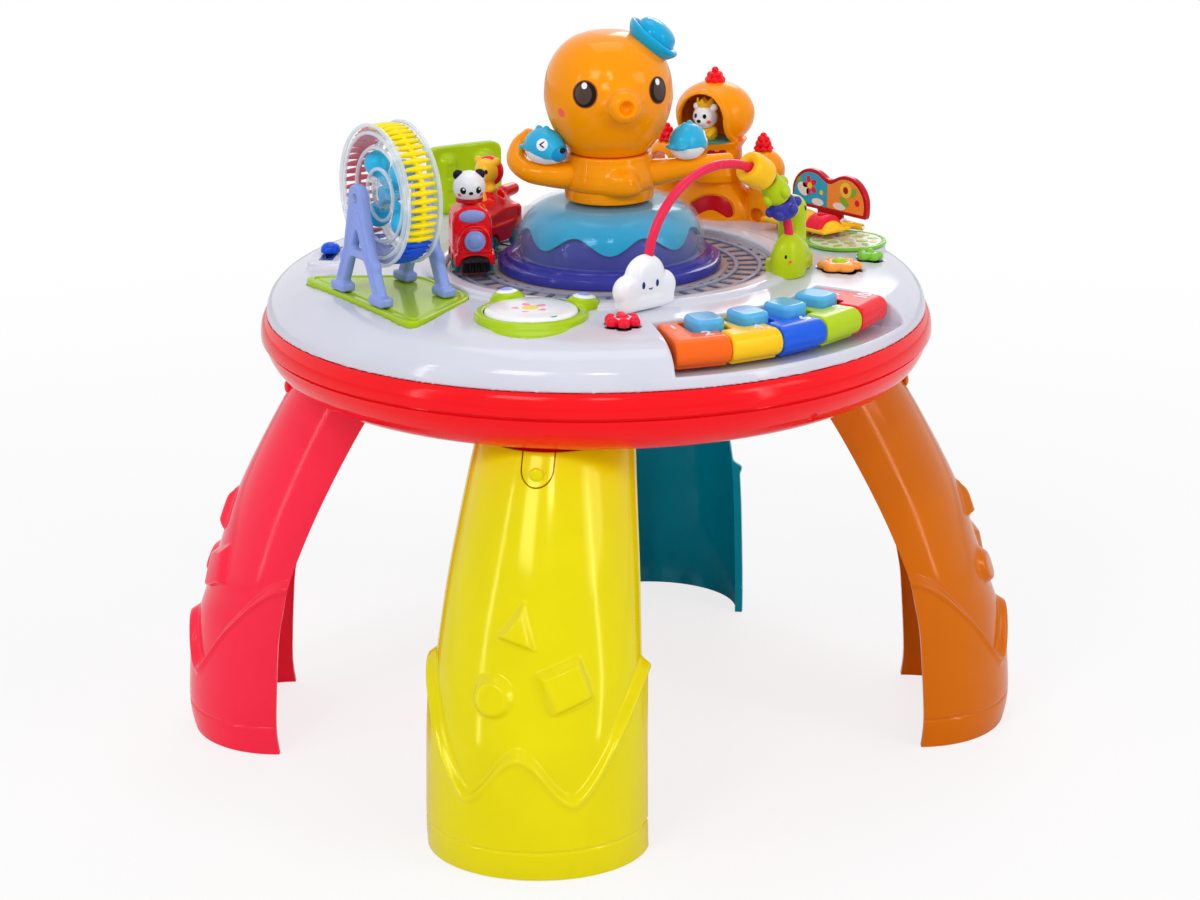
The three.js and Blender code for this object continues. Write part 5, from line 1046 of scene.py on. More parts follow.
def build_plinth(sizes):
    flange = [(58, 329.6), (75.8, 329.6), (76.5, 330.2), (76.5, 334.6), (75.9, 335.9), (74.4, 336.5),
        (71.6, 336.7),
              (71.1, 337.2), (70.9, 339.2), (70.3, 339.9), (66.6, 340), (66.2, 339.4), (66, 338.2), (62.6,
                  338.2)]
    drum = [(60.6, 340)] + [(34.6 + SHOULDER * cos(a), 345.6 + SHOULDER * sin(a)) for a in range(0, 91, 6)]
    hole = [(8.2, 371.6), (8.2, 348), (10.4, 348), (10.4, 369.2)]
    inside = [(32.2 + SHOULDER * cos(a), 343.2 + SHOULDER * sin(a)) for a in range(90, -1, -10)]
    plinth = lathe("plinth", flange + drum + hole + inside, 192, in_toys(), True)
    dress(plinth, looks["plinth"], "table", "plinth_purple", "plinth_ring")

    steps, rows = 320, 22
    points = []
    for wall, rise in ((62.9, 373.9), (61.1, 372.1)):
        for n in range(rows):
            for i in range(steps):
                turn = 360 * i / steps
                wave = math.cos(math.radians(WAVES * (turn + 130)))
                low = 350 + sizes.wave_rise / MM / 2 * (1 - wave)
                corner = rise - SHOULDER
                quarter = SHOULDER * math.pi / 2
                length = (corner - low) + quarter + (wall - SHOULDER - 9)
                along = length * n / (rows - 1)
                if along < corner - low:
                    r, z = wall, low + along
                elif along < corner - low + quarter:
                    bend = (along - (corner - low)) / SHOULDER
                    r = wall - SHOULDER + SHOULDER * math.cos(bend)
                    z = corner + SHOULDER * math.sin(bend)
                else:
                    r, z = wall - SHOULDER - (along - (corner - low) - quarter), rise
                points.append((*polar(r, turn), z))
    faces = []

    def number(side, n, i):
        return (side * rows + n) * steps + i % steps
    for i in range(steps):
        for n in range(rows - 1):
            faces.append([number(0, n, i), number(0, n, i + 1), number(0, n + 1, i + 1), number(0, n + 1,
                i)])
            faces.append([number(1, n, i), number(1, n + 1, i), number(1, n + 1, i + 1), number(1, n,
                i + 1)])
        faces.append([number(0, 0, i), number(1, 0, i), number(1, 0, i + 1), number(0, 0, i + 1)])
        last = rows - 1
        faces.append([number(0, last, i), number(0, last, i + 1), number(1, last, i + 1), number(1, last,
            i)])
    wave = new_object("wave_cap", points, faces, in_toys(), 50)
    dress(wave, looks["wave"], "table", "wave_cyan", "wave_insert")

    outer = [(39 + 26 * cos(a), 350 + 26 * sin(a)) for a in range(0, 91, 5)]
    inner = [(39 + 24.2 * cos(a), 350 + 24.2 * sin(a)) for a in range(90, -1, -5)]
    dome = lathe("dome_cover", [(65, 340.3)] + outer + [(9, 376), (9, 374.2)] + inner + [(63.2, 340.3)],
        192,
                 in_toys(), True)
    dress(dome, looks["clear"], "table", "clear", "dome_cover")


# Octopus: x towards the child's side, y to its left hand

octopus_place = in_toys(-130)


def toward(centre, direction):
    """A frame at a point whose z axis follows a direction and whose y axis is up."""
    turn = Vector(direction).to_track_quat("Z", "Y").to_matrix().to_4x4()
    return Matrix.Translation(centre) @ turn


def oval(rx, ry, turn=0.0, steps=40):
    return [(rx * cos(a) * cos(turn) - ry * sin(a) * sin(turn),
        rx * cos(a) * sin(turn) + ry * sin(a) * cos(turn))
            for a in np.arange(0, 360, 360 / steps)]


def decal(name, surface, outline, centre, direction, rise, place=None):
    """A thin coat of paint with a flat outline, dropped along a direction on to a surface."""
    m = np.array(toward(centre, direction))
    rings = 9
    flat = [(u * k / rings, v * k / rings, 5.0) for k in range(rings, 0, -1) for u, v in outline] + [(0,
        0, 5.0)]
    points = np.array(flat) @ m[:3, :3].T + m[:3, 3]
    down = -m[:3, 2]
    for _ in range(30):
        gap = surface(*points.T) - rise
        points = points + down * np.clip(gap, -0.5, 2)[:, None] * 0.9
    count = len(outline)
    under = points[:count] + down * 0.7
    faces = []
    for k in range(rings - 1):
        for i in range(count):
            j = (i + 1) % count
            faces.append([k * count + i, k * count + j, (k + 1) * count + j, (k + 1) * count + i])
    tip, low = len(points) - 1, len(points)
    for i in range(count):
        j = (i + 1) % count
        faces.append([(rings - 1) * count + i, (rings - 1) * count + j, tip])
        faces.append([j, i, low + i, low + j])
    faces.append([low + i for i in range(count)][::-1])
    return new_object(name, np.concatenate([points, under]), faces, place)


def limb_tube(name, points, radii, per=8, sides=28, place=None):
    """A tapering bar on a smooth path, with a rounded far end."""
    path = flow(points, per)
    size = [r[0] for r in flow([(r,) for r in radii], per)]
    tip, end = size[-1], path[-1]
    ahead = (path[-1] - path[-2]) / np.linalg.norm(path[-1] - path[-2])
    for turn in (20, 40, 60, 75, 86):
        path.append(end + ahead * tip * sin(turn))
        size.append(tip * cos(turn))
    return tube(name, path, size, sides, place)


head_curve = [(0, 408.8), (25, 408.8), (26.8, 409.6), (29.6, 412.6), (35.2, 420), (40.6, 432), (43.3,
    443), (43.5, 450),
              (42.2, 461), (38.6, 470.8), (32.6, 479.4), (24.4, 485.9), (13, 489.7), (0, 490.5)]


def octopus_head_shape():
    curve = [tuple(p) for p in flow(head_curve[3:], 5)]
    skull = around_axis([(0, 408.8), (25.6, 408.8), (26.8, 409.6)] + curve)
    nose = ball(35, 0, 448.4, 15, 15.6, 14.6)
    spout = limb([(38, 0, 448.2), (47, 0, 447.6)], [11.2, 10.4])
    head = join(skull, nose, soft=6)
    head = join(head, spout, ring(49.2, 0, 447.6, 6.6, 4.2, 0), soft=2.5)
    return cut(head, ball(55.4, 0, 447.6, 5.6, 4.6, 4.6), soft=3)


def build_octopus(sizes):
    place = octopus_place
    trunk = around_axis([(0, 376.5), (28.6, 376.5), (30.2, 377.3), (30.3, 383.6), (29.8, 384.6), (31.6,
        385.6),
                         (33, 388.2), (33.4, 391.6), (32.6, 396.6), (31, 401.6), (30.1, 405), (29.9, 407.6),
                         (29.2, 408.4), (0, 408.4)])
    bump = join(ball(26.4, 8, 392.6, 10, 12.2, 9), ball(25.4, 8, 387.4, 9.2, 13.6, 5.4), soft=4)
    stem = rod(0, 0, 366, 7.6, 12)
    body = join(join(trunk, bump, soft=3), stem)
    grooves = [placed(ring(0, 0, 0, 10.6, 0.9), toward(centre, aim)) for centre, aim in
               (((9.6, -30, 394.4), (0.25, -1, 0)), ((6.2, 31, 394), (0.1, 1, 0.05)))]
    body = cut(body, *grooves, soft=0.8)
    body = sculpt("octopus_trunk", body, (-36, -36, 351), (40, 36, 411), 0.9, place)
    reach = 33.4
    left = [(reach * x, reach * y, 395 + 16 * z) for x, y, z in
            ((0.3, -0.5, -0.05), (0.4, -0.9, 0), (0.45, -1.25, 0.05), (0.38, -1.62, 0.16), (0.1, -1.86,
                0.5),
             (-0.18, -1.8, 1), (-0.24, -1.62, 1.42))]
    right = [(reach * x, reach * y, 395 + 16 * z) for x, y, z in
             ((0.2, 0.55, -0.1), (0.19, 0.9, -0.02), (0.12, 1.4, 0.1), (0.04, 1.95, 0.3), (-0.02, 2.42,
                 0.46))]
    arms = [limb_tube("arm", left, [10, 9.6, 8.2, 7.2, 7, 6.6, 5.2], place=place),
            limb_tube("arm", right, [10, 9.4, 7.6, 5.8, 3.9], place=place)]
    dress(gather("octopus_body_look", [body] + arms), looks["orange"], "octopus", "orange", "octopus_body")

    face = place @ Matrix.Rotation(math.radians(12.5), 4, "Z")
    shape = octopus_head_shape()
    head = sculpt("octopus_head_look", shape, (-46, -46, 406), (54, 46, 493), 0.85, face)
    dress(head, looks["orange"], "octopus", "orange", "octopus_head")
    for side, name in ((-1, "left"), (1, "right")):
        turn = 38 if side > 0 else -34
        # The lighter grey oval, set off to one side over the dark pupil, is a painted reflection on the
        # eye; the brown ring and the dark pupil are the eye's own print.
        for rx, ry, rise, key, shift in ((9, 9.4, 0.14, "iris_ring", 0), (8.2, 8.6, 0.26, "pupil", 0),
                                         (5.9, 6.9, 0.38, "eye_reflection", side * 1.2)):
            x, y = polar(43, turn + shift)
            obj = decal(f"eye_{key}_{name}", shape, oval(rx, ry), (x, y, 455), (x, y, 7), rise, face)
            dress(obj, looks[key], "octopus", "black")
        x, y = polar(42.4, turn - 0.6)
        glint = decal(f"eye_glint_{name}", shape, oval(2, 2.2), (x, y, 460.6), (x, y, 12), 0.5, face)
        dress(glint, looks["white"], "octopus", "white")
        x, y = polar(41.4, side * 60)
        cheek = decal(f"cheek_{name}", shape, oval(3.1, 3.1), (x, y, 441), (x, y, -8), 0.15, face)
        dress(cheek, looks["cheek"], "octopus", "red")

    lean = Matrix.Rotation(math.radians(-40), 4, "X")
    centre = (0, sin(40) * 39.8, cos(40) * 39.8 + 449)
    hat = lathe("hat_look", [(0, 0), (13.6, 0)] + [tuple(p) for p in flow(
        [(14.6, 0.4), (16.6, 2.6), (18.9, 6.2), (19.6, 8.4), (19.1, 9.7), (17.6, 10), (16.1, 8.9), (14.7,
            7.8)], 5)]
        + [tuple(p) for p in flow([(14.6, 8.2), (14.5, 11), (13.2, 14.6), (10, 17.4), (5, 19), (0, 19.4)],
            5)],
        96, place @ Matrix.Translation(centre) @ lean, crease=50)
    dress(hat, looks["hat"], "octopus", "hat_blue", "octopus_hat")


def fish_shape():
    body = ball(-0.6, 0, 414.6, 15.4, 11.6, 12.6)
    snout = ball(10.2, 0, 412, 6.2, 7.6, 6.4)
    return join(body, snout, soft=3)


def build_fish(sizes):
    shape = fish_shape()
    belly = cut(shape, lambda x, y, z: z - 404.4)
    back_line = [(-30, 412.4), (-12, 412.6), (-3, 412.6), (5, 410), (8, 408.6), (30, 408.6), (30, 440),
        (-30, 440)]

    def upper(x, y, z):
        return flat_distance(back_line, x, z)
    cap = common(grown(shape, 0.35), upper, soft=0.3)
    fins = [ball(-5.5, 0, 426.4, 2.4, 1.9, 2.6), ball(1.5, 0, 427, 2.4, 1.9, 2.4)]
    tail = join(ball(-14.2, 0, 413, 3.4, 2.6, 2.2), ball(-16.2, 4, 413.6, 2.8, 4, 1.7), ball(-16.2, -4,
        413.6, 2.8, 4, 1.7),
                soft=1.5)
    blue = join(cap, *fins, soft=1.6)
    blue = join(blue, tail, soft=2)
    peg = rod(0, 0, 402, 3, 6)
    for name, x, y, turn in (("left", 15, -43, 46), ("right", 2, 54, 148)):
        place = octopus_place @ at(x, y, 0, turn)
        low = join(cut(belly, below(404.4)), peg)
        obj = sculpt(f"fish_{name}_belly", low, (-17, -12, 394), (18, 12, 429), 0.7, place)
        dress(obj, looks["belly"], "octopus", "white")
        obj = sculpt(f"fish_{name}_back", cut(blue, below(404.4)), (-21, -13, 403), (19, 13, 432), 0.6,
            place)
        dress(obj, looks["fish"], "octopus", "royal_blue", f"fish_{name}")
        muzzle = decal(f"fish_{name}_muzzle", grown(shape, 0.35), oval(7.4, 5.4), (15, 0, 412), (1, 0,
            0.1), 0.25, place)
        dress(muzzle, looks["fish_tip"], "octopus", "royal_blue")
        nose = sculpt(f"fish_{name}_nose", ball(16.7, 0, 414.4, 1.5, 2.6, 2), (14, -4, 411), (19, 4, 418),
            0.35, place)
        dress(nose, looks["black"], "octopus", "black")
        for side in (-1, 1):
            eye = (6.8, side * 9.6, 418.6)
            aim = (0.5, side, 0.35)
            white = decal(f"fish_{name}_eye_{side + 1}", grown(shape, 0.35), oval(4, 4.2), eye, aim, 0.18,
                place)
            dress(white, looks["white"], "octopus", "white")
            strokes = []
            for up in (-1, 1):
                middle = tuple(toward(eye, aim) @ Vector((0, up * 0.95, 0)))
                strokes.append(decal("stroke", grown(shape, 0.35), oval(2.3, 0.5, -up * side * 34),
                    middle, aim, 0.3, place))
            dress(gather(f"fish_{name}_wink_{side + 1}", strokes), looks["black"], "octopus", "black")



# Train: x away from the middle of the track, y ahead

def coach(turn):
    return in_toys(turn) @ at(95, 0)


def wheel_pair(name, ys, place, width=3.2):
    parts = []
    for y in ys:
        for side in (-1, 1):
            parts.append(lathe(name, [(0, -width / 2), (5.6, -width / 2), (6.5, -width / 2 + 0.9),
                                      (6.5, width / 2 - 1), (5.7, width / 2), (4.2, width / 2), (3.9,
                                          width / 2 - 0.6),
                                      (2.2, width / 2 - 0.6), (1.9, width / 2), (0, width / 2 + 0.1)], 40,
                               place @ Matrix.Translation((side * 11.4, y, 337.4))
                               @ Matrix.Rotation(math.radians(90 * side), 4, "Y")))
    return gather(name, parts)


def build_loco(sizes):
    place = coach(149)
    cab = join(brick(-13.5, 13.5, -20, 7, 341, 364, 2.5), rod(0, -6.5, 362.4, 13.5, 13.5, 1, 3.4))
    hood = common(join(rod(0, 7, 351.4, 11.5, 13, 1, 2.5), brick(-11.5, 11.5, -6, 20, 341, 352, 2)),
        above(341))
    skirt = brick(-13.5, 13.5, -20, 20, 337.6, 345.4, 1.6)
    arches = [rod(0, y, 337.4, 7.6, 20, 0) for y in (-9, 9)]
    body = join(join(cab, hood, soft=2.5), skirt, soft=1)
    body = cut(body, *arches, soft=0.8)
    rims = [common(ring(0, y, 337.4, 8.2, 1.0, 0), above(337.6)) for y in (-9, 9)]
    rims = join(*[both_sides(placed(r, Matrix.Translation((13, 0, 0))), 0) for r in rims])
    line = common(grown(body, 0.35), common(above(346.4), below(347.6)))
    body = join(join(body, rims, soft=0.5), line)
    side_windows = both_sides(brick(12.9, 20, -14, 0, 358, 368.5, 2.2), 0)
    body = cut(body, side_windows, soft=0.5)
    body = join(body, brick(-12.4, 12.4, -18, 5, 350, 372, 3))
    obj = sculpt("loco", body, (-16, -23, 331), (16, 27, 378), 0.62, place)
    dress(obj, looks["red"], "train", "red", "loco_body")
    shield = sculpt("windshield", ball(0, 6.6, 368.6, 9, 2.6, 4.7), (-10, 4, 364), (10, 10, 375), 0.5,
        place)
    front = rod(0, 20.4, 354.6, 7.2, 1.5, 1, 1.2)
    lens = ball(0, 21.2, 354.6, 5.2, 2.6, 5.2)
    arc = common(ring(0, 20.2, 354.6, 9.8, 0.8, 1), above(350))
    lamp = sculpt("lamp", join(front, lens, soft=0.8), (-9, 18, 346), (9, 25, 363), 0.45, place)
    dress(gather("lilac_parts", [shield, lamp]), looks["lilac"], "train", "sky_blue")
    rimmed = sculpt("lamp_rim", arc, (-11, 18, 349), (11, 22, 366), 0.4, place)
    dress(rimmed, looks["red"], "train", "red")
    guard = common(join(brick(-9.6, 9.6, 15, 24.4, 333.4, 342.6, 2.4), ball(0, 15.4, 341, 10.6, 9.4, 4.6),
        soft=1), above(333.4))
    slots = [brick(x - 1.3, x + 1.3, 22.6, 30, 334.6, 340.4, 1.1) for x in (-6.3, -2.1, 2.1, 6.3)]
    grille = sculpt("guard", cut(guard, *slots, soft=0.4), (-12, 13, 332), (12, 27, 348), 0.45, place)
    dress(grille, looks["black"], "train", "black")
    dress(wheel_pair("loco_wheels", (-9, 9), place), looks["teal"], "train", "leg_teal")


def build_wagon(sizes):
    place = coach(112)
    tub = common(brick(-13.5, 13.5, -27, 27, 342, 373.5, 9), ball(0, 0, 330, 16, 36, 44), soft=3)
    tub = join(tub, brick(-13.5, 13.5, -26, 26, 342, 360, 4), soft=4)
    tub = cut(tub, brick(-10.4, 10.4, 6, 23.6, 364.5, 380, 3), rod(0, -6.5, 372, 8.2, 8), soft=0.8)
    body = join(tub, brick(-13.5, 13.5, -27, 27, 337.6, 345.4, 1.6), soft=1)
    body = cut(body, *[rod(0, y, 337.4, 7.6, 20, 0) for y in (-16, 16)], soft=0.8)
    panel = both_sides(brick(12.9, 20, -20, 20, 350, 366, 2.6), 0)
    body = cut(body, panel, soft=0.6)
    tail = limb([(0, -20, 366.6), (0, -35, 366.6)], [5, 4.4])
    body = join(body, tail, soft=2)
    link = brick(-4, 4, 24, 32, 335.9, 340.9, 1)
    obj = sculpt("wagon", join(body, link), (-16, -43, 331), (16, 34, 376), 0.7, place)
    dress(obj, looks["red"], "train", "red", "wagon_body")
    dress(wheel_pair("wagon_wheels", (-16, 16), place), looks["teal"], "train", "leg_teal")


def face_parts(place, centre, radius, marks, body, slot_names):
    """Painted marks on a round head: each is key, azimuth, height, half width, half height, rise."""
    for n, (key, azimuth, height, rx, ry, rise) in enumerate(marks):
        x, y = polar(math.sqrt(max(radius * radius - height * height, 1)), azimuth)
        spot_at = (centre[0] + x, centre[1] + y, centre[2] + height)
        obj = decal(f"mark_{key}_{n}", ball(*centre, radius), oval(rx, ry), spot_at, (x, y, height), rise,
            place)
        dress(obj, looks[key], body, slot_names.get(key, "black"))


def build_panda(sizes):
    place = coach(149)
    centre = (0, -6.5, 386.6)
    head = ball(*centre, 11)
    neck = rod(0, -6.5, 378, 8.2, 1.8, 2, 0.8)
    obj = sculpt("panda", join(head, neck, soft=1), (-12, -19, 375), (12, 6, 399), 0.55, place)
    dress(obj, looks["white"], "train", "white", "panda_figure")
    ears = [sculpt("ear", ball(side * 7.4, -6.9, 394.8, 3.7, 2.8, 3.7), (side * 7.4 - 5, -11, 390),
                   (side * 7.4 + 5, -3, 400), 0.45, place) for side in (-1, 1)]
    dress(gather("panda_ears", ears), looks["black"], "train", "black")
    collar = lathe("panda_collar", [(8.4, 376.3), (9.4, 376.7), (9.6, 378), (9.2, 379.3), (8, 379.4)], 60,
                   place @ at(0, -6.5), True)
    dress(collar, looks["dark_red"], "train", "red")
    # The two small white dots on the black eye patches are painted highlights.
    face_parts(place, centre, 11, [("black", 90 - 29, -0.8, 2.1, 2.4, 0.2), ("black", 90 + 29, -0.8, 2.1,
        2.4, 0.2),
                                   ("white", 90 - 26, 0.2, 0.75, 0.75, 0.36), ("white", 90 + 32, 0.2,
                                       0.75, 0.75, 0.36),
                                   ("black", 90, -2.6, 1.5, 1.1, 0.4), ("cheek", 90 - 48, -4.2, 1.7, 1.3,
                                       0.22),
                                   ("cheek", 90 + 48, -4.2, 1.7, 1.3, 0.22)],
               "train", {"white": "white", "cheek": "red"})


def build_lion(sizes):
    place = coach(112)
    centre = (0, 0.6, 386)
    head = ball(*centre, 9)
    trunk = join(limb([(0, 0, 366), (0, 0, 377)], [6.6, 5.6]), soft=1)
    hands = both_sides(ball(5.6, 3.2, 374.4, 2.8, 3.2, 2.6), 0)
    ears = both_sides(ball(7.2, 0, 393, 2.9, 2.3, 2.9), 0)
    shape = join(join(head, trunk, soft=2), hands, ears, soft=1)
    obj = sculpt("lion", shape, (-12, -9, 364), (12, 12, 398), 0.55, place)
    dress(obj, looks["lion"], "train", "bead_yellow", "lion_figure")
    hood = cut(ball(0, -2.4, 385.6, 10.6, 7.2, 10.6), ball(0, 4, 385.8, 8.8, 7, 8.8), soft=0.8)
    dress(sculpt("lion_hood", cut(hood, ears), (-12, -11, 374), (12, 6, 397), 0.5, place), looks["red"],
        "train", "red")
    face_parts(place, centre, 9, [("black", 90 - 24, 1, 1.2, 1.5, 0.25), ("black", 90 + 24, 1, 1.2, 1.5,
        0.25),
                                  ("white", 90, -2.4, 3.2, 2.4, 0.22), ("black", 90, -1.2, 1.2, 0.9, 0.42)],
               "train", {"white": "white"})


# Rattle wheel: x along its axle

def build_wheel(sizes):
    place = at(*polar(158.3, 172.4), 399.2, 172.4) @ Matrix.Rotation(math.radians(90), 4, "Y")
    drum = lathe("drum_shell", [(39.9, -12.7), (46.9, -12.7), (47.3, -12.3), (47.3, -11.8), (46.9, -11.4),
        (41.1, -11.3),
                                (41.1, 11.3), (46.9, 11.4), (47.3, 11.8), (47.3, 12.3), (46.9,
                                    12.7), (39.9, 12.7)],
                 160, place, True)
    rims = []
    for side in (-1, 1):
        for radius, x in ((46, 12), (41, 12.2), (31, 8.6), (17, 8)):
            rims.append(lathe("rim", [(radius + 1.25 * cos(a),
                side * (x - 0.3) + 1.25 * sin(a)) for a in range(0, 360, 30)],
                              160, place, True))
    dress(drum, looks["clear_wheel"], "wheel", "clear", "wheel_drum")
    dress(gather("wheel_rims", rims), looks["clear_rim"], "wheel", "clear")

    verts = {"yellow": [], "blue": [], "red": []}
    count = sizes.treads
    bar_shape = join(ball(0.6, 0, 0, 2.2, 1.95, 10.6), brick(-0.9, 1.9, -1.35, 1.35, -9.6, 9.6, 1.2))
    points, quads = net(bar_shape, (-3, -3, -11), (3, 3, 11), 0.55 * COARSE)
    spine, spine_quads = net(brick(-1.2, 1.6, -2.9, 2.9, -1.6, 1.6, 0.5), (-2, -4, -2.5), (2.5, 4, 2.5),
        0.5 * COARSE)
    for i in range(count):
        turn = 360 * (i + 0.5) / count
        third = "blue" if (turn + 40) % 360 < 97 else ("yellow" if (turn + 40) % 360 < 235 else "red")
        for p, q in ((points, quads), (spine, spine_quads)):
            m = np.array(Matrix.Rotation(math.radians(turn), 4, "Z") @ Matrix.Translation((43.6, 0, 0)))
            verts[third].append((p @ m[:3, :3].T + m[:3, 3], q))
    for key, slot_name in (("yellow", "bead_yellow"), ("blue", "royal_blue"), ("red", "red")):
        start, all_points, all_quads = 0, [], []
        for p, q in verts[key]:
            all_points.append(p)
            all_quads.append(q + start)
            start += len(p)
        turned = place @ Matrix.Rotation(math.radians(sizes.tread_start), 4, "Z")
        obj = new_object(f"treads_{key}", np.concatenate(all_points), np.concatenate(all_quads), turned, 70)
        dress(obj, looks[f"tread_{key}"], "wheel", slot_name, *(["rib_band"] if key == "yellow" else []))

    bulbs = []
    for i in range(4):
        turn = 45 + 90 * i
        x, y = polar(24, turn)
        stem = limb([(*polar(6, turn), 0), (*polar(16, turn), 0)], [2.2, 2])
        bulb = join(ball(x, y, 0, 8.6), limb([(*polar(6, turn), 0), (*polar(20, turn), 0)], [2.4, 5]),
            soft=3)
        bulbs.append(join(bulb, stem, soft=1))
    cross = join(*bulbs)
    hub = rod(0, 0, 0, 5.6, 7, 2, 1)
    spin = sculpt("spinner", join(cross, hub, soft=1), (-34, -34, -10), (34, 34, 10), 0.8, place)
    dress(spin, looks["spin"], "wheel", "wave_cyan", "wheel_spinner")
    gear = [(0, -27), (2.6, -27), (2.6, -10), (8, -9.4), (9, -8.6), (9, 8.6), (8, 9.4), (2.6, 10), (2.6,
        27), (0, 27)]
    axle = lathe("axle", gear, 48, place)
    teeth = [sculpt("tooth", brick(8, 11.4, -1.6, 1.6, -8.4, 8.4, 0.8), (7, -3, -10), (13, 3, 10), 0.6,
                    place @ Matrix.Rotation(math.radians(45 * i), 4, "Z")) for i in range(8)]
    dress(gather("hub_gear", [axle] + teeth), looks["clear_wheel"], "wheel", "clear")


def build_stands(sizes):
    frame_at = at(*polar(158.3, 172.4), 399.2, 172.4)
    ground = -66.9
    for name, x, node in (("outer", 23.6, "wheel_stand_outer"), ("inner", -23.6, "wheel_stand_inner")):
        leg = None
        for side in (-1, 1):
            one = limb([(x, 0, 0), (x, side * 14, -38), (x, side * 25, ground + 7)], [8.2, 5.2, 5.2])
            leg = one if leg is None else join(leg, one, soft=4)
        low_bar = limb([(x, -20, -42), (x, -10, -37.4), (x, 10, -37.4), (x, 20, -42)], [4, 3.4, 3.4, 4])
        shape = join(leg, low_bar, soft=3)
        shape = common(shape, brick(x - 3.5, x + 3.5, -60, 60, -100, 60, 1.4), soft=1)
        feet = [brick(x - 5.2, x + 5.2, side * 26 - 8.6, side * 26 + 8.6, ground, ground + 6.4,
            2) for side in (-1, 1)]
        shape = join(shape, *feet, soft=2)
        face = 1 if x > 0 else -1
        groove = None
        for side in (-1, 1):
            one = limb([(x + face * 4.6, side * 3.4, -10), (x + face * 4.6, side * 14, -38),
                        (x + face * 4.6, side * 24.2, ground + 10)], [2.1, 2.7, 2.7])
            groove = one if groove is None else join(groove, one)
        shape = cut(shape, groove, soft=0.8)
        shape = cut(shape, rod(x, 0, 0, 3.0, 20, 0), soft=0.6)
        obj = sculpt(f"stand_{name}", shape, (x - 7, -38, ground - 1), (x + 7, 38, 10), 0.7, frame_at)
        dress(obj, looks["stand"], "table", "stand_blue", node)
    pad = prism(plate_outline(0), 326, 332, 1.4)
    rim = cut(pad, prism(plate_outline(-4), 331.1, 340, 0.3), soft=0.6)
    inner = prism(plate_outline(-7.5), 328, 331.9, 0.7)
    obj = sculpt("wheel_plate", join(rim, inner, soft=0.4), (116, -84, 325), (210, 84, 333), 0.8, at(0, 0,
        0, 172.4))
    dress(obj, looks["green"], "table", "green", "wheel_base_plate")


# Castle: x away from the middle of the table

def castle_place():
    return at(*polar(175, 20), 0, 20)


def berries(name, x, y, z, tiers, size, place):
    """A cluster of small balls in rings, one ball at its tip."""
    parts = []
    for n, (away, height, count) in enumerate(tiers):
        for i in range(count):
            u, v = polar(away, 360 * (i + n / 2) / count)
            parts.append(ball(x + u, y + v, z + height, size))
    high = max(h for _, h, _ in tiers)
    return sculpt(name, join(*parts, soft=0.6), (x - 10, y - 10, z - 4), (x + 10, y + 10, z + high + 6),
        0.5, place)


def build_castle(sizes):
    place = castle_place()
    shell = cut(ball(0, 0, 404.5, 27, 29, 23.5), ball(0, 0, 404.5, 24, 26, 20.5))
    door = common(join(brick(-60, 0, -18, 18, 380, 404), rod(-30, 0, 403.4, 18, 30, 0)), lambda x, y, z: x)
    shell = cut(shell, brick(-60, 60, -60, 60, 300, 384))
    shell = cut(shell, door, soft=1.4)
    lip = common(common(grown(door, 2.6), grown(ball(0, 0, 404.5, 27, 29, 23.5), 1.2)),
                 lambda x, y, z: -door(x, y, z))
    lip = cut(lip, ball(0, 0, 404.5, 24.2, 26.2, 20.7))
    lip = common(lip, lambda x, y, z: x + 4)
    neck = around_axis([(0, 357), (21, 357), (21.6, 362), (19.8, 370), (19.6, 380), (23.6, 386.4), (0,
        386.4)])
    base = common(ball(0, 0, 328, 24, 33, 34), above(328))
    body = join(join(neck, base, soft=5), join(shell, lip, soft=0.8), soft=1.5)
    tops = []
    for side in (-1, 1):
        column = common(around_axis([(0, 328), (12.6, 328), (12, 331), (11.4, 348), (12.4, 353), (0,
            353)]), above(328))
        turret = ball(0, 0, 366, 15.6, 15.6, 15.6)
        turret = cut(turret, rod(0, 0, 366, 8.2, 30, 0), soft=2)
        tops.append(placed(join(column, turret, soft=1.5), at(0, side * 39.5)))
    link = common(ball(0, 0, 332, 16, 38, 14), above(328))
    body = join(body, *tops, soft=1.5)
    body = join(body, link, soft=3)
    gate = rod(-11, -39.5, 335, 5, 6, 0)
    body = cut(body, gate, soft=0.8)
    outline = rounded([(-18, -8.5), (18, -8.5), (16, 3), (6, 8.5), (-6, 9), (-18, 2)], [3, 5, 8, 7, 7, 6],
        6)
    raised = toward((-24, -9, 341.5), (-1, -0.42, 0.4))
    pane = placed(prism(outline, -14, 14), raised)
    body = cut(body, cut(common(pane, grown(body, 2)), grown(base, -1.6)), soft=0.8)
    obj = sculpt("castle", body, (-33, -57, 327), (30, 57, 430), 0.9, place)
    dress(obj, looks["castle"], "table", "orange", "castle_body")
    finials = [berries("berries", 0, side * 39.5, 385, ((5, -3.4, 7), (4, 0.4, 6), (2.4, 3.8, 4), (0, 6.4,
        1)), 2.4, place)
               for side in (-1, 1)]
    finials.append(berries("berries", 0, 0, 428.6, ((5, 0, 7), (3.4, 3.6, 5), (0, 7.2, 1)), 2.6, place))
    dress(gather("castle_berries", finials), looks["red"], "table", "red")
    wide = [(u * 0.94, v * 0.92) for u, v in outline]
    panels = [decal("panel", body, wide, (-24, -9, 341.5), (-1, -0.42, 0.4), 0.25, place)]
    neck_pane = rounded([(-7, -6), (7, -6), (7, 6), (-7, 6)], 2.5, 5)
    for turn in (-32, 32):
        x, y = polar(20, 180 + turn)
        panels.append(decal("panel", body, neck_pane, (x, y, 375), (x, y, 0), 0.3, place))
    dress(gather("castle_panels", panels), looks["dark_red"], "table", "red")
    patch = sculpt("castle_floor", common(ball(-6, 0, 386.6, 19, 20, 1.4), brick(-30, 20, -30, 30, 386.0,
        390)),
                   (-26, -22, 385), (15, 22, 389), 0.6, place)
    dress(patch, looks["grass"], "table", "leg_teal")


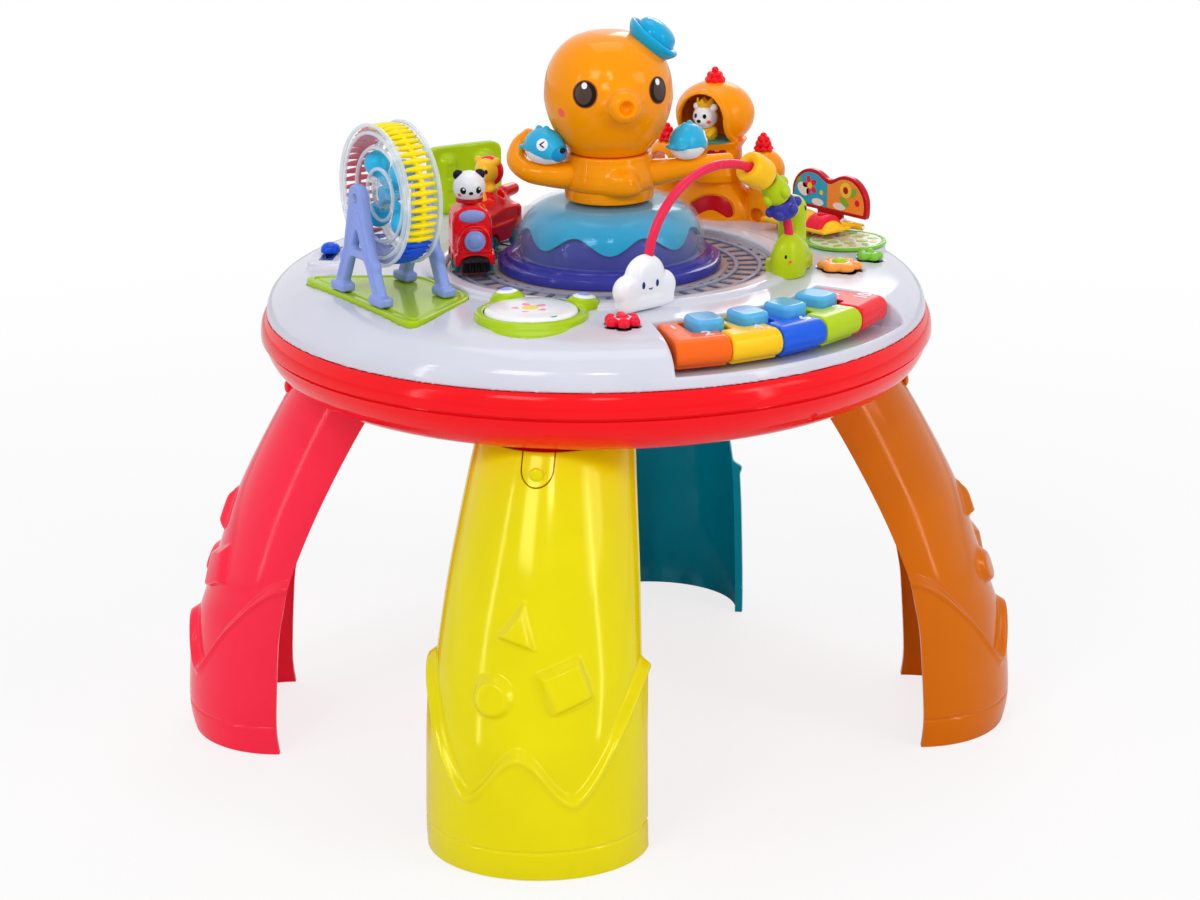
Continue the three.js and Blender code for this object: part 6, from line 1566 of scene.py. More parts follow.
def build_bear(sizes):
    place = castle_place() @ at(-13, 0, 0, 180)
    centre = (2, 0, 404.4)
    head = join(ball(*centre, 9), ball(9.6, 0, 401.8, 2.9, 3.6, 2.6), soft=2)
    ears = both_sides(ball(1.4, 7, 411.4, 2.8))
    trunk = ball(0, 0, 392.6, 7, 8.4, 7.6)
    arms = both_sides(limb([(2.6, 6.8, 395), (6.8, 4.8, 392)], [2.6, 2.4]))
    obj = sculpt("bear", join(head, ears, soft=1), (-10, -12, 390), (14, 12, 417), 0.55, place)
    dress(obj, looks["white"], "table", "white", "bear_figure")
    suit = cut(common(join(trunk, arms, soft=1), above(386.3)), grown(head, 0.1))
    obj = sculpt("bear_suit", suit, (-10, -12, 385), (14, 12, 402), 0.5, place)
    dress(obj, looks["gold"], "table", "bead_yellow")
    points, faces = [], []
    count = 30
    for ring_at, (r, z) in enumerate(((5.4, 411.8), (6.2, 415))):
        for i in range(count):
            x, y = polar(r, 360 * i / count)
            points.append((2 + x, y,
                z + (3 if ring_at and i % 6 == 0 else 0) + (1.6 if ring_at and i % 6 in (1, 5) else 0)))
    for ring_at, (r, z) in enumerate(((4.9, 415), (4.2, 411.8))):
        for i in range(count):
            x, y = polar(r, 360 * i / count)
            points.append((2 + x, y, z + (3 if not ring_at and i % 6 == 0 else 0)
                           + (1.6 if not ring_at and i % 6 in (1, 5) else 0)))
    for a in range(4):
        for i in range(count):
            j, b = (i + 1) % count, (a + 1) % 4
            faces.append([a * count + i, a * count + j, b * count + j, b * count + i])
    crown = new_object("crown", points, faces, place)
    dress(crown, looks["gold"], "table", "bead_yellow")
    face_parts(place, centre, 9, [("black", -24, 1.6, 1.3, 1.7, 0.25), ("black", 24, 1.6, 1.3, 1.7, 0.25),
                                  ("cheek", 44, -2.6, 1.7, 1.4, 0.2), ("cheek", -44, -2.6, 1.7, 1.4, 0.2)],
               "table", {"cheek": "red"})
    tip = sculpt("bear_nose", ball(12.2, 0, 402.6, 1.2, 1.7, 1.3), (10, -3, 400), (14, 3, 406), 0.35, place)
    dress(tip, looks["black"], "table", "black")


# Arch with its cloud, worm and beads; the arch lies in the plane y = ARCH_Y

ARCH_X, ARCH_Y, ARCH_Z, ARCH_R = 7.5, -118.0, 353.5, 63.0


def on_arch(turn, radius=ARCH_R):
    return ARCH_X + radius * cos(turn), ARCH_Y, ARCH_Z + radius * sin(turn)


def build_arch(sizes):
    points = [on_arch(t) for t in range(-7, 188, 3)]
    rail = tube("arch_rod_look", points, 3.1, 32)
    dress(rail, looks["rod"], "table", "leg_pink", "arch_rod")

    x0 = -58.5
    lobes = [ball(x0 + 0.6, ARCH_Y, 352, 16, 8.2, 15.2), ball(x0 - 14, ARCH_Y, 345.4, 11, 7.6, 10.4),
             ball(x0 + 14.6, ARCH_Y, 344.6, 11, 7.6, 10.4), brick(x0 - 22, x0 + 22.6, ARCH_Y - 7,
                 ARCH_Y + 7, 331, 343, 5)]
    cloud = join(*lobes, soft=1.6)
    cloud = common(cloud, brick(-90, -25, ARCH_Y - 6.5, ARCH_Y + 6.5, 331, 372, 2.4), soft=1.5)
    obj = sculpt("cloud", cloud, (-89, -126, 330), (-28, -110, 369), 0.6)
    dress(obj, looks["cloud"], "table", "white", "arch_cloud")
    for n, dx in enumerate((-5.6, 6)):
        eye = decal(f"cloud_eye_{n}", cloud, oval(1.25, 2.4), (x0 + dx, ARCH_Y - 6.5, 348.6), (0, -1, 0),
            0.15)
        dress(eye, looks["ink"], "table", "royal_blue")
    arc = [on_smile for on_smile in ((x0 + 0.4 + 1.5 * cos(a), ARCH_Y - 6.5,
        346.6 + 1.2 * sin(a)) for a in range(-160, -19, 14))]
    dress(tube("cloud_smile", arc, 0.42, 10), looks["ink"], "table", "royal_blue")


def build_worm(sizes):
    hump = join(ball(71, -117.5, 342, 14, 10, 19.4), ball(82, -108, 342, 14, 11, 14), soft=5)
    tall = join(limb([(91.6, -98.6, 337), (91, -99, 368)], [10, 9.2]), ball(91, -99, 371.6, 10.2, 9.2,
        9.6), soft=3)
    shape = join(hump, tall, brick(61, 100, -112, -103, 331, 343, 3), soft=4)
    shape = common(shape, above(331))
    shape = cut(shape, ring(91.2, -99, 361.4, 10.4, 0.9), soft=0.8)
    obj = sculpt("worm", shape, (56, -129, 330), (104, -88, 383), 0.7)
    dress(obj, looks["worm"], "table", "green", "arch_worm")
    marks = [("black", (84, -106, 372.6), (-0.6, -0.8, 0.1), 1.3, 1.8), ("black", (95, -107.4, 372.6),
        (0.3, -1, 0.1), 1.3, 1.8),
             ("black", (62.6, -123.6, 347), (-0.9, -0.6, 0), 0.8, 1.3), ("cheek", (64.6, -125, 343.4),
                 (-0.6, -0.8, 0), 1.3, 1.1)]
    for n, (key, centre, aim, rx, ry) in enumerate(marks):
        mark = decal(f"worm_mark_{n}", shape, oval(rx, ry), centre, aim, 0.15)
        dress(mark, looks[key], "table", "black" if key == "black" else "red")


def build_beads(sizes):
    for name, turn, key, slot_name, outside, knobs in (
            ("bead_yellow", 58.7, "gold", "bead_yellow",
             [(6.4, -9.8), (8.8, -9.4), (10.6, -7), (11.2, -1), (11.2, 4), (10.7, 8), (9, 9.6), (6,
                 9.4)], None),
            ("bead_green", 39.4, "worm", "green",
             [(6, -8.2), (8, -8.4), (9, -5), (8.8, 0), (8.2, 4), (7.4, 7.4), (5.8, 8)], (9, -2.4, 3, 4.4,
                 4)),
            ("bead_purple", 24.6, "plinth", "plinth_purple",
             [(5.6, -6.6), (8, -6.2), (9.6, -3), (9.8, 0), (9.4, 3), (8, 5.8), (5.6, 6.4)], (9.8, 0, 3.2,
                 3.6, 6))):
        place = toward(on_arch(turn), (-sin(turn), 0, cos(turn)))
        outside = [tuple(p) for p in flow(outside, 5)]
        inner = [(4.2, outside[-1][1] - 1), (3.5, outside[-1][1] - 2), (3.5, outside[0][1] + 2), (4.2,
            outside[0][1] + 1)]
        bead = lathe(f"{name}_look", outside + inner, 64, place, True)
        if knobs:
            away, along, size, tall, count = knobs
            lumps = [sculpt("lump", ball(*polar(away, 360 * i / count), along, size, size, tall), (-15,
                -15, -8), (15, 15, 8),
                            0.55, place) for i in range(count)]
            bead = gather(f"{name}_look", [bead] + lumps)
        dress(bead, looks[key], name, slot_name, name)


# Frog drum: x towards the rim of the table

def build_drum(sizes):
    place = at(*DRUM_PLACE, 0, DRUM_TURN)
    frog = join(rod(0, 0, 330.8, 37, 3.9, 2, 3), ball(22, 6, 328, 24, 27, 6.2), soft=3)
    frog = cut(common(frog, above(328.5), soft=0.5), rod(0, 0, 340, 31, 30), soft=0.8)
    lids = [cut(ball(-31, side * 25.4, 330.6, 12, 12.2, 9.2), rod(0, 0, 340, 31, 30), below(328.6),
        soft=0.8)
            for side in (-1, 1)]
    obj = sculpt("frog", join(frog, *lids, soft=1), (-46, -44, 327), (50, 44, 342), 0.75, place)
    dress(obj, looks["green"], "table", "green", "drum_frame")
    for side in (-1, 1):
        for key, rx, rise, slot_name in (("white", 7.4, 0.2, "white"), ("lilac", 4.2, 0.6, "royal_blue")):
            eye = decal(f"frog_{key}_{side + 1}", lids[(side + 1) // 2], oval(rx, rx), (-31.4,
                side * 26.4, 339.6), (0.1, 0, 1),
                        rise, place)
            dress(eye, looks[key], "table", slot_name)
    pad = lathe("drum_pad_look", [(0, 320.2), (5, 320.2), (5, 331), (29.6, 331), (30.3, 331.8), (30.3, 334),
                                  (29.4, 335.6), (26, 336.5), (18, 336.9), (0,
                                      337.1)], 128, place, crease=50)
    dress(pad, looks["white"], "drum_pad", "white", "drum_pad")
    prints = [("pad_grass", "grass", [(-20, 12, 7.5, 5, 20), (-16, -15, 8, 5, -30), (14, 17, 6, 4.4, 40)]),
              ("pad_leaf", "leaf", [(-12, 3, 5, 3.4, 10), (9, -16, 7, 4, -20), (20, 4, 4, 6, 0), (0, 20,
                  4, 3, 20)]),
              ("pad_sun", "sun", [(2, 0, 5.4, 5.4, 0), (-3, -21, 3, 3, 0), (18, -7, 2.4, 2.4, 0)]),
              ("pad_pink", "pink", [(2 + 8.6 * cos(72 * i), 8.6 * sin(72 * i), 3.6, 2.6,
                  72 * i) for i in range(5)])]
    for name, key, blobs in prints:
        print_on(name, key, blobs, 336.2, 336.95, 30.3, place, "drum_pad")


def print_on(name, key, blobs, low, high, edge, place, body):
    """Flat printed shapes: ellipses given by place, half lengths and turn."""
    parts = []
    for x, y, rx, ry, turn in blobs:
        outline = [(x + rx * cos(a) * cos(turn) - ry * sin(a) * sin(turn),
                    y + rx * cos(a) * sin(turn) + ry * sin(a) * cos(turn)) for a in range(0, 360, 15)]
        near = max(math.hypot(*p) for p in outline)
        crown = high + 0.22 - 0.9 * (min(near, edge) / edge) ** 2
        points, faces = bar(outline, low - 1, crown)
        parts.append(new_object("ink", points, faces, place))
    dress(gather(name, parts), looks[key], body, "white")


# Piano

key_looks = ("orange_key", "yellow_key", "blue_key", "green_key", "red_key")
key_slots = ("orange", "bead_yellow", "royal_blue", "green", "red")
SMALL_TURN = 1.4


digit_places = (((177, -114), (198, -109.2)), ((178, -103.1), (199, -98.9)), ((178.6, -92.8), (200.6,
    -88.2)),
                ((179, -82.4), (200, -77.8)), ((181, -69.4), (199, -68)))


def written(text, size, place):
    """A raised number, from the built-in font."""
    font = bpy.data.curves.new("digit", "FONT")
    font.body, font.size = text, size
    font.extrude, font.offset = 0.5, 0.28
    font.align_x, font.align_y = "CENTER", "CENTER"
    font.resolution_u = 5
    holder = bpy.data.objects.new("digit", font)
    bpy.context.scene.collection.objects.link(holder)
    bpy.context.view_layer.update()
    mesh = bpy.data.meshes.new_from_object(holder.evaluated_get(bpy.context.evaluated_depsgraph_get()))
    bpy.data.objects.remove(holder)
    bpy.data.curves.remove(font)
    mesh.transform(Matrix.Scale(MM, 4) @ place)
    obj = bpy.data.objects.new("digit", mesh)
    bpy.context.scene.collection.objects.link(obj)
    return obj


def small_key_place(i):
    return at(*polar(179.75, -116.4 + 10.2 * i - SMALL_TURN), 0, -116.4 + 10.2 * i - SMALL_TURN)


def build_keys(sizes):
    for i in range(5):
        start, end = -116.4 + 10.2 * i, -116.4 + 10.2 * (i + 1)
        middle = (start + end) / 2
        place = at(0, 0, 0, middle)
        side = wedge(163.7, 213.3, -5.1, 5.1)
        sides = grown(side, -0.4)
        top = join(brick(150, 205.4, -40, 40, 300, 329.6), rod(204.3, 0, 320.6, 9, 40, 1))
        top = common(top, brick(150, 213.3, -40, 40, 309.9, 329.6))
        solid = common(sides, top, soft=2.6)
        notches = []
        for n in (i, i + 1):
            if 0 < n < 5:
                offset = (-5.1 if n == i else 5.1) - SMALL_TURN
                notches.append(placed(brick(-13.5, 13.5, -13.2, 13.2, 300, 345, 3), at(*polar(179.75,
                    offset), 0, offset)))
        solid = cut(solid, *notches, soft=1.2)
        under = brick(168, 207, -14, 14, 300, 324, 2)
        shape = cut(solid, common(grown(solid, -2.4), under))
        obj = sculpt(f"key_{i + 1}_look", shape, (160, -20, 308), (216, 20, 332), 0.75, place)
        dress(obj, looks[key_looks[i]], f"key_{i + 1}", key_slots[i], f"key_{i + 1}")
        for n, (away, turn) in enumerate(digit_places[i]):
            digit = written(str(2 * i + 1 + n), 10.5 + 3 * n, at(0, 0, 0, turn) @ at(away, 0, 329.3, 90))
            digit.name = f"digit_{2 * i + 1 + n}"
            dress(digit, looks["white"], f"key_{i + 1}", "white")
    for i in range(1, 5):
        place = small_key_place(i)
        outline = rounded([(-12.4, -11), (12.4, -11), (12.4, 11), (-12.4, 11)], 8, 8)
        crowned = prism(outline, 311.6, 336.1, 3)
        stem = rod(0, 0, 305, 3.6, 6)
        obj = sculpt(f"small_key_{i}_look", join(crowned, stem), (-13, -13, 298), (13, 13, 338), 0.65,
            place)
        dress(obj, looks["sky"], f"small_key_{i}", "sky_blue", f"small_key_{i}")


# Buttons on the deck

def build_flowers(sizes):
    for name, key, radius, azimuth, size, petals, top, share, soft in flower_list:
        x, y = polar(radius, azimuth)
        place = at(x, y, 0, azimuth)
        low = height_on_deck(x, y) + 0.5
        petal = size * share
        parts = [ball(*polar(size - petal, 360 * n / petals), low + 1.8, petal, petal,
            4.4 if key == "petal_red" else 3.4)
                 for n in range(petals)]
        bloom = join(*parts, rod(0, 0, low + 1.8, size * HEART_SHARE, 2.6, 2, 1.2), soft=soft)
        bloom = common(bloom, above(low), soft=0.5)
        dimple = ball(0, 0, low + 5.8, size * 0.5, size * 0.5, 2.2)
        stem = rod(0, 0, 322, 4.4 if size > 10 else 4, 3.6)
        shape = join(cut(bloom, dimple, soft=1), stem)
        obj = sculpt(f"{name}_look", shape, (-size - 2, -size - 2, 317), (size + 2, size + 2, low + 8),
            0.55, place)
        dress(obj, looks[key], name, {"petal_red": "red", "apricot": "orange", "leaf": "green"}[key], name)
        collar = lathe(f"{name}_ring", [(size * 0.4, low + 2), (size * 0.52, low + 3.4), (size * 0.5,
            low + 4.6),
                                        (size * 0.42, low + 4.9), (size * 0.34, low + 4)], 60, place, True)
        dress(collar, looks["white"], name, "white")
        heart = lathe(f"{name}_heart", [(0, low + 2.4), (size * 0.36, low + 2.4), (size * 0.36, low + 4)]
                      + [(size * 0.36 * cos(a), low + 4 + (top - low - 4) * sin(a)) for a in range(15, 91,
                          15)][:-1]
                      + [(0, top)], 60, place)
        dress(heart, looks[{"petal_red": "petal_red", "apricot": "worm", "leaf": "leaf"}[key]], name,
            "green")


def build_disc(sizes):
    place = at(*DISC_PLACE)
    disc = lathe("disc_look", [(0, 317), (4.1, 317), (4.1, 331), (27.6, 331), (28.5, 331.5), (28.6,
        332.6), (28.2, 333.3),
                               (27.2, 333.5), (26, 333.2), (25.6, 332.8), (0, 332.8)], 128, place)
    dress(disc, looks["leaf"], "picture_disc", "green", "picture_disc")
    sheet = lathe("disc_sheet", [(0, 332.9), (25.2, 332.9), (25.2, 333.1), (0, 333.1)], 96, place)
    dress(sheet, looks["sheet"], "picture_disc", "white")
    prints = [("disc_fruit", "sheet_olive", [(12 * cos(60 * i), 12 * sin(60 * i), 4.2, 3.4,
        30 * i) for i in range(6)]),
              ("disc_leaves", "sheet_leaf", [(19.6 * cos(60 * i + 30), 19.6 * sin(60 * i + 30), 4, 2.2,
                  60 * i) for i in range(6)]),
              ("disc_peel", "sheet_tan", [(0, 0, 5, 5, 0)] + [(20 * cos(60 * i), 20 * sin(60 * i), 2.6,
                  2.6, 0) for i in range(6)]),
              ("disc_sky", "sheet_grey", [(7 * cos(60 * i + 30), 7 * sin(60 * i + 30), 1.8, 1.8,
                  0) for i in range(6)])]
    for name, key, blobs in prints:
        print_on(name, key, blobs, 333.4, 333.2, 1000, place, "picture_disc")


def build_slider(sizes):
    place = at(*polar(184, 133.8), 0, 133.8)
    # The thin plate round the slot, in the dark ink colour, is painted shade: the slot in the white ledge
    # looks dark only from shade.
    slot_shade = sculpt("slider_slot_shade", brick(-5, 5, -20, 20, 333.2, 334.25, 0.3), (-7, -22, 332), (7, 22,
        336), 0.5, place)
    tool = sculpt("slot_tool", brick(-2.7, 2.7, -15, 15, 330, 340, 2.4), (-4, -17, 329), (4, 17, 341),
        0.7, place)
    dress(carve(slot_shade, tool), looks["ink"], "table", "deck_white")
    knob = lathe("slider_look", [(0, 318.4), (2, 318.4), (2, 334.8), (5.4, 334.8), (6.8, 335.4), (7,
        336.6), (6.4, 339),
                                 (4.8, 341), (2.4, 341.9), (0, 342)], 48, place)
    dress(knob, looks["royal"], "slider_knob", "royal_blue", "slider_knob")


def book_place():
    return at(*BOOK_PLACE)


def build_book(sizes):
    place = book_place()
    knuckles = ((35.8, 2), (-13.4, 1.2), (13.4, 1.2))
    cheeks = [rod(0, y, 337, 3.6, half, 1, 0.6) for y, half in knuckles]
    posts = [brick(-3.4, 3.4, y - half, y + half, 330, 337, 0.6) for y, half in knuckles]
    shape = join(brick(-7, 7, -33, 38, 327, 332.6, 1.6), *cheeks, *posts, soft=1)
    disc_room = rod(DISC_PLACE[0] - BOOK_PLACE[0], DISC_PLACE[1] - BOOK_PLACE[1], 337, 29.4, 6.5)
    shape = cut(shape, disc_room)
    obj = sculpt("book_spine_look", shape, (-8, -34, 326), (8, 39, 342), 0.6, place)
    pin = tube("book_pin", [(0, -33, 337), (0, 37, 337)], 1.1, 16, place)
    dress(gather("book_hinge", [obj, pin]), looks["white"], "table", "white", "book_spine")

    lobes = join(ball(0, -17.6, 351.6, 200, 20.4, 20), ball(0, 17.6, 351.6, 200, 20.4, 20), ball(0, 0,
        350, 200, 20, 14),
                 soft=7)
    slab = common(lobes, brick(-2.4, 2.4, -38, 38, 343.1, 371.9, 1.4), soft=0.8)
    neck = join(brick(-1.8, 1.8, -12, 12, 336, 345, 0.6), rod(0, 0, 337, 2.5, 12, 1))
    neck = cut(neck, rod(0, 0, 337, 1.5, 30, 1))
    obj = sculpt("page_printed_look", join(slab, neck, soft=1), (-4, -40, 333), (4, 40, 374), 0.62, place)
    dress(obj, looks["dark_red"], "page_printed", "red", "page_printed")
    room = brick(-2.6, 2.6, -36, 36, 345.8, 370, 0.3)
    face = common(grown(lobes, -2.4), room)
    for key, side, name in (("fish", 1, "page_left"), ("apricot", -1, "page_right")):
        half = common(face, lambda x, y, z: -side * (y - 1.5))
        dress(sculpt(name, half, (-3.5, -40, 344), (3.5, 40, 372), 0.5, place), looks[key],
            "page_printed", "white")
    prints = (("page_ground", "belly", [(26, 356, 6, 4.4, 30), (11, 348.6, 6, 2.6, 0), (-11, 349, 6.4,
        2.6, 0)]),
              ("page_bloom", "petal_red", [(19 + 4.6 * cos(72 * i), 359.4 + 4.6 * sin(72 * i), 2.8, 2.1,
                  72 * i)
                                           for i in range(5)] + [(-29, 354, 2.4, 2.4, 0)]),
              ("page_leaf", "leaf", [(-16, 353, 5.4, 2.6, 30), (30, 362, 3, 1.8, -40), (-25, 360.6, 4.4,
                  2.4, -50)]),
              ("page_sun", "sun", [(19, 359.4, 2.4, 2.4, 0), (-17.6, 361.6, 5.6, 5.6, 0), (7, 356, 1.8,
                  1.8, 0)]),
              ("page_core", "dark_red", [(-17.6, 361.6, 2.6, 2.6, 0)]))
    for name, key, blobs in prints:
        parts = []
        for u, v, ru, rv, turn in blobs:
            outline = [(u + ru * cos(a) * cos(turn) - rv * sin(a) * sin(turn),
                        v + ru * cos(a) * sin(turn) + rv * sin(a) * cos(turn)) for a in range(0, 360, 20)]
            deep = 2.75 + (0.12 if key in ("sun", "dark_red") else 0) + (0.12 if key == "dark_red" else 0)
            points, faces = bar(outline, -deep, deep)
            parts.append(new_object("ink", [(z, x, y) for x, y, z in points], faces, place))
        dress(gather(name, parts), looks[key], "page_printed", "white")


def build_bee(sizes):
    place = book_place()
    slab = brick(-38.6, -11.6, -32.6, 32.6, 337.1, 339.8, 1.2)
    room = brick(-38.6, -11.6, -33, 33, 337.2, 347.4, 2.4)
    body = common(ball(-25, 4, 336, 15, 17, 12.4), brick(-39.5, -10.5, -33, 33, 337.2, 348.6, 2.4), soft=1)
    band = common(rod(-25, -18, 336, 12.4, 7.6, 1, 2), brick(-39.5, -10.5, -33, 33, 337.2, 348.6, 2.4),
        soft=1)
    tail = common(ball(-25, -26, 337.6, 9.4, 7, 7), room, soft=1)
    arms = [limb([(-12, y, 339), (-2, y, 337)], [2.5, 2.5]) for y in (-23, 23)]
    barrels = [cut(rod(0, y, 337, 2.5, 8, 1), rod(0, y, 337, 1.5, 30, 1)) for y in (-24, 24)]
    feet = [rod(-25, y, 333.6, 2.9, 3.6, 2, 0.6) for y in (-2, 26)]
    gold = cut(join(join(body, tail), slab, *arms, *barrels, *feet, soft=0.6), grown(band, 0.1))
    obj = sculpt("page_bee_look", gold, (-42, -36, 329), (4, 36, 350), 0.7, place)
    dress(obj, looks["gold"], "page_bee", "bead_yellow", "page_bee")
    hole = rod(-26, -18, 349, 3.4, 3)
    dress(sculpt("bee_band", cut(band, hole, soft=0.6), (-41, -28, 336), (-9, -8, 350), 0.55, place),
        looks["petal_red"],
          "page_bee", "red")
    dress(sculpt("bee_dot", rod(-26, -18, 346, 3.3, 0.6), (-31, -23, 344), (-21, -13, 348), 0.4, place),
          looks["dark_red"], "page_bee", "red")
    eye = decal("bee_eye", body, oval(2.4, 2.8), (-36, 5, 343.4), (-1, 0.05, 0.7), 0.15, place)
    dress(eye, looks["black"], "page_bee", "black")
    cheek = decal("bee_cheek", body, oval(1.7, 1.5), (-38.6, -1.5, 340.8), (-1, -0.2, 0.3), 0.15, place)
    dress(cheek, looks["cheek"], "page_bee", "red")


def build_panel(sizes):
    place = at(0, 0, 0, 79)
    wall = common(wedge(196.6, 203.4, -8.6, 8.6), brick(150, 250, -60, 60, 326, 379))
    wall = common(wall, brick(150, 250, -29.9, 29.9, 300, 378.9, 8), soft=2)
    bulges = [common(rod(*polar(199.4, a), 350, 7.8, 22.4, 2, 6), above(326)) for a in (-4.2, 4.2)]
    shape = join(common(wall, above(325.8)), *bulges, soft=2.4)
    for a in (-4.2, 4.2):
        x, y = polar(191.8, a)
        for height in (341, 360):
            shape = cut(shape, placed(brick(-1.8, 0.9, -4.6, 4.6, -5.6, 5.6, 2), at(x, y, height, a)),
                soft=0.6)
    obj = sculpt("back_panel_look", shape, (188, -32, 325), (210, 32, 381), 0.8, place)
    dress(obj, looks["green"], "table", "green", "back_panel")


def build_inside(sizes):
    """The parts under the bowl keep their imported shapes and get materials."""
    for node, key in (("battery_door", "bowl"), ("speaker", "cone"), ("main_board", "board")):
        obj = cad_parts[node]
        obj.data.materials.clear()
        obj.data.materials.append(looks[key])


# Add-on

class TableSizes(bpy.types.PropertyGroup):
    """Sizes and counts of the dressed table."""
    floor_glow: FloatProperty(name="Floor Glow",
        description="Share of the floor's own white that the camera sees",
                              default=0.78, min=0, max=1, subtype="FACTOR")
    ties: IntProperty(name="Ties", description="Number of ties on the track", default=44, min=8, max=120)
    treads: IntProperty(name="Treads", description="Number of bars round the rattle wheel", default=52,
        min=12, max=64)
    tread_start: FloatProperty(name="Tread Start",
        description="Turn of the wheel's colours round its axle, in degrees",
                               default=0)
    wave_rise: FloatProperty(name="Wave Rise", description="Height of the waves of the cap under the dome",
                             default=0.011, min=0, max=0.015, unit="LENGTH", subtype="DISTANCE")


def tint(label, what, colour):
    return FloatVectorProperty(name=label, description=f"Colour of {what}", default=linear(colour),
        size=3, min=0, max=1,
                               subtype="COLOR")


class TableColours(bpy.types.PropertyGroup):
    """Colours of the main plastics."""
    bowl: tint("Bowl", "the bowl", "f5121b")
    deck: tint("Deck", "the deck", "d4d4e0")
    plinth: tint("Plinth", "the drum under the octopus", "3c3c9c")
    wave: tint("Wave", "the wavy cap", "00a0cc")
    yellow_leg: tint("Yellow Leg", "the left front leg", "e6d800")
    orange_leg: tint("Orange Leg", "the right front leg", "d06a00")
    pink_leg: tint("Pink Leg", "the left rear leg", "ff2d4a")
    teal_leg: tint("Teal Leg", "the right rear leg", "00a2ba")
    orange: tint("Orange", "the octopus", "ff9800")
    hat: tint("Hat", "the octopus's hat", "0fa6d6")
    red: tint("Red", "the train", "f4101c")
    white: tint("White", "the white figures", "f2f2f6")
    green: tint("Green", "the green pieces", "a8c80c")
    stand: tint("Stand", "the wheel's stands", "8a9ee0")
    royal: tint("Royal Blue", "the sliding knob", "1450d8")
    sky: tint("Sky Blue", "the small keys", "58b2e6")


class PieceOperator:
    bl_options = {"REGISTER", "UNDO"}

    def execute(self, context):
        type(self).build(context.scene.table_sizes)
        return {"FINISHED"}


class TABLE_OT_bowl(PieceOperator, bpy.types.Operator):
    """Builds the red bowl with its leg stubs, battery pocket and sound holes."""
    bl_idname = "activity_table.bowl"
    bl_label = "Bowl"
    build = build_bowl


class TABLE_OT_deck(PieceOperator, bpy.types.Operator):
    """Builds the domed deck with its track ridge, seats and holes."""
    bl_idname = "activity_table.deck"
    bl_label = "Deck"
    build = build_deck


class TABLE_OT_legs(PieceOperator, bpy.types.Operator):
    """Builds the four half-tube legs and their release tongues."""
    bl_idname = "activity_table.legs"
    bl_label = "Legs"
    build = build_legs


class TABLE_OT_track(PieceOperator, bpy.types.Operator):
    """Builds the track's ground, ties and rails."""
    bl_idname = "activity_table.track"
    bl_label = "Track"
    build = build_track


class TABLE_OT_plinth(PieceOperator, bpy.types.Operator):
    """Builds the drum, wavy cap and clear dome under the octopus."""
    bl_idname = "activity_table.plinth"
    bl_label = "Plinth"
    build = build_plinth


class TABLE_OT_octopus(PieceOperator, bpy.types.Operator):
    """Builds the octopus: body, arms, head, painted face and hat."""
    bl_idname = "activity_table.octopus"
    bl_label = "Octopus"
    build = build_octopus


class TABLE_OT_fish(PieceOperator, bpy.types.Operator):
    """Builds the two fish that the octopus holds."""
    bl_idname = "activity_table.fish"
    bl_label = "Fish"
    build = build_fish


class TABLE_OT_loco(PieceOperator, bpy.types.Operator):
    """Builds the locomotive with its lamp, windshield, guard and wheels."""
    bl_idname = "activity_table.loco"
    bl_label = "Locomotive"
    build = build_loco


class TABLE_OT_wagon(PieceOperator, bpy.types.Operator):
    """Builds the wagon with its tail, link and wheels."""
    bl_idname = "activity_table.wagon"
    bl_label = "Wagon"
    build = build_wagon


class TABLE_OT_panda(PieceOperator, bpy.types.Operator):
    """Builds the panda on the locomotive."""
    bl_idname = "activity_table.panda"
    bl_label = "Panda"
    build = build_panda


class TABLE_OT_lion(PieceOperator, bpy.types.Operator):
    """Builds the lion in the wagon."""
    bl_idname = "activity_table.lion"
    bl_label = "Lion"
    build = build_lion


class TABLE_OT_wheel(PieceOperator, bpy.types.Operator):
    """Builds the clear drum, its coloured bars and the spinner."""
    bl_idname = "activity_table.wheel"
    bl_label = "Rattle Wheel"
    build = build_wheel


class TABLE_OT_stands(PieceOperator, bpy.types.Operator):
    """Builds the wheel's two stands and the green plate under them."""
    bl_idname = "activity_table.stands"
    bl_label = "Wheel Stands"
    build = build_stands


class TABLE_OT_castle(PieceOperator, bpy.types.Operator):
    """Builds the castle with its niche, turrets and berries."""
    bl_idname = "activity_table.castle"
    bl_label = "Castle"
    build = build_castle


class TABLE_OT_bear(PieceOperator, bpy.types.Operator):
    """Builds the crowned bear in the castle's niche."""
    bl_idname = "activity_table.bear"
    bl_label = "Bear"
    build = build_bear


class TABLE_OT_arch(PieceOperator, bpy.types.Operator):
    """Builds the bent rod and the cloud at its near end."""
    bl_idname = "activity_table.arch"
    bl_label = "Arch"
    build = build_arch


class TABLE_OT_worm(PieceOperator, bpy.types.Operator):
    """Builds the worm that holds the rod's far end."""
    bl_idname = "activity_table.worm"
    bl_label = "Worm"
    build = build_worm


class TABLE_OT_beads(PieceOperator, bpy.types.Operator):
    """Builds the three beads on the rod."""
    bl_idname = "activity_table.beads"
    bl_label = "Beads"
    build = build_beads


class TABLE_OT_drum(PieceOperator, bpy.types.Operator):
    """Builds the frog's frame, its eyes and the printed pad."""
    bl_idname = "activity_table.drum"
    bl_label = "Frog Drum"
    build = build_drum


class TABLE_OT_keys(PieceOperator, bpy.types.Operator):
    """Builds the five numbered keys and the four small keys."""
    bl_idname = "activity_table.keys"
    bl_label = "Piano"
    build = build_keys


class TABLE_OT_flowers(PieceOperator, bpy.types.Operator):
    """Builds the three flower buttons."""
    bl_idname = "activity_table.flowers"
    bl_label = "Flowers"
    build = build_flowers


class TABLE_OT_disc(PieceOperator, bpy.types.Operator):
    """Builds the turning disc with its print."""
    bl_idname = "activity_table.disc"
    bl_label = "Picture Disc"
    build = build_disc


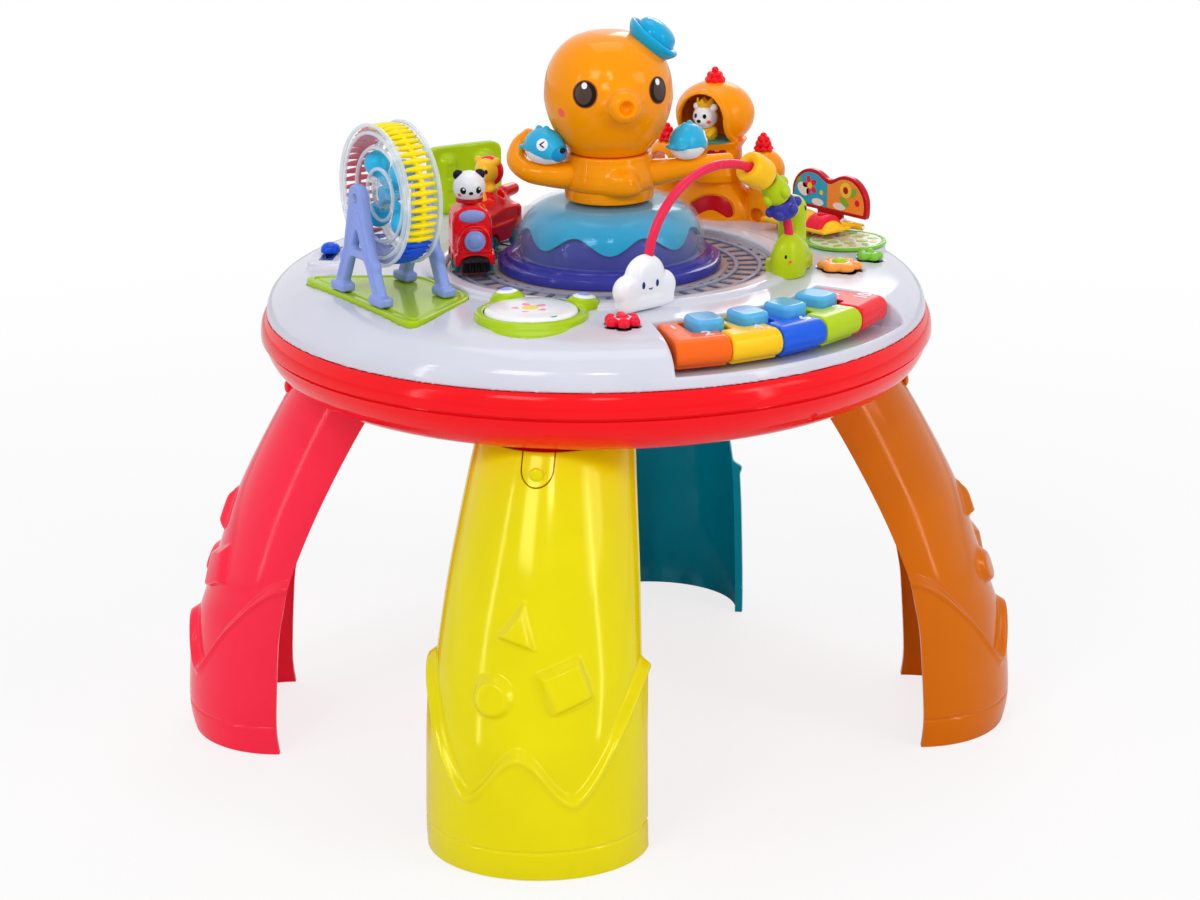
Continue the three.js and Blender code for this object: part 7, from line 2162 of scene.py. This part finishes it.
class TABLE_OT_slider(PieceOperator, bpy.types.Operator):
    """Builds the sliding knob and a thin plate of painted shade round its slot."""
    bl_idname = "activity_table.slider"
    bl_label = "Slider"
    build = build_slider


class TABLE_OT_book(PieceOperator, bpy.types.Operator):
    """Builds the book's spine, pin and printed page."""
    bl_idname = "activity_table.book"
    bl_label = "Book"
    build = build_book


class TABLE_OT_bee(PieceOperator, bpy.types.Operator):
    """Builds the book's page with the bee."""
    bl_idname = "activity_table.bee"
    bl_label = "Bee Page"
    build = build_bee


class TABLE_OT_panel(PieceOperator, bpy.types.Operator):
    """Builds the green panel at the back."""
    bl_idname = "activity_table.panel"
    bl_label = "Back Panel"
    build = build_panel


class TABLE_OT_inside(PieceOperator, bpy.types.Operator):
    """Gives the parts under the bowl their materials."""
    bl_idname = "activity_table.inside"
    bl_label = "Inside"
    build = build_inside


class TABLE_OT_stage(PieceOperator, bpy.types.Operator):
    """Sets up the camera, the pale floor and the studio light."""
    bl_idname = "activity_table.stage"
    bl_label = "Stage"
    build = build_stage


PIECES = (
    TABLE_OT_bowl, TABLE_OT_deck, TABLE_OT_legs, TABLE_OT_track, TABLE_OT_plinth, TABLE_OT_octopus,
    TABLE_OT_fish, TABLE_OT_loco, TABLE_OT_wagon, TABLE_OT_panda, TABLE_OT_lion, TABLE_OT_wheel,
    TABLE_OT_stands, TABLE_OT_castle, TABLE_OT_bear, TABLE_OT_arch, TABLE_OT_worm, TABLE_OT_beads,
    TABLE_OT_drum, TABLE_OT_keys, TABLE_OT_flowers, TABLE_OT_disc, TABLE_OT_slider, TABLE_OT_book,
    TABLE_OT_bee, TABLE_OT_panel, TABLE_OT_inside, TABLE_OT_stage,
)


class TABLE_PT_sidebar(bpy.types.Panel):
    """Sizes, colours and one button for each piece."""
    bl_idname = "TABLE_PT_sidebar"
    bl_label = "Activity Table"
    bl_space_type = "VIEW_3D"
    bl_region_type = "UI"
    bl_category = "Activity Table"

    def draw(self, context):
        for group in (context.scene.table_sizes, context.scene.table_colours):
            box = self.layout.box()
            for name in type(group).__annotations__:
                box.prop(group, name)
        for piece in PIECES:
            self.layout.operator(piece.bl_idname)


CLASSES = (TableSizes, TableColours, *PIECES, TABLE_PT_sidebar)


def register():
    for cls in CLASSES:
        bpy.utils.register_class(cls)
    bpy.types.Scene.table_sizes = PointerProperty(type=TableSizes)
    bpy.types.Scene.table_colours = PointerProperty(type=TableColours)


def unregister():
    del bpy.types.Scene.table_colours
    del bpy.types.Scene.table_sizes
    for cls in reversed(CLASSES):
        bpy.utils.unregister_class(cls)


def main():
    register()
    make_looks(bpy.context.scene.table_colours)
    for piece in PIECES:
        call = getattr(bpy.ops.activity_table, piece.bl_idname.split(".")[1])
        if call() != {"FINISHED"}:
            raise RuntimeError(f"{piece.bl_label} wasn't built")


if __name__ == "__main__":
    main()
